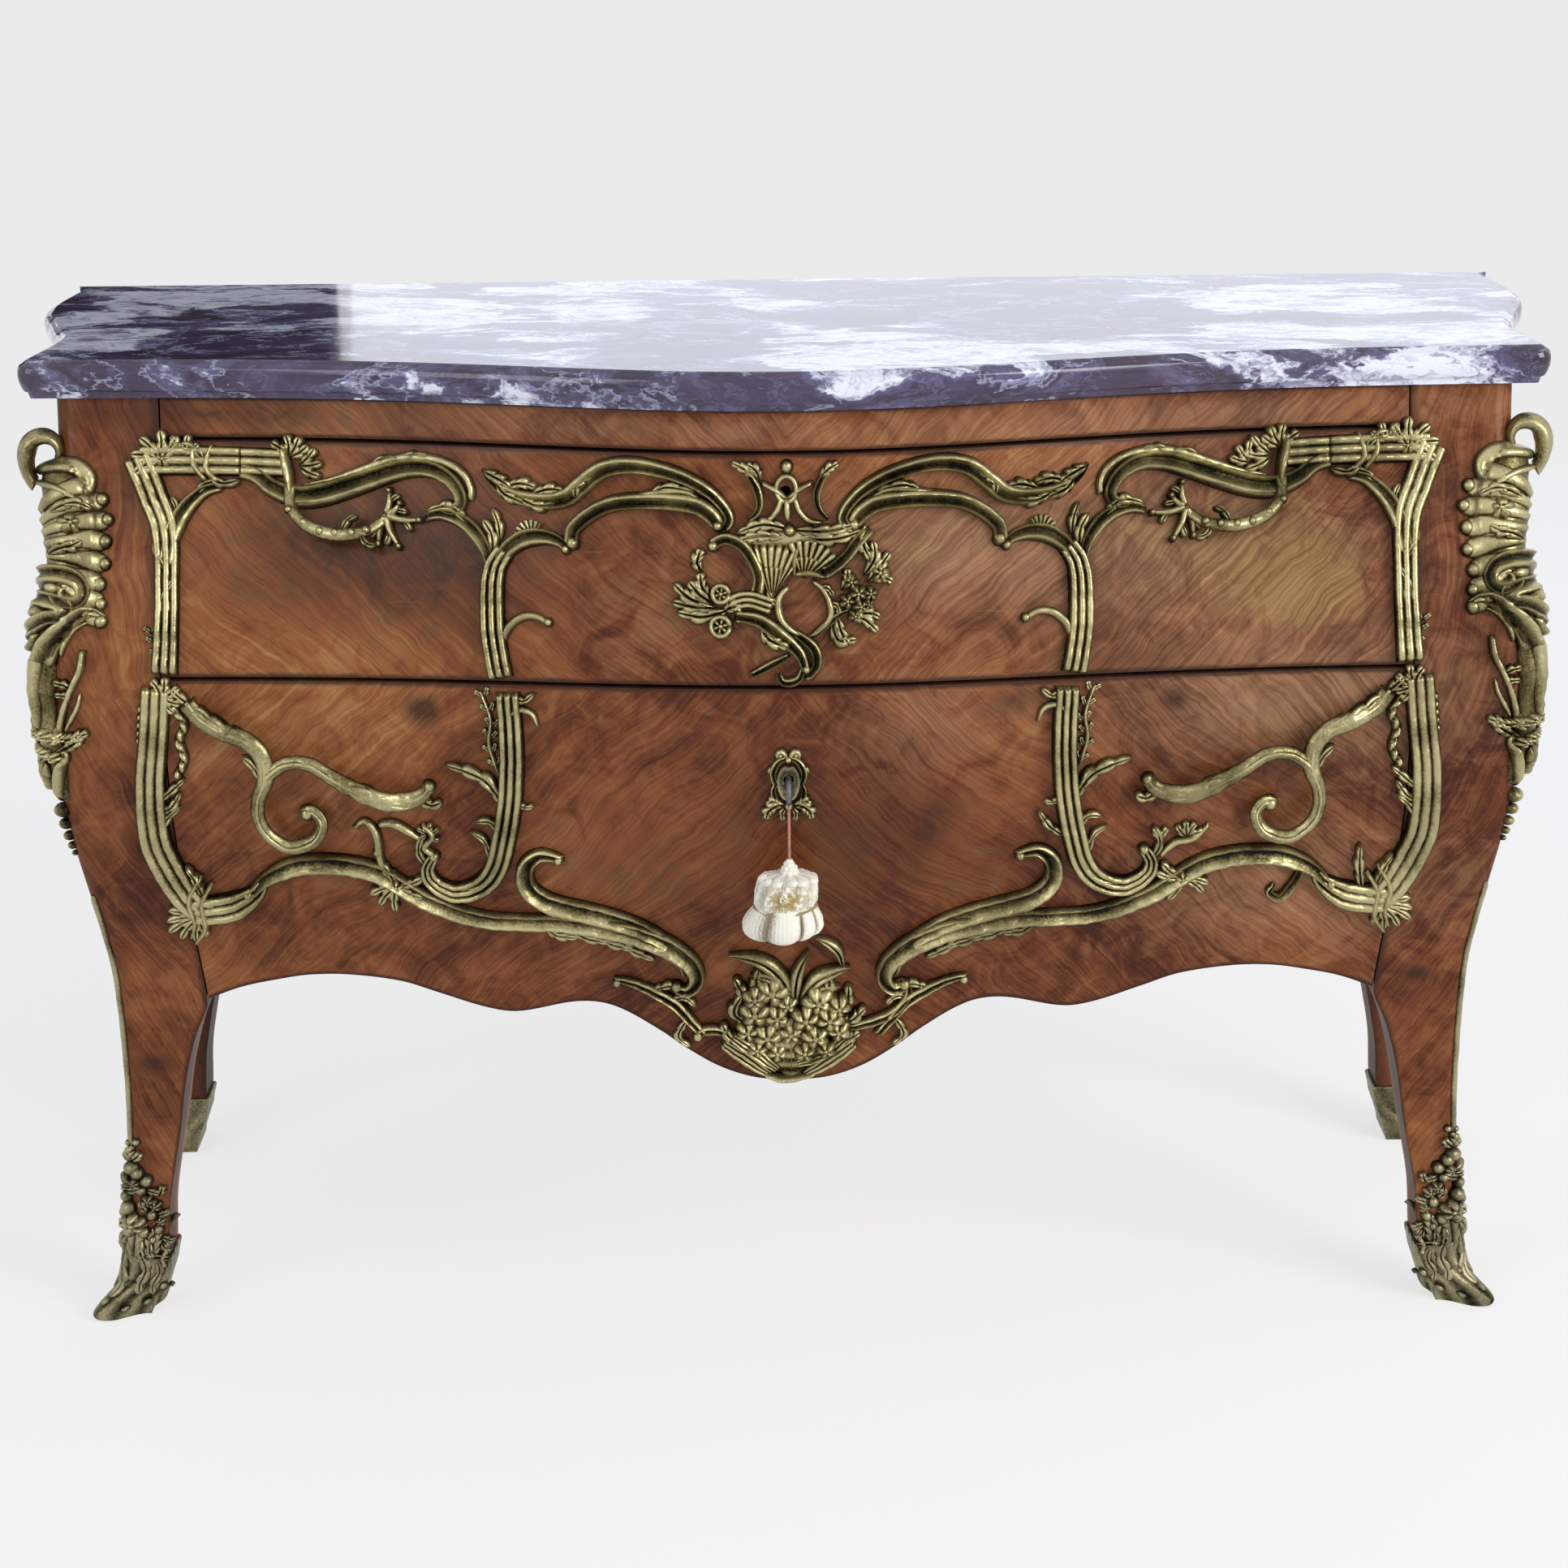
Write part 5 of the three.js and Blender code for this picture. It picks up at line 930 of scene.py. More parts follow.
def front_leg_ring(z, grow=0.0):
    inner = drawer_edge(z) + SEAM - grow
    outer = side_at(SETBACK, z) + grow
    front = front_at(HALF_WIDTH, z) - grow
    back = front_at(HALF_WIDTH, z) + leg_depth(z) + grow
    radius = CORNER + grow
    near = front_at(inner, z) - grow
    points = []
    for t in np.linspace(0, 1, 9):
        x = inner + (outer - radius - inner) * t
        points.append((x, near + (front - near) * min(1, 2 * t), z))
    for turn in np.linspace(0, math.pi / 2, 9)[1:]:
        points.append((outer - radius + radius * math.sin(turn), front + radius - radius * math.cos(turn), z))
    for t in np.linspace(0, 1, 5)[1:]:
        y = front + radius + (back - front - radius) * t
        points.append((side_at(max(y, SETBACK), z) + grow, y, z))
    last = points[-1]
    for t in np.linspace(0, 1, 5)[1:]:
        points.append((last[0] + (inner - last[0]) * t, back, z))
    points.append((inner, (near + back) / 2, z))
    return np.array(points, float)


def back_leg_ring(z, grow=0.0):
    inner = drawer_edge(z) + SEAM + FLARE * flare(1.0) - grow
    front = BACK - leg_depth(z) - grow
    back = BACK + grow
    outer = side_at(front, z) + grow
    far = side_at(BACK, z) + grow
    round_ = 9 + grow
    points = [(inner, front, z), ((inner + outer - round_) / 2, front, z)]
    for turn in np.linspace(0, math.pi / 2, 7):
        points.append((outer - round_ + round_ * math.sin(turn), front + round_ - round_ * math.cos(turn), z))
    for t in np.linspace(0, 1, 6)[1:]:
        points.append((outer + (far - outer) * t, front + round_ + (back - front - round_) * t, z))
    points += [((inner + far) / 2, back, z), (inner, back, z), (inner, (front + back) / 2, z)]
    return np.array(points, float)


LEG_HEIGHTS = np.concatenate([np.linspace(3.3, 60, 16), np.linspace(64, CARCASS_TOP, 130)])


def leg(name, ring, node, mirror):
    cast = Cast()
    rings = np.stack([ring(z) for z in LEG_HEIGHTS])[:, ::-1]
    middle = rings.mean(1, keepdims=True)
    slim = np.interp(LEG_HEIGHTS, [3, 34, 54], [0.6, 0.78, 1.0])[:, None, None]
    rings = middle + (rings - middle) * slim ** [1, 1, 0]
    slope = rings[..., 2] * 0.9 + np.abs(rings[..., 0]) * 0.42
    across = rings[..., 0] * 0.9 + rings[..., 1] * 0.9 - rings[..., 2] * 0.42
    cast.grid(rings, wrap=True, cap=(0, 1), uv=np.stack([slope, across], -1) / 1000)
    flat, _, _ = cast.arrays()
    extra = tones(flat * [-1 if mirror else 1, 1, 1])
    # Darkens the two columns at the leg's inner edge, beside the drawer.
    column = np.tile(np.arange(rings.shape[1]), len(rings))
    lined = np.isin(column, (0, rings.shape[1] - 1)) * 0.8
    extra["stain_and_shade"] = np.clip(extra["stain_and_shade"] + lined, 0, 1)
    make(name, cast, "carcass", VENEER, (node,), mirror, 45, extra)


for word, flip in (("right", False), ("left", True)):
    leg(f"{word}_front_post", front_leg_ring, f"front_{word}_leg", flip)
    leg(f"{word}_back_post", back_leg_ring, f"back_{word}_leg", flip)


def side_panel(name, node, mirror):
    columns = np.linspace(0, 1, 61)
    rows = np.linspace(0, 1, 60)
    outer, inner = [], []
    for column in columns:
        low = CASE_HEIGHT * (0.37106 + 0.03034 * side_apron(column))
        z = low + (CARCASS_TOP - low) * rows
        front = front_at(HALF_WIDTH, z) + leg_depth(z) + 0.3
        back = BACK - leg_depth(z) - 0.3
        y = front + (back - front) * column
        x = side_at(np.maximum(y, SETBACK), z)
        outer.append(np.stack([x, y, z], -1))
        inner.append(np.stack([x - 18, y, z], -1))
    outer, inner = np.array(outer), np.array(inner)
    points = np.concatenate([outer, inner[:, ::-1]], axis=1)
    cast = Cast()
    cast.grid(points, wrap=True, cap=(0, 1), uv=quartered(points[..., 1], points[..., 2], 600.0, 45.0, 210.0))
    flat, _, _ = cast.arrays()
    place = np.stack([flat[:, 1] * 2.0 - 300, flat[:, 1], flat[:, 2]], -1)
    make(name, cast, "carcass", VENEER, (node,), mirror, 40, tones(place))


side_panel("right_side", "right_side_panel", False)
side_panel("left_side", "left_side_panel", True)

# Marble top
MARBLE_EDGE = [(0, 1.0), (0.05, 0.96), (0.12, 0.86), (0.17, 0.8), (0.185, 0.5), (0.25, 0.34), (0.34, 0.2),
               (0.46, 0.06), (0.6, 0.0), (0.72, 0.03), (0.82, 0.14), (0.88, 0.3), (0.9, 0.52), (0.94, 0.66),
               (0.975, 0.82), (1, 1.05)]


def marble():
    tip = HALF_WIDTH + OVERHANG
    ear = 15.0
    back = BACK + 7.0
    shares = np.linspace(0, 1, 90)
    x = shares * (tip - ear)
    right = [np.stack([x, front_at(x, CASE_HEIGHT) - SETBACK], -1)]
    base = float(front_at(tip - ear, CASE_HEIGHT) - SETBACK)
    turn = np.linspace(0, math.pi / 2, 10)[1:]
    right.append(np.stack([tip - ear + ear * np.sin(turn), base + ear * (1 - np.cos(turn))], -1))
    y = base + ear + (back - base - ear) * np.linspace(0, 1, 50)[1:]
    right.append(np.stack([side_at(y - ear + SETBACK, CASE_HEIGHT) + OVERHANG, y], -1))
    right = np.concatenate(right)
    outline = np.concatenate([right, right[:0:-1] * [-1, 1]])
    heading = np.roll(outline, -1, 0) - np.roll(outline, 1, 0)
    heading /= np.linalg.norm(heading, axis=1, keepdims=True)
    rings = []
    for up, inset in MARBLE_EDGE:
        shift = 9.0 * inset + 0.15
        ring_x = outline[:, 0] - heading[:, 1] * shift
        ring_y = np.minimum(outline[:, 1] + heading[:, 0] * shift, back)
        ring_y = np.where(outline[:, 1] >= back - 0.5, back, ring_y)
        rings.append(np.stack([ring_x, ring_y, np.full(len(outline), CASE_HEIGHT + MARBLE_THICK * up)], -1))
    cast = Cast()
    cast.grid(np.stack(rings)[::-1], wrap=True)
    half = len(right)
    for ring, flip in ((rings[0], False), (rings[-1], True)):
        near, far = ring[:half], np.concatenate([ring[:1], ring[:half - 1:-1]])
        sheet_points = np.stack([near * (1 - t) + far * t for t in np.linspace(0, 1, 9)])
        cast.grid(sheet_points[::-1] if flip else sheet_points)
    make("marble_slab", cast, "carcass", STONE, ("marble_top",), angle=38)


marble()

# Mounts on the upper drawer
def pair(names, build, body, material, nodes):
    """Builds a mount on the right and its mirrored twin on the left."""
    for name, node, side in ((names[0], nodes[0], 1), (names[1], nodes[1], -1)):
        cast = Cast()
        build(cast, side)
        make(name, cast, body, material, (node,), side < 0, 60)


def both(stem):
    return f"right_{stem}", f"left_{stem}"


def two(stem_before, stem_after):
    return f"{stem_before}_right_{stem_after}", f"{stem_before}_left_{stem_after}"


def twigs(cast, face, foot, rows):
    """Bent twigs that fork from one point, each with a bud at its end and a leaf at its knee."""
    for turn, reach in rows:
        out, side = ways(turn)
        knee, end = foot + out * reach * 0.5 + side * 2.0, foot + out * reach
        ribbon(cast, face, [foot, knee, end], 7.5, 9, ROUND, TENDRIL, 2.5)
        boss(cast, face, end, 3.2, 8, 2.5)
        leaf(cast, face, [knee, knee + out * 5 + side * 4, knee + out * 8 + side * 8], 7, 8, 1, 2.5)


def upper_frame(cast, side):
    lay(cast, upper, (
        (ribbon, (1035, 915, 950, 915, 868, 912), 25, 9, REED3, EVEN),
        (ribbon, (1038, 935, 1012, 760, 992, 600, 989, 300, 995, 15), 25, 9.5, REED3, taper(0, 1.05, 0.3, 1,
         0.6, 0.85, 1, 0.95), 0.4),
        (ribbon, (988, 470, 980, 600, 958, 710, 930, 780, 902, 800), 15, 9, SCROLL, taper(0, 0.9, 0.5, 1, 1,
         0.5), 0.8),
        (leaf, (945, 750, 930, 810, 905, 825), 10, 6, 2),
        (leaf, (982, 640, 975, 710, 985, 765), 9, 6, 2),
        (ribbon, [(905, 820, 925, 885, 915, 990), (925, 825, 945, 900, 945, 995)], 7.5, 11, ROUND, STEM, 1),
        (leaf, (925, 900, 945, 965, 985, 985), 12, 13, 3, 1),
        (leaf, (925, 860, 900, 815, 870, 830), 11, 11, 2, 1),
        (spray, (1000, 915), (10, 48, 92, 128, -28), 26, 13, 9, 3.0),
        (spray, (965, 940), (60, 110, 150), 18, 10, 8, 3)))
    flower(cast, front_face, upper([[1.0, 0.915]])[0] + [-3, 1], 8, 7, 5, 0.4, 5.0)
    lay(cast, upper, (
        (husks, (1003, 80, 1012, 160, 1018, 230), 3, 9),
        (leaf, (998, 310, 985, 380, 975, 420), 8, 7, 2, 3),
        (leaf, (990, 450, 1005, 520, 1010, 570), 8, 8, 2, 3)))


def upper_branch(cast, side):
    lay(cast, upper, (
        (ribbon, (872, 912, 835, 910, 790, 905), 24, 8.5, REED3, EVEN),
        (ribbon, (872, 868, 845, 850, 820, 800, 785, 765, 745, 768, 695, 808, 645, 857, 600, 893, 560, 893, 530,
         850, 515, 790, 515, 745, 530, 722, 545, 740), 18, 12, SCROLL, taper(0, 0.7, 0.3, 1.1, 0.7, 0.9, 1,
         0.5)),
        (ribbon, (770, 812, 720, 840, 675, 880, 630, 925, 585, 945, 540, 930, 510, 885, 497, 820, 498, 765), 10,
         9, ROUND, taper(0, 0.3, 0.4, 1, 1, 0.6), 0.3, True),
        (boss, (531, 745), 4.4, 8, 2),
        (leaf, [(660, 895, 635, 935, 605, 930), (610, 920, 590, 955, 560, 950)], 9, 10, 2, 2),
        (spray, (790, 930), (38, 84, 118, 150), 20, 12, 11, 2.0),
        (spray, (775, 895), (135, 172, 205), 21 if side < 0 else 26, 11, 10, 2)))
    if side > 0:
        lay(cast, upper, [(spray, (740, 870), (92, 128, 164), 19, 10, 9, 2)])
    lay(cast, upper, [(ribbon, (800, 975, 795, 900, 790, 830, 788, 760), 9.5, 14, ROUND, STEM, 3)])


def upper_pull(cast, side):
    feet = upper([[0.79, 0.82], [0.63, 0.69]])
    raised = raised_face(front_face, feet, *FINGERS)
    lay(cast, upper, (
        (ribbon, (790, 820, 786, 720, 766, 645, 735, 605, 700, 592, 665, 610, 642, 655, 630, 700), 11, 10, TUBE,
         GRIP, 0.5),
        (boss, [(787, 700), (762, 640), (735, 605), (710, 598), (683, 602), (660, 620)], 4.8, 9.5, 3.0),
        (leaf, [(700, 600, 690, 650, 675, 680), (670, 600, 660, 560, 645, 550)], 8, 9, 2, 3)), raised)
    twigs(cast, front_face, upper([[0.634, 0.69]])[0], ((98, 21), (140, 16), (186, 29), (246, 27), (286, 24)))


def upper_mounts(cast, side):
    upper_branch(cast, side)
    upper_pull(cast, side)


def upper_scroll(cast, side):
    lay(cast, upper, (
        (ribbon, (453, 15, 463, 180, 465, 350, 460, 480, 442, 560), 22, 10, REED3, taper(0, 1, 0.7, 0.95, 1,
         0.75)),
        (ribbon, (452, 500, 437, 565, 410, 612, 378, 622, 352, 598, 345, 565), 15.5, 10.5, SCROLL, STEM),
        (ribbon, (463, 440, 475, 560, 495, 640, 520, 685, 548, 700, 572, 683), 13.5, 10, SCROLL, taper(0, 0.4,
         0.5, 1, 1, 0.5), 0.3, True),
        (leaf, (462, 540, 463, 620, 478, 690), 12, 9, 2, 1),
        (leaf, (500, 660, 530, 735, 570, 710), 12, 8, 3, 1),
        (leaf, (450, 600, 452, 670, 462, 740), 10, 9, 2, 1),
        (boss, (346, 572), 4.6, 9, 1),
        (shell, (400, 620), 1.05, 15, 8, 6, 0.35),
        (ribbon, (452, 170, 440, 235, 420, 280, 395, 287, 375, 255), 8.5, 7.5, ROUND, taper(0, 1, 0.6, 0.9, 1,
         0.6)),
        (boss, (376, 263), 4.4, 7, 1),
        (ribbon, (337, 590, 333, 660, 305, 730, 265, 780, 200, 797, 145, 785, 118, 745, 103, 690), 15.5, 11,
         SCROLL, taper(0, 0.8, 0.5, 1, 0.9, 1.05, 1, 0.8), 0.3, True),
        (ribbon, (250, 805, 200, 835, 155, 838, 125, 790), 6, 9, ROUND, STEM, 1),
        (leaf, (215, 810, 185, 858, 140, 840), 11, 10, 3, 1.5),
        (boss, (335, 600), 6.2, 10, 0.5),
        (boss, (106, 690), 5.6, 10, 0.5),
        (ribbon, (478, 905, 457, 840, 425, 795, 385, 778, 345, 795, 318, 855, 285, 925, 240, 950, 180, 925, 130,
         865, 100, 790, 87, 720, 97, 672), 14.5, 11, SCROLL, taper(0, 0.2, 0.15, 0.9, 0.35, 1.2, 0.6, 1, 1,
         0.6), 0.3, True),
        (leaf, [(478, 900, 450, 865, 430, 830), (440, 830, 415, 850, 390, 835), (400, 800, 370, 830, 345, 825),
         (455, 850, 440, 800, 410, 765), (420, 790, 390, 755, 360, 765)], 13, 11, 3, 1),
        (leaf, (325, 780, 325, 850, 300, 900), 11, 11, 3, 1.5)))


def cartouche(cast):
    fade = taper(0, 0.55, 0.4, 1, 1, 0.55)
    # Bud over the keyhole and the open lyre below it
    lay(cast, upper, (
        (boss, (2, 950), 5.8, 7, 0.5, 1.1),
        (ribbon, oval((1, 853), 15.5, 58, 14, -math.pi / 2), 5.5, 7, ROUND, EVEN, 0.6)))
    each(cast, upper, ribbon, (
        ((-38, 884, -28, 868, -15, 848, 2, 809), 6, 8),
        ((42, 881, 30, 866, 19, 848, 2, 809), 6, 8),
        ((-7, 824, -12, 768, -23, 725, -36, 705), 6.5, 8),
        ((14, 819, 21, 755, 36, 712, 58, 702), 6.5, 8),
        ((2, 810, 2, 750, 4, 700), 7, 7)), ROUND, STEM, 0.6)
    each(cast, upper, ribbon, (
        ((-66, 945, -53, 905, -43, 850, -40, 782, -47, 740, -59, 715), 8, 8.5),
        ((69, 935, 56, 893, 48, 826, 52, 762, 66, 714), 7.5, 8.5)), SCROLL, fade, 0.6)
    lay(cast, upper, [(leaf, [(-45, 900, -62, 940, -84, 972), (-40, 890, -45, 935, -60, 965), (52, 900, 66, 940,
        82, 965)], 11, 8, 3, 1.5)])
    # Bar of leaves with a bead
    lay(cast, upper, (
        (ribbon, (-66, 644, 0, 640, 60, 650, 110, 676), 15, 4.5, ROUND, EVEN, 0.6),
        (leaf, [(5, 675, -36, 697, -76, 660), (-2, 640, -40, 648, -78, 625), (10, 672, 52, 664, 85, 675, 118,
         700), (15, 641, 61, 628, 94, 640, 124, 668)], 14, 9, 4, 1.5),
        (boss, (6, 671), 5.6, 9, 5)))
    # Scrolls either side
    each(cast, upper, ribbon, (
        ((-116, 607, -103, 630, -88, 634, -66, 601, -50, 534, -42, 468, -46, 401), 11, 10),
        ((131, 674, 110, 611, 94, 554, 71, 501, 56, 482), 11, 10)), SCROLL, EVEN, 1)
    lay(cast, upper, (
        (boss, (-114, 603), 5.5, 9, 0.5),
        # Fluted drape and shell
        (shell, (-26, 375), 0.46, 47, 9.5, 6, 0.19),
        (shell, (-22, 355), 0.3, 33, 12, 4, -0.02),
        (shell, (28, 462), 0.74, 34, 10.5, 7, 0.28),
        (shell, (26, 455), 0.6, 21, 13, 5, 0.16)))
    each(cast, upper, ribbon, (
        ((12, 482, 36, 486, 62, 466), 6, 14),
        ((18, 600, 13, 540, 12, 470), 5, 12),
        ((4, 430, -8, 400, -13, 358, -9, 291, 9, 240, 26, 222), 8, 9),
        ((40, 455, 55, 420, 66, 364, 68, 300, 50, 240, 30, 210), 7, 8)), ROUND, STEM, 0.6)
    lay(cast, upper, [(leaf, [(50, 430, 64, 420, 74, 385), (66, 360, 78, 345, 81, 310), (-10, 340, -22, 375,
        -30, 420)], 8, 8, 2, 1)])
    # Arm, rosettes and fan of leaves on the left
    lay(cast, upper, [(ribbon, (-90, 345, -75, 372, -54, 376, -20, 345), 15, 9, REED3, EVEN, 0.6)])
    for middle, size in (((-102, 401), 9.6), ((-103, 262), 11.0)):
        lay(cast, upper, (
            (flower, middle, size, 9, 6, 0.3, 2.0),
            (ribbon, oval(middle, 1.35 * size, 3.8 * size, 13), 4.6, 5, ROUND, EVEN, 7.0)))
    lay(cast, upper, [(leaf, [(-115, 360, -136, 400, -152, 452), (-118, 380, -131, 430, -134, 490), (-130, 490,
        -138, 530, -132, 590), (-116, 350, -150, 380, -177, 445), (-90, 332, -131, 302, -174, 322), (-110, 340,
        -145, 345, -180, 365), (-40, 262, -28, 207, 3, 170), (-100, 320, -85, 345, -70, 340)], 15, 10.5, 3,
        1.5)])
    # Stem, knot and tail below
    each(cast, upper, ribbon, (
        ((-82, 305, -62, 300, -40, 283, -11, 224, 19, 147, 30, 60), 14, 11),
        ((12, 235, 41, 171, 47, 103, 36, 50, 26, 40), 10, 10),
        ((-13, 58, -8, 24, 5, 20, 18, 36, 24, 85), 8, 9),
        ((-57, 52, -30, 90, 4, 138), 8, 9),
        ((34, 205, 78, 300, 100, 325), 7, 8)), SCROLL, STEM, 0.6)
    lay(cast, upper, [(boss, (30, 75), 4.6, 8, 1)])
    # Small flowers and leaves on the right
    for i, (a, b, size) in enumerate((
            (100, 445, 6.6), (111, 395, 7.4), (130, 393, 6.2), (94, 365, 6.4), (115, 340, 6.6),
            (145, 480, 8.0), (106, 300, 5.4), (127, 350, 5.0))):
        lay(cast, upper, [(flower, (a, b), size * 1.2, 10, 5, i * 0.8, 4.0)])
    lay(cast, upper, [(leaf, [(126, 440, 143, 500, 162, 570), (130, 450, 150, 460, 165, 440), (95, 308, 121,
        284, 143, 226), (100, 310, 130, 310, 146, 290), (78, 304, 84, 236, 97, 172), (120, 470, 137, 545, 134,
        622), (85, 410, 94, 454, 94, 503), (128, 680, 119, 610, 131, 535), (70, 270, 80, 200, 110, 200)], 13,
        10, 3, 1.5)])


pair(two("upper", "corner"), upper_frame, "upper_drawer", BRONZE, two("upper", "frame"))
pair(two("upper", "branch"), upper_mounts, "upper_drawer", BRONZE, two("upper", "branch_pull"))
pair(two("upper", "arabesque"), upper_scroll, "upper_drawer", BRONZE, two("upper", "scroll"))
centre = Cast()
cartouche(centre)
make("upper_cartouche", centre, "upper_drawer", BRONZE, ("centre_cartouche",), angle=60)


# Mounts on the lower drawer
def lower_frame(cast, side):
    lay(cast, lower, (
        (ribbon, (1010, 985, 1018, 880, 1030, 760, 1033, 660, 1028, 590, 1010, 520, 990, 460, 965, 425, 940,
         425), 27, 9.5, REED3, taper(0, 0.95, 0.4, 1, 0.8, 1.1, 1, 0.8)),
        (ribbon, (985, 425, 940, 428, 905, 443, 875, 472, 862, 500), 26, 9.5, REED3, taper(0, 1, 0.5, 1.05, 1,
         0.4)),
        (ribbon, (885, 465, 855, 510, 810, 543, 760, 553, 700, 545, 655, 520, 615, 480, 570, 445, 510, 417, 450,
         410, 380, 412, 310, 405, 250, 390, 200, 360, 165, 320, 153, 275, 168, 243, 190, 250), 19, 11.5, SCROLL,
         taper(0, 0.45, 0.12, 1, 0.6, 0.85, 0.85, 1.15, 1, 0.5)),
        (ribbon, (365, 580, 400, 590, 425, 560, 425, 505, 390, 465, 330, 443, 270, 420, 215, 382, 180, 330, 168,
         280), 17, 10.5, SCROLL, taper(0, 0.4, 0.2, 1, 0.7, 1.1, 1, 0.5), 0.4),
        (ribbon, (430, 475, 395, 440, 340, 425, 280, 402, 225, 360), 6.5, 8, ROUND, taper(0, 0.3, 0.5, 1, 1,
         0.3), 0.6),
        (boss, (372, 577), 5, 8, 0.8),
        (boss, (186, 253), 6, 9, 0.8),
        (boss, (888, 468), 5.5, 9, 0.8),
        (leaf, [(360, 400, 330, 375, 290, 365), (320, 392, 290, 362, 250, 348), (280, 378, 255, 345, 220, 322),
         (400, 402, 380, 380, 345, 375)], 12, 7, 3, 0.6)))
    # Tie of leaves at the bottom corner
    for turn, reach in ((-8, 30), (-28, 34), (-50, 30), (-78, 26), (14, 28), (-105, 20)):
        lay(cast, lower, [(spray, (972, 410), (turn,), reach, 11, 8, 2.0)])
    lay(cast, lower, (
        (ribbon, [(945, 500, 965, 450, 963, 385, 985, 335), (962, 520, 985, 460, 980, 400, 990, 350)], 7, 12,
         ROUND, STEM, 1),
        (leaf, (960, 460, 970, 510, 985, 550), 10, 12, 3, 2)))
    # Beads outside the reeds, a twisted garland inside them
    lay(cast, lower, (
        (boss, [(1037 + 6 * t, 935 - 75 * t) for t in np.linspace(0, 1, 5)], 3.6, 5, 0.5),
        (twist, (985, 940, 968, 900, 978, 860, 972, 815, 985, 775), 9, 8, 7),
        (leaf, [(1022, 710, 1000, 735, 972, 770), (1024, 680, 998, 700, 982, 735), (1028, 600, 1012, 660, 983,
         700)], 10, 8, 3, 1),
        (spray, (1000, 965), (60, 100, 150, 200, 235), 17, 11, 9, 1.5)))
    # Sprigs on the rail
    knot = (640, 500)
    if side < 0:
        lay(cast, lower, (
            (ribbon, (655, 520, 665, 570, 668, 630, 685, 665, 705, 645), 9, 8, ROUND, STEM, 0.8),
            (ribbon, (665, 655, 640, 660, 615, 640, 595, 620), 9, 8, ROUND, STEM, 0.8),
            (ribbon, (592, 660, 575, 630, 590, 600, 572, 575, 585, 540), 7, 8, ROUND, STEM, 0.8),
            (spray, (583, 635), (30, 100, 150, 210, 320), 11, 7, 8, 1),
            (spray, knot, (-20, -50, -85, 160, 205, 60), 26, 11, 8, 2.5),
            (boss, (668, 585), 5, 8, 1)))
    else:
        lay(cast, lower, (
            (spray, knot, (-15, -38, -120, 140, 165), 25, 11, 8, 2.5),
            (ribbon, (600, 555, 625, 590, 655, 600, 680, 635), 7, 7, ROUND, STEM, 0.8),
            (spray, (645, 605), (20, 62, 95, 130), 15, 9, 7, 1),
            (spray, (600, 600), (60, 110), 13, 9, 7, 1),
            (leaf, (940, 450, 932, 510, 930, 575), 12, 9, 3, 2),
            (ribbon, (840, 520, 825, 470, 805, 435, 785, 450, 795, 470), 9, 8, SCROLL, STEM, 0.8)))
    lay(cast, lower, [(flower, knot, 8, 8, 5, 0.5, 4.0)])


LOWER_PULL = (960, 955, 940, 920, 900, 895, 862, 873, 840, 840, 836, 785, 850, 735, 852, 690, 838, 645, 805,
    615, 768, 628, 753, 665, 768, 692, 783, 678)
LOWER_ARM = (838, 785, 805, 818, 765, 820, 730, 790, 680, 752, 630, 727, 592, 732, 572, 765)


def lower_pull(cast, side):
    feet = lower([[0.95, 0.94], [0.776, 0.685], [0.59, 0.735]])
    raised = raised_face(front_face, feet, *FINGERS)
    lay(cast, lower, (
        (ribbon, LOWER_PULL, 15, 11, TUBE, taper(0, 1, 0.3, 1.1, 0.6, 0.8, 0.9, 0.85, 1, 1), 0.4),
        (ribbon, LOWER_ARM, 15, 11, TUBE, taper(0, 0.8, 0.35, 0.9, 0.75, 1.15, 1, 0.8), 0.4),
        # Ribs along the back of the pull, and a leaf wrapped over its arm
        (ribbon, LOWER_PULL, 4.5, 3, ROUND, taper(0, 1, 1, 0.8), 9.2),
        (ribbon, LOWER_ARM, 4.5, 3, ROUND, taper(0, 1, 1, 0.8), 9.2),
        (boss, (777, 686), 7.5, 12, 1),
        (boss, (574, 762), 6.5, 11, 1),
        (leaf, (735, 790, 670, 745, 605, 712), 17, 4.5, 4, 8.5),
        (leaf, (600, 735, 575, 715, 553, 728), 12, 8, 2, 2),
        (leaf, (838, 770, 853, 810, 872, 838), 11, 9, 2, 2),
        (leaf, (850, 870, 905, 905, 950, 945), 15, 4, 3, 8.5)), raised)
    lay(cast, lower, [(leaf, (955, 945, 975, 970, 985, 985), 12, 10, 2, 1)])


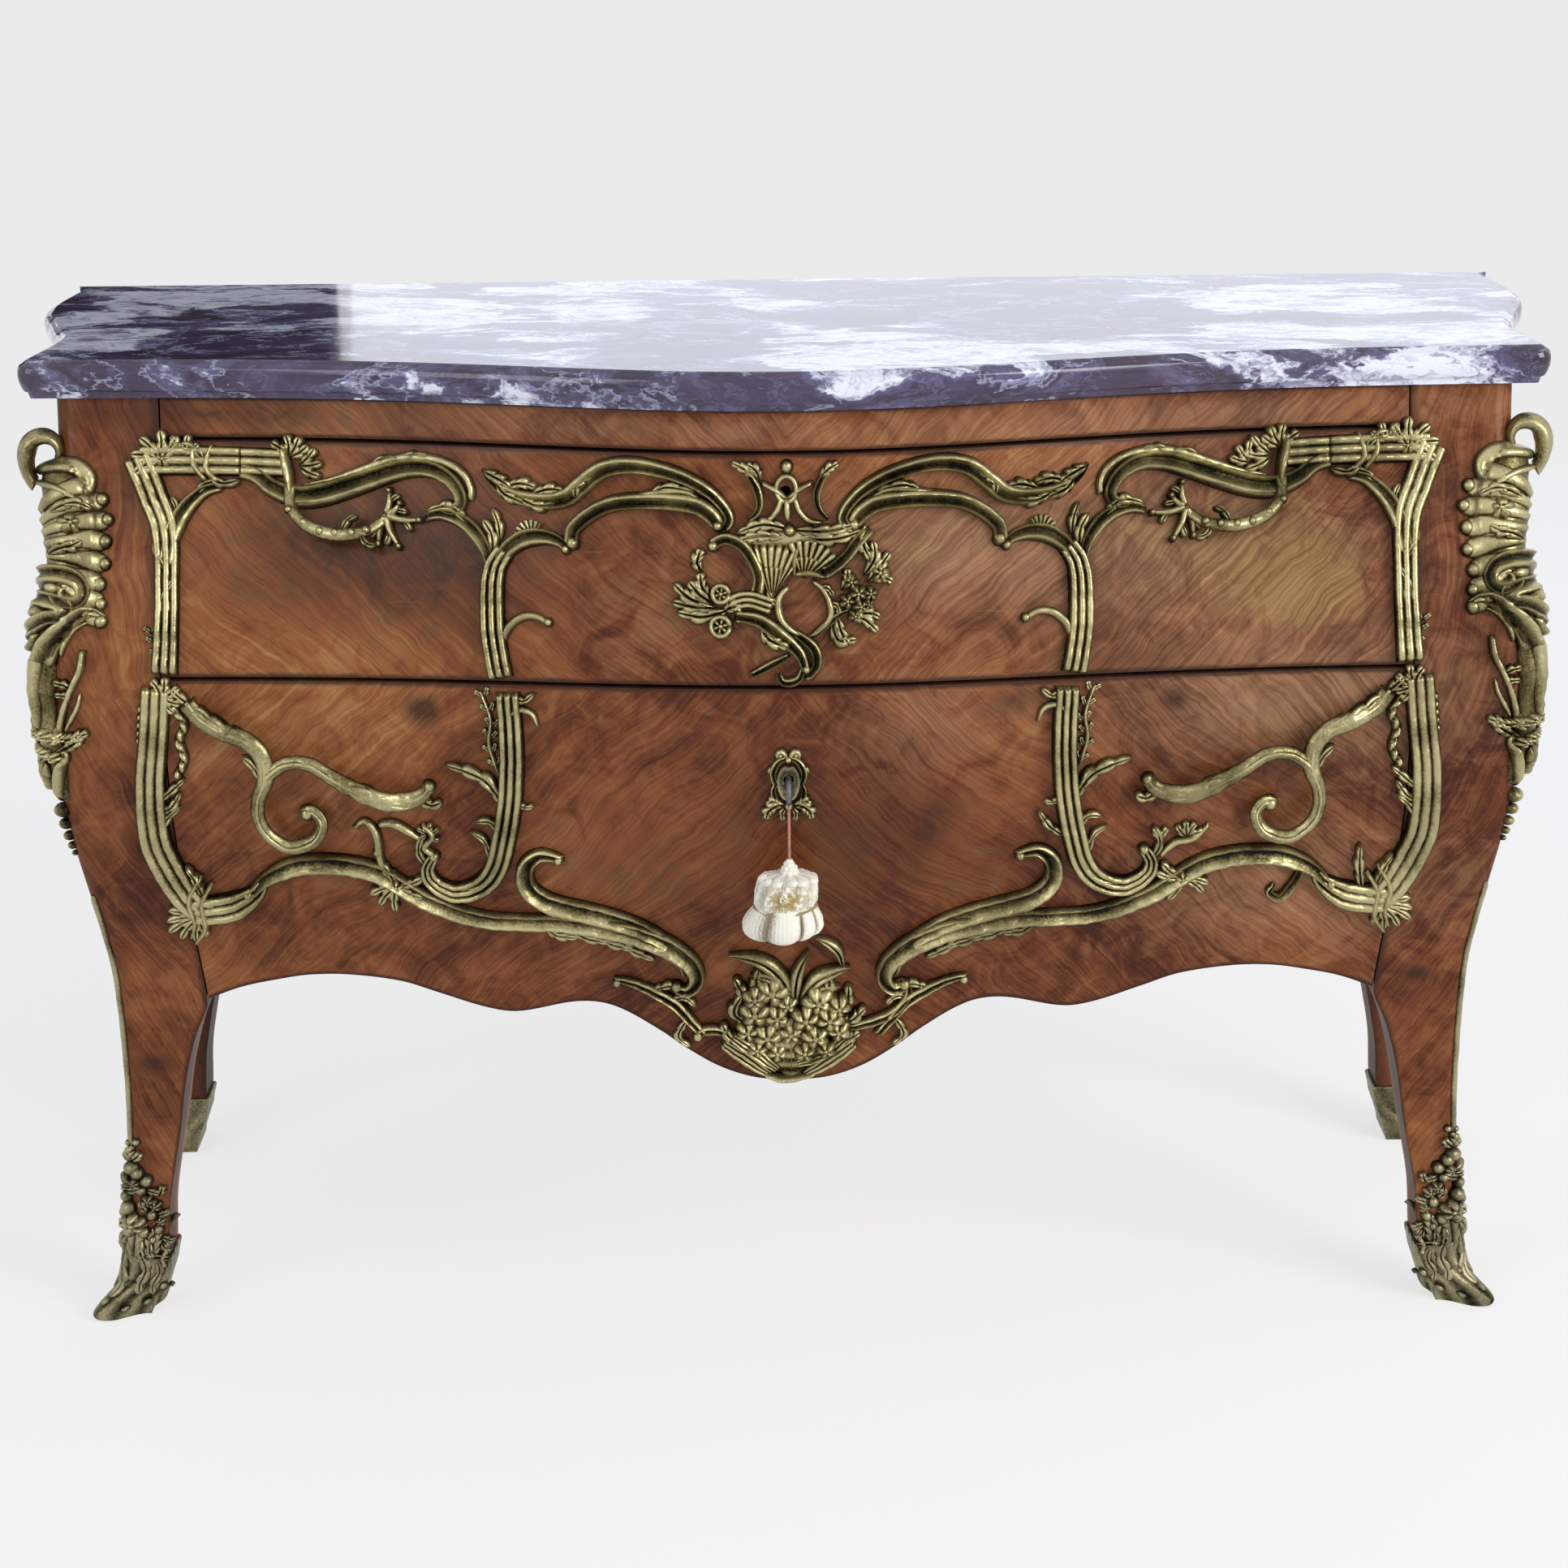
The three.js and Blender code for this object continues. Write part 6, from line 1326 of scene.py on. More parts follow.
def lower_scroll(cast, side):
    lay(cast, lower, (
        (ribbon, (443, 985, 440, 860, 445, 740, 457, 640, 475, 550, 505, 500, 545, 485, 577, 507, 587, 545, 572,
         583), 22, 10.5, REED3, taper(0, 0.95, 0.5, 1, 0.8, 0.85, 1, 0.45)),
        (ribbon, (455, 660, 470, 570, 500, 510, 540, 495), 6, 10.5, ROUND, STEM, 0.5),
        (boss, (575, 578), 5.5, 9, 0.8),
        (leaf, (452, 700, 485, 775, 550, 812), 15, 10, 4, 1),
        (leaf, (460, 630, 478, 670, 505, 670), 10, 9, 2, 1),
        (leaf, (478, 555, 490, 620, 515, 645), 9, 8, 2, 1),
        (leaf, (583, 545, 600, 590, 590, 640), 10, 8, 2, 1),
        (ribbon, (442, 930, 425, 945, 405, 935, 397, 905), 7, 7, ROUND, TENDRIL, 0.6),
        (leaf, (440, 725, 425, 710, 408, 712), 8, 7, 2, 0.8),
        (leaf, (440, 985, 420, 965, 400, 985), 9, 7, 2, 0.8),
        (husks, (463, 800, 476, 860, 472, 920, 487, 990), 6, 10),
        (ribbon, (460, 780, 476, 860, 472, 920, 487, 985), 4.5, 6, ROUND, STEM, 0.8)))
    if side > 0:
        lay(cast, lower, [(leaf, (445, 620, 418, 650, 400, 690), 10, 8, 3, 0.8)])


def apron_sprig(cast, side):
    lay(cast, lower, (
        (ribbon, (290, 265, 265, 262, 220, 235, 185, 200, 158, 150, 140, 118), 11, 8.5, SCROLL, taper(0, 0.5,
         0.5, 1, 1, 0.7), 0.3, True),
        (boss, (284, 256), 4.6, 7, 0.5),
        (leaf, [(200, 205, 175, 225, 155, 200), (170, 165, 185, 120, 165, 90), (230, 235, 200, 255, 180, 243)],
         10, 8, 3, 0.8)))


def basket(cast):
    rows = smooth([(0.0, 0.1), (0.18, 0.45), (0.4, 0.8), (0.62, 1), (0.8, 1.02), (1, 0.92)])
    up = np.linspace(0, 1, 46)[:, None]
    across = np.linspace(-1, 1, 61)[None, :]
    half = 0.079 * rows(up)
    weave = np.sin(across * 26) * np.sin(up * 36 + (np.floor(across * 26 / math.pi) % 2) * math.pi)
    rise = 12.0 * (0.4 + 0.6 * rows(up))
    height = 0.5 + rise * np.sqrt(np.clip(1 - across**2, 0, 1)) + 1.1 * weave * (np.abs(across) < 0.95)
    place = lower(np.stack([(across * half).ravel(), (0.012 + 0.17 * up + 0 * across).ravel()], -1))
    a, b = place[:, 0].reshape(height.shape), place[:, 1].reshape(height.shape)
    cast.grid(front_face(a, b, height)[:, ::-1], (0.45 + 0.5 * weave)[:, ::-1])
    # Bundles of reeds that cross below, and the handles at both sides
    each(cast, lower, ribbon, (
        ((-112, 106, -74, 66, -34, 18), 15, 9),
        ((-98, 130, -58, 88, -20, 34), 13, 13),
        ((104, 106, 62, 60, 20, 18), 15, 10),
        ((90, 126, 54, 85, 4, 50), 13, 13)), REED3, STEM, 1.5)
    lay(cast, lower, (
        (ribbon, (-45, 22, -8, 9, 42, 24), 8, 12, ROUND, STEM, 1.5),
        (ribbon, [(-153, 118, -142, 137, -120, 138, -85, 119), (82, 142, 128, 156, 167, 181, 188, 214, 192, 243,
         180, 262, 168, 250)], 9.5, 9, SCROLL, taper(0, 0.6, 0.3, 1, 1, 0.6), 0.8),
        (boss, (-153, 118), 5.4, 8, 0.5),
        (boss, (170, 252), 4.8, 8, 0.5)))
    # Long leaves over the flowers
    each(cast, lower, leaf, (
        ((4, 200, -12, 275, -46, 325, -100, 345), 17, 12),
        ((0, 210, -28, 278, -66, 290), 13, 11),
        ((6, 200, 11, 290, 30, 356), 13, 13),
        ((12, 210, 43, 277, 97, 310), 16, 12),
        ((86, 300, 79, 345, 62, 372, 40, 389), 11, 10),
        ((10, 200, 40, 240, 82, 258), 13, 11)), 1, 2)
    lay(cast, lower, [(leaf, [(-55, 200, -80, 250, -90, 285), (-60, 150, -92, 190, -78, 240), (60, 180, 90, 215,
        94, 262), (70, 160, 100, 170, 122, 200), (-70, 110, -100, 125, -112, 160), (70, 110, 98, 120, 112, 135),
        (-30, 220, -55, 260, -50, 310), (30, 220, 60, 250, 62, 300)], 14, 11, 3, 1.8)])
    for i, (a, b, size) in enumerate((
            (-30, 247, 14), (45, 224, 13.5), (24, 182, 12.5), (-22, 180, 12), (-58, 193, 12.5), (62, 182, 12.5),
            (0, 136, 12), (-38, 132, 12), (40, 134, 12), (-70, 142, 10.5), (77, 145, 10.5), (22, 94, 9.5),
            (-22, 86, 9.5), (-58, 236, 10.5), (78, 214, 9.5), (-5, 215, 9), (-55, 100, 8.5), (56, 100, 8.5))):
        lay(cast, lower, [(flower, (a, b), size * 1.16, 6.5 + i % 3, 5, i * 0.7, 9.0 + 2.0 * (i % 3))])


pair(two("lower", "corner"), lower_frame, "lower_drawer", BRONZE, two("lower", "frame"))
pair(two("lower", "handle"), lower_pull, "lower_drawer", BRONZE, two("lower", "scroll_pull"))
pair(two("lower", "arabesque"), lower_scroll, "lower_drawer", BRONZE, two("lower", "scroll"))
pair(both("sprig"), apron_sprig, "lower_drawer", BRONZE, both("apron_sprig"))
flowers = Cast()
basket(flowers)
make("flower_basket", flowers, "lower_drawer", BRONZE, ("apron_basket",), angle=60)


# Escutcheon and key
def plate(cast):
    """A two-lobed plate with the keyhole through it."""
    turn = np.linspace(0, 2 * math.pi, 73)[:-1]
    dent = 1 - 0.12 * np.exp(-(np.abs(turn - math.pi / 2) / 0.35) ** 2)
    lobes = 10.2 * (0.86 + 0.14 * np.abs(np.cos(turn))) * dent
    outer = np.stack([lobes * np.cos(turn), lobes * np.sin(turn) * 1.85 - 2.0], -1)
    hole = []
    for t in turn:
        x, z = 4.7 * math.cos(t), 4.7 * math.sin(t)
        if z < 0 and abs(x) < 3.4:
            x, z = max(-2.1, min(2.1, x * 0.8)), -13.2
        hole.append((x, z))
    hole = np.array(hole)
    rings, wear = [], []
    for inward, height, shade in ((0, 0.3, 0.0), (0, 2.0, 0.55), (0.12, 3.6, 1.0), (0.45, 3.1, 0.45),
                                  (0.8, 2.4, 0.3), (1, 2.2, 0.7), (1, 0.3, 0.0)):
        at = outer * (1 - inward) + hole * inward
        rings.append(front_face(at[:, 0], LOWER_KEYHOLE + at[:, 1], height))
        wear.append(np.full(len(at), shade))
    rings.append(rings[0])
    wear.append(wear[0])
    cast.grid(np.stack(rings), np.stack(wear), wrap=True)


def at_keyhole(points):
    return np.array(points, float) * [0.72, 0.84] + [0, LOWER_KEYHOLE - 1.0]


def escutcheon(cast):
    for side in (1, -1):
        def place(points):
            return at_keyhole(np.array(points, float) * [side, 1])
        turned = side < 0
        lay(cast, place, (
            (ribbon, (2, 24, 3.5, 29, 8, 33, 13, 31, 12.5, 26.5, 8.5, 27), 5.6, 6.5, ROUND, STEM, 0.6, turned),
            (ribbon, (1, 25, 7, 24.5, 14, 20, 18.5, 11, 17.5, 2, 14.5, -4), 6, 6.5, SCROLL, taper(0, 0.7, 0.5,
             1.1, 1, 0.7), 0.5, turned),
            (ribbon, (17, 13, 21, 15, 23, 11, 20.5, 8), 4, 5, ROUND, STEM, 0.8),
            (ribbon, (15, -2, 18.5, -9, 17, -17, 12.5, -24, 9, -28), 5.6, 6, SCROLL, taper(0, 0.7, 0.5, 1, 1,
             0.8), 0.5, turned),
            (leaf, (4, -26, 14, -25, 24, -31, 27, -40), 14, 9, 4, 0.8),
            (leaf, (10, -24, 19, -20, 25.5, -24), 9, 7, 3, 1.5),
            (leaf, (3, -27, 8, -33, 7, -42), 8, 7, 2, 0.8),
            (boss, (9.2, 28.5), 2.6, 5.5, 1)), unit=1)
    lay(cast, at_keyhole, (
        (boss, (0, -26), 4.6, 7.5, 0.8),
        (boss, (0, 24), 3.6, 6.5, 0.8)), unit=1)


escutcheon_cast, plate_cast = Cast(), Cast()
escutcheon(escutcheon_cast)
plate(plate_cast)
make("escutcheon_scrolls", escutcheon_cast, "lower_drawer", BRONZE, ("lock_escutcheon",), angle=60)
make("escutcheon_plate", plate_cast, "lower_drawer", PATINA, ("lock_escutcheon",), angle=45)


def key():
    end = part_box("key")[1][1] * 1000 - SHIFT
    cast = Cast()
    t = np.linspace(0, 2 * math.pi, 73)
    flattened = BOW_REACH - 1.1 * np.exp(-((t - math.pi) / 0.4) ** 2)
    line = np.stack([0 * t, BOW + BOW_REACH * np.cos(t), LOWER_KEYHOLE + flattened * np.sin(t)], -1)
    rod(cast, line, 2.45, taper(0, 0.9, 0.5, 1, 1, 0.9), 14, wear=0.55)
    shank = [(BOW + 8.5, 1.9), (BOW + 11.0, 4.2), (BOW + 13.5, 4.4), (BOW + 15, 3.1), (BOW + 16.2, 3.0),
             (BOW + 17.2, 4.0), (BOW + 18.4, 4.0), (BOW + 19.4, 2.9), (BOW + 26, 2.75), (end - 12, 2.75),
             (end - 0.6, 2.75), (end, 2.2)]
    turn = np.linspace(0, 2 * math.pi, 25)[:-1]
    rings = [np.stack([r * np.cos(turn), np.full(24, y), LOWER_KEYHOLE - r * np.sin(turn)], -1)
             for y, r in shank]
    cast.grid(np.stack(rings), 0.55, wrap=True, cap=(0, 1))
    outline = np.array([(end + y, z) for y, z in (
        (-9, -2), (-9, -12), (-6.2, -12), (-6.2, -8.2), (-4.8, -8.2), (-4.8, -12), (-2.4, -12), (-2.4, -9.4),
        (0, -9.4), (0, -2))])
    sides = np.stack([np.stack([np.full(len(outline), x), outline[:, 0], LOWER_KEYHOLE + outline[:, 1]], -1)
                      for x in (1.2, -1.2)])
    cast.grid(sides, 0.5, wrap=True, cap=(0, 1))
    make("key_steel", cast, "key", STEEL, ("key",), angle=45)


key()


# Chutes at the front corners
def chute(cast, side):
    # Share of the height, front and back edge in shares of the post's half, rise
    rows = np.array([[0.600, -0.10, 0.5, 3], [0.62, -0.14, 0.9, 8], [0.645, -0.2, 1.1, 11],
                     [0.665, -0.2, 1.2, 13], [0.68, -0.1, 1.25, 14], [0.71, -0.06, 1.3, 16],
                     [0.735, -0.08, 1.35, 17], [0.755, -0.12, 1.35, 16.5], [0.772, -0.3, 1.3, 16],
                     [0.79, -0.72, 1.2, 13.5], [0.803, -0.9, 1.05, 9], [0.815, -0.95, 0.98, 5.5],
                     [0.84, -0.95, 0.95, 8], [0.87, -0.95, 0.95, 12], [0.895, -0.86, 1.0, 14],
                     [0.915, -0.6, 1.0, 13.5], [0.930, -0.4, 0.9, 10], [0.937, -0.2, 0.7, 6]])
    front, back, rise = (smooth(zip(rows[:, 0], rows[:, k])) for k in (1, 2, 3))

    def body(a, b):
        up = np.asarray(b) / CASE_HEIGHT
        c = (np.asarray(a) / POST_HALF - front(up)) / (back(up) - front(up))
        ends = np.clip(np.minimum(up - 0.6015, 0.9365 - up) / 0.008, 0, 1) ** 0.4
        return rise(up) * np.clip(1 - (2 * c - 1) ** 2, 0, 1) ** 0.3 * ends

    def face(a, b, height):
        return corner_face(a, b, height + body(a, b))

    up = np.linspace(0.602, 0.936, 130)[:, None]
    c = np.linspace(0, 1, 41)[None, :]
    a = (front(up) + (back(up) - front(up)) * c) * POST_HALF
    b = np.broadcast_to(up * CASE_HEIGHT, a.shape)
    ripple = 0.7 * np.sin(up * 140 + c * 9)
    hollow = np.exp(-((c - 0.62) / 0.18) ** 2) * np.clip((up - 0.815) / 0.02, 0, 1)
    hollow = hollow * np.clip((0.92 - up) / 0.03, 0, 1)
    shade = np.clip(0.25 + 0.3 * np.sin(math.pi * c) * (1 - 0.7 * hollow) + 0.12 * ripple, 0, 1)
    cast.grid(face(a, b, 0.4 + ripple - 1.6 * hollow)[:, ::-1], shade[:, ::-1])
    fat = taper(0, 0.3, 0.45, 0.7, 0.8, 1.02, 0.93, 0.9, 1, 0.5)
    even = taper(0, 0.55, 0.3, 1, 0.75, 1, 1, 0.5)
    curled = taper(0, 0.8, 0.4, 1.1, 0.8, 0.85, 1, 0.35)
    # Flutes of the shell, each ending in a fat lobe
    tips = ((-0.71, 0.9153), (-1.05, 0.9), (-1.2, 0.8812), (-1.17, 0.861), (-1.2, 0.8405), (-1.1, 0.8218),
            (-1.14, 0.8035), (-1.16, 0.787))
    for k, tip in enumerate(np.array(tips)):
        root = np.array([0.24 - 0.04 * k, 0.884 - 0.0095 * k])
        bend = (root + tip) / 2 + [0, 0.006 - 0.0012 * k]
        lay(cast, corner, (
            (ribbon, np.stack([root, bend, tip]), 16.5, 5.2, ROUND, fat, 0.2),
            (boss, tip + [0.06, 0], 6.2 + 0.6 * (k % 2), 6.5, 0.3, 0.95)), face, 1)
    lay(cast, corner, (
        # Roll over the top, golden ridge below it, flower and raised leaves
        (ribbon, (750, 919.1, 200, 929, -200, 933.5, -500, 930, -720, 918.5, -680, 903), 14, 8.5, ROUND, even,
         0.3),
        (ribbon, (620, 905, 370, 912, 50, 912.2, -180, 908.7, -420, 900.1, -580, 893), 5.5, 6, ROUND, even,
         0.9),
        (flower, (-420, 875.1), 9, 6.5, 5, 0.3, 2.5),
        (leaf, [(-100, 883.5, -340, 892.5, -550, 893.8, -860, 888.7), (-50, 846.1, -270, 851.6, -460, 854.1,
         -680, 859)], 12, 7, 3, 2.5),
        # Two buds that curl over each other
        (ribbon, (750, 812, 450, 822, 100, 828, -270, 829, -600, 823.1, -720, 811.8, -550, 803.5, -250, 807.5,
         -240, 817, -400, 819), 13.5, 9, SCROLL, curled, 0.8),
        (ribbon, (800, 787, 500, 799.6, 200, 806, -120, 804.8, -370, 800, -340, 791.5, -120, 788.5, 200, 776.5,
         600, 766.3), 13, 8, SCROLL, curled, 0.8),
        (boss, (120, 794), 8.5, 8, 0.5, 0.75),
        (boss, (-120, 817), 7.5, 8, 0.5, 0.75),
        # Spout that runs from the shell's foot down into the ribs
        (ribbon, (-1210, 790.7, -900, 795.5, -620, 791.5, -390, 781.4, -220, 771, -80, 760.1, 20, 745), 12, 9,
         SCROLL, taper(0, 0.4, 0.3, 1, 1, 0.8), 0.8),
        (ribbon, (-840, 786.4, -570, 780.3, -390, 771.1, -290, 762.2, -240, 753), 4.5, 6.5, ROUND, even, 0.5),
        (ribbon, (100, 775, 280, 762, 900, 752), 11, 6, SCROLL, curled, 0.5, True),
        # Ribs, a row of beads outside them and a branch inside them
        (ribbon, (-20, 763.9, 120, 742.7, 200, 713.3, 200, 678.7), 8.5, 6, ROUND, even, 0.5),
        (ribbon, (500, 746.2, 540, 720, 500, 675.7), 6.5, 5.5, ROUND, even, 0.5)), face)
    lay(cast, corner, (
        (boss, [(860, z) for z in np.linspace(735.3, 681.2, 7)], 4.6, 5.0, 0.3),
        (ribbon, (-720, 760, -660, 741.2, -490, 726, -350, 711.8, -220, 694.4, -140, 676.6), 7.5, 8, ROUND,
         taper(0, 0.9, 0.3, 1, 0.55, 0.75, 1, 0.7), 0.8),
        (ribbon, (-640, 717.5, -580, 705, -420, 692, -250, 677), 4.8, 5.5, ROUND, even, 0.6),
        (leaf, (-460, 721.5, -300, 725.9, -80, 727.5), 10, 9, 2, 0.5),
        (leaf, (-460, 711, -300, 715, -100, 714.5), 9, 8, 2, 0.5)), face)
    # Tie, leaves and stem, then a drop of beads
    for a, b, size in ((50, 673.5, 5), (-150, 670.9, 4.8), (300, 672, 5), (120, 655, 4.8), (-60, 652, 4.8),
                       (360, 656, 4.6), (600, 664, 4.6)):
        lay(cast, corner, [(flower, (a, b), size * 1.35, size * 1.3, 5, b * 0.09, 1.2)], face)
    lay(cast, corner, (
        (leaf, [(-120, 668.8, -410, 671.4, -780, 677.7), (-140, 658, -360, 664, -660, 675.2), (300, 668, 560,
         679, 900, 684), (300, 664, 600, 655, 860, 640.5), (120, 650, 300, 637, 420, 617.7), (200, 655, 560,
         637, 760, 614.1), (100, 645, 200, 630, 300, 612)], 14, 9, 3, 0.8),
        (ribbon, (-220, 660, -250, 650, -140, 641, -40, 619.1, 0, 606), 5.5, 7, ROUND, even, 0.6)), face)
    for a, b, size in ((200, 614, 4.6), (420, 600.3, 5), (200, 589.5, 8.0), (500, 588.5, 5.4), (220, 574, 6.4),
                       (200, 560.5, 5.4), (180, 549.5, 4.2), (160, 541, 3.0)):
        lay(cast, corner, [(boss, (a, b), size, size * 1.25, 0.8, 0.86)], corner_face)
    # Volute: a deep band rolled outwards, open in the middle
    turn = np.array([-64, -45, -25, 0, 45, 90, 120, 150, 180, 200])
    reach = np.array([28, 23, 19.6, 17.4, 16.8, 15.9, 14.5, 12.5, 10.5, 9.0])
    thick = np.array([7.0, 7.4, 7.8, 8.6, 8.4, 7.4, 5.8, 4.6, 4.0, 2.6])
    deep = np.array([9, 10.5, 11.5, 12.5, 12.5, 11.5, 10, 9, 8, 7])
    at = np.linspace(-64, 200, 80)
    angle, reach, thick, deep = np.radians(at), *(smooth(zip(turn, v))(at) for v in (reach, thick, deep))
    across = np.linspace(0, 2 * math.pi, 25)[:-1]
    out = reach[:, None] + thick[:, None] * np.cos(across) * (0.9 + 0.1 * np.cos(3 * across))
    middle = np.array([634.4, float(front_at(HALF_WIDTH, 807.6)) + 5.0, 807.6])
    points = np.stack([middle[0] + np.cos(angle)[:, None] * out,
                       middle[1] - deep[:, None] * np.sin(across) + 0 * out,
                       middle[2] + np.sin(angle)[:, None] * out], -1)
    cast.grid(points, 0.35 + 0.35 * np.abs(np.sin(across * 1.5)) + 0 * out, wrap=True, cap=(0, 1))


def strip(cast, side):
    """A thin bead down the edge of the leg."""
    low = (58.0 + 100.0) / CASE_HEIGHT + 0.004
    rows = [[0.0, 0.492 + (low - 0.492) * t] for t in np.linspace(0, 1, 9)]
    ribbon(cast, corner_face, corner(rows), 7, 2.5, ROUND, EVEN, 0.3, step=5.0)


def garland(cast):
    """Berries, flowers and leaves that climb the outer corner above the shoe."""
    for s, z, size, kind in ((-7.9, 170.7, 3.3, 0), (1, 168, 3.2, 0), (-3, 164, 2.8, 0), (-3.5, 144.5, 6.6, 0),
                             (-9, 140, 5.6, 0), (-17, 132.8, 5.6, 0), (-6, 128.5, 4.4, 1), (-12, 122.6, 4.6, 0),
                             (3.5, 113.8, 5.6, 0), (0, 104, 6.6, 0), (-18, 113, 5.4, 1), (-25, 108, 5.6, 1),
                             (-22, 99, 5.2, 0), (-30, 93, 4.6, 1), (-29, 85, 5.0, 0), (-7.5, 89, 9.2, 1),
                             (-15.5, 82, 5.4, 0), (-2, 80, 4.6, 0), (8, 96, 5.2, 0), (11, 84, 5.4, 1),
                             (-24, 75, 4.0, 0), (10, 132, 3.8, 0)):
        if kind:
            flower(cast, corner_face, (s, z), size * 1.35, size * 1.25, 5, s, 1.4)
        else:
            boss(cast, corner_face, (s, z), size * 1.12, size * 1.5, 0.4, 1.05)
    for s, z, turn, reach in ((-3, 152, 75, 13), (-4, 152, 130, 12), (-4, 151, 35, 11), (-4, 127, 8, 22),
                              (-3, 125, -25, 17), (2, 121, 160, 15), (-17, 126, 200, 13), (-12, 116, 250, 14),
                              (4, 98, -20, 16), (-2, 96, 200, 14), (-26, 100, 165, 12), (-32, 80, 205, 13),
                              (-14, 76, 265, 19), (-22, 73, 260, 17), (-33, 74, 235, 13), (0, 78, 290, 17),
                              (12, 76, 275, 16), (-28, 118, 110, 11)):
        spray(cast, corner_face, (s, z), (turn,), reach, 9.5, 8, 1.0)


TOE = np.array([0.72, -0.69])
INNER = np.array([-0.69, -0.72])
REACH = smooth([(0, 19), (2, 23), (6, 25), (11, 23), (16, 18), (22, 11), (28, 5.5), (35, 1.6), (44, 0),
                (58, 0)])


def pointed(place, z):
    """Draws the foot out into a toe that points diagonally forwards."""
    middle = np.stack([(drawer_edge(z) + side_at(SETBACK, z)) / 2, front_at(HALF_WIDTH, z) + leg_depth(z) / 2],
                      -1)
    away = place - middle
    away = away / np.linalg.norm(away, axis=-1, keepdims=True)
    low = REACH(z)[..., None]
    push = np.clip(away @ TOE, 0, 1)[..., None] ** 2.5
    inner = (away @ INNER)[..., None]
    pull = 0.55 * np.clip(inner, 0, 1) ** 2 - 0.5 * np.clip(-inner, 0, 1) ** 2
    return place + low * (push * TOE - pull * INNER)


def shoe(cast, ring, toe):
    rows = np.concatenate([np.linspace(0, 4, 5), np.linspace(6, 54, 34), [56.0, 57.4, 58.0]])
    grow = smooth([(0, 0.6), (2, 2.2), (6, 3.2), (15, 3.4), (23, 2.9), (40, 2.0), (46, 2.0), (52, 2.8),
                   (56, 3.1), (58, 2.2)])
    columns = 96
    at = np.linspace(0, 1, columns + 1)[:-1]

    def even_ring(z, out):
        points = ring(z, out)
        closed = np.concatenate([points, points[:1]])
        run = np.concatenate([[0], np.cumsum(np.linalg.norm(np.diff(closed, axis=0), axis=1))])
        even = np.stack([np.interp(at * run[-1], run, closed[:, k]) for k in (0, 1, 2)], -1)
        away = even[:, :2] - even[:, :2].mean(0)
        away /= np.linalg.norm(away, axis=1, keepdims=True)
        even[:, 2] = z
        if toe:
            even[:, :2] = pointed(even[:, :2], even[:, 2])
        return even, away

    outer, wear = [], []
    for z in rows:
        even, away = even_ring(z, float(grow(z)))
        wave = np.sin(at * 2 * math.pi * 11 + z * 0.16 + 0.7 * math.sin(z * 0.21))
        fade = math.sin(math.pi * min(max(z / 58, 0), 1))
        even[:, :2] += away * (0.6 * wave * fade)[:, None]
        outer.append(even)
        # Flute crests are painted lighter and grooves darker: painted shade that follows the flutes.
        wear.append(0.42 + (0.26 if toe else 0.08) * wave)
    for z in (58.0, 50.0):
        outer.append(even_ring(z, 0.35)[0])
        wear.append(np.full(columns, 0.3))
    cast.grid(np.stack(outer)[:, ::-1], np.stack(wear)[:, ::-1], wrap=True, cap=(0,))


def front_shoe(cast, side):
    shoe(cast, front_leg_ring, True)
    garland(cast)

    def face(a, b, height):
        points = corner_face(a, b, height)
        points[..., :2] = pointed(points[..., :2], points[..., 2])
        return points

    lay(cast, np.array, (
        (leaf, (2, 64, 4, 46, 0, 30, 1, 19), 17, 3.6, 3, 2.0),
        (leaf, [(-13, 60, -19, 46, -16, 32, -21, 22), (16, 60, 19, 44, 15, 30, 20, 20)], 13, 3.4, 3, 2.0),
        (leaf, (-27, 56, -32, 44, -28, 30, -34, 20), 11, 3.4, 3, 1.8),
        (leaf, (28, 54, 33, 40, 29, 26, 35, 16), 12, 3.4, 3, 1.8)), face, 1.0)
    for s, top, wide in ((-26, 86, 21), (8, 92, 20), (-9, 96, 26)):
        lay(cast, np.array, [(leaf, (s, 46, s + 2, 64, s, top), wide, 4.5, 5, 0.6)], corner_face, 1.0)
    lay(cast, np.array, (
        (ribbon, (-40, 57, -28, 59, -18, 57), 5.5, 4.5, SCROLL, EVEN, 2.4),
        (ribbon, (-38, 48, -34, 56, -38, 66, -37, 76), 5.5, 5, ROUND, STEM, 1.5)), face, 1.0)
    for s, z, size in ((-36, 50, 3.4), (-38, 30, 4.2), (-33, 12.5, 4.4), (-18, 9, 3.6), (18, 10, 4.0),
                       (32, 14, 4.0), (1, 17, 3.6)):
        boss(cast, face, (s, z), size, size * 1.2, 2.2)
    # Small curls that stand off the inner edge
    for z, high, wide, size in ((60.0, 34.0, 11.0, 2.4), (16.0, 11.0, 15.0, 2.2)):
        x = float(drawer_edge(z)) + SEAM
        y = float(front_at(x, z)) + 12
        t = np.linspace(0, 1, 44)
        line = np.stack([x + 2 - wide * np.clip(t * 1.15, 0, 1) ** (2.4 if high > 20 else 0.9), y + 0 * t,
                         z + high * np.sin(t * math.pi * 0.56)], -1)
        rod(cast, line, size, smooth([(0, 1.1), (0.7, 0.85), (0.9, 1.25), (1, 0.5)]), 10, wear=0.4)


def back_shoe(cast, side):
    shoe(cast, back_leg_ring, False)


pair(both("corner_chute"), chute, "carcass", BRONZE, both("chute"))
pair(both("leg_strip"), strip, "carcass", PATINA, both("edge_strip"))
pair(both("front_shoe"), front_shoe, "carcass", PATINA, ("front_right_sabot", "front_left_sabot"))
pair(both("back_shoe"), back_shoe, "carcass", PATINA, ("back_right_sabot", "back_left_sabot"))


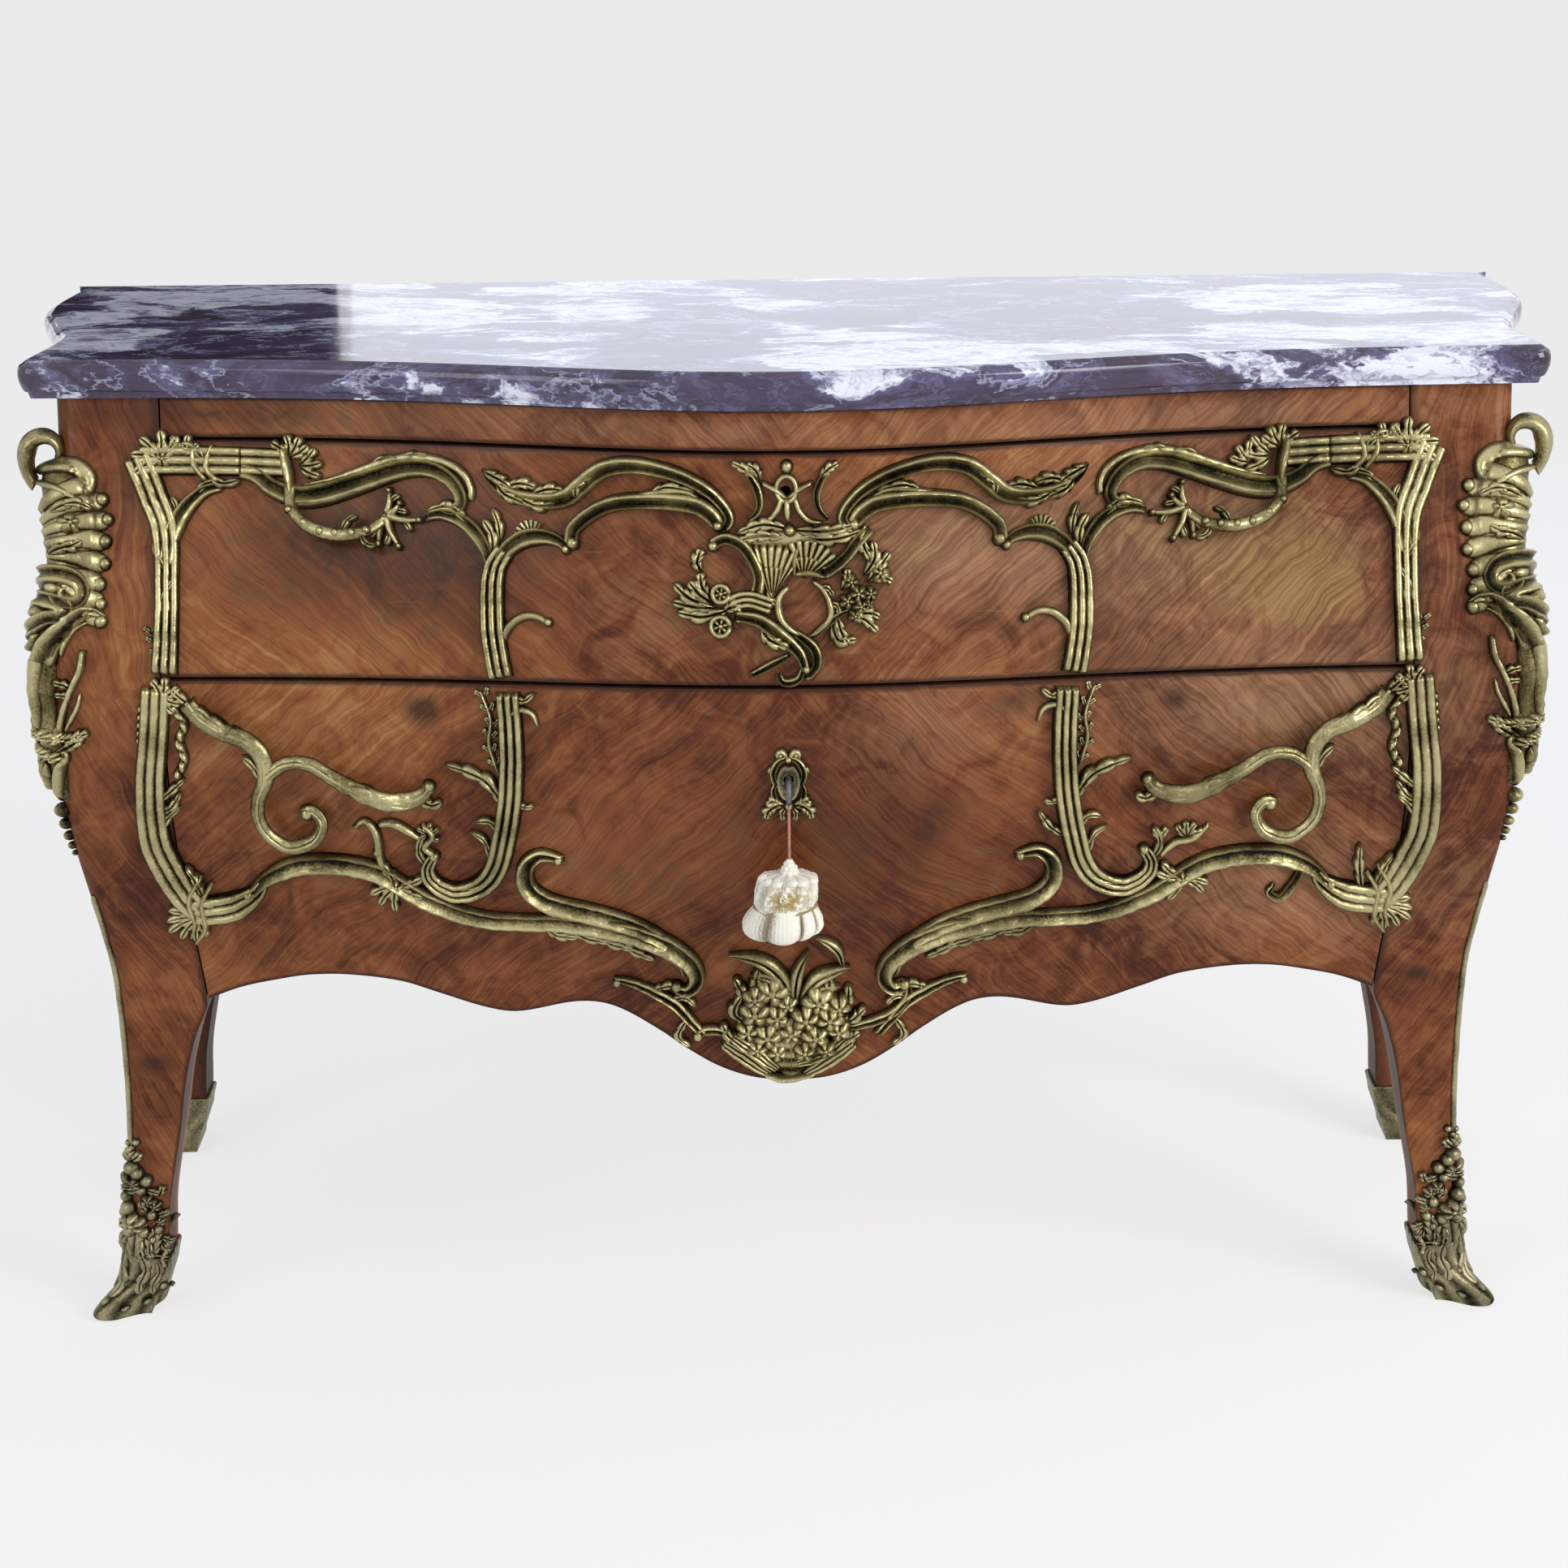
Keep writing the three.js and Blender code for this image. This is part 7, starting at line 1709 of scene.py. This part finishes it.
# Floor, light and background
def pale_for_camera(tree, base, share):
    """Mixes a shader with plain white where the camera, a mirror or glass looks at it."""
    rays = tree.nodes.new("ShaderNodeLightPath")
    seen = rays.outputs["Is Camera Ray"]
    for other in ("Is Glossy Ray", "Is Transmission Ray"):
        either = tree.nodes.new("ShaderNodeMath")
        either.operation = "MAXIMUM"
        tree.links.new(seen, either.inputs[0])
        tree.links.new(rays.outputs[other], either.inputs[1])
        seen = either.outputs[0]
    part = tree.nodes.new("ShaderNodeMath")
    part.operation = "MULTIPLY"
    part.inputs[1].default_value = share
    tree.links.new(seen, part.inputs[0])
    mixed = tree.nodes.new("ShaderNodeMixShader")
    white = tree.nodes.new("ShaderNodeEmission")
    white.inputs["Color"].default_value = (1, 1, 1, 1)
    white.inputs["Strength"].default_value = 1.0
    tree.links.new(part.outputs[0], mixed.inputs[0])
    tree.links.new(base, mixed.inputs[1])
    tree.links.new(white.outputs[0], mixed.inputs[2])
    return mixed.outputs[0]


def sheet(name, corners, colour, specular):
    mesh = bpy.data.meshes.new(name)
    mesh.from_pydata(corners, [], [(0, 1, 2, 3)])
    piece = bpy.data.objects.new(name, mesh)
    scene.collection.objects.link(piece)
    f = Finish(name, roughness=0.9)
    f.shader.inputs["Base Color"].default_value = colour
    f.shader.inputs["Specular IOR Level"].default_value = specular
    mesh.materials.append(f.material)
    return piece, f


def ground():
    piece, f = sheet("floor", [(-60, -60, 0), (60, -60, 0), (60, 60, 0), (-60, 60, 0)], (0.93, 0.93, 0.94, 1),
                     0.0)
    output = f.tree.nodes["Material Output"]
    f.tree.links.new(pale_for_camera(f.tree, f.shader.outputs[0], 0.68), output.inputs["Surface"])


def panel(name, place, size, power, colour=(1, 1, 1), aim=(0, 0, 0.5)):
    light = bpy.data.lights.new(name, "AREA")
    light.shape = "RECTANGLE"
    light.size, light.size_y = size
    light.energy = power
    light.color = colour
    lamp = bpy.data.objects.new(name, light)
    scene.collection.objects.link(lamp)
    lamp.location = place
    lamp.rotation_euler = (Vector(aim) - Vector(place)).to_track_quat("-Z", "Y").to_euler()
    lamp.visible_camera = False
    return lamp


def dark_card():
    """A dark card seen only as the shaded end of the marble's reflection."""
    piece, _ = sheet("dark_card", [(-4.6, 3.2, 1.2), (-0.83, 3.2, 1.2), (-0.83, 3.2, 3.4), (-4.6, 3.2, 3.4)],
                     (0.035, 0.026, 0.024, 1), 0.1)
    piece.visible_camera = False
    piece.visible_shadow = False
    piece.visible_diffuse = False


ground()
dark_card()
panel("key_light", (3.1, -2.5, 2.2), (2.2, 2.0), 100, (1.0, 0.985, 0.96))
panel("fill_light", (-2.8, -3.0, 2.2), (2.2, 2.2), 32, (0.98, 0.99, 1.0))
panel("window", (0.88, 3.1, 2.0), (3.4, 1.9), 14, (0.70, 0.80, 1.0), (0.88, 0.0, 0.9))
world = bpy.data.worlds.new("studio")
scene.world = world
world.use_nodes = True
sky = world.node_tree.nodes["Background"]
sky.inputs["Color"].default_value = (0.92, 0.94, 0.97, 1)
sky.inputs["Strength"].default_value = 0.5
surface = world.node_tree.nodes["World Output"].inputs["Surface"]
world.node_tree.links.new(pale_for_camera(world.node_tree, sky.outputs[0], 1.0), surface)
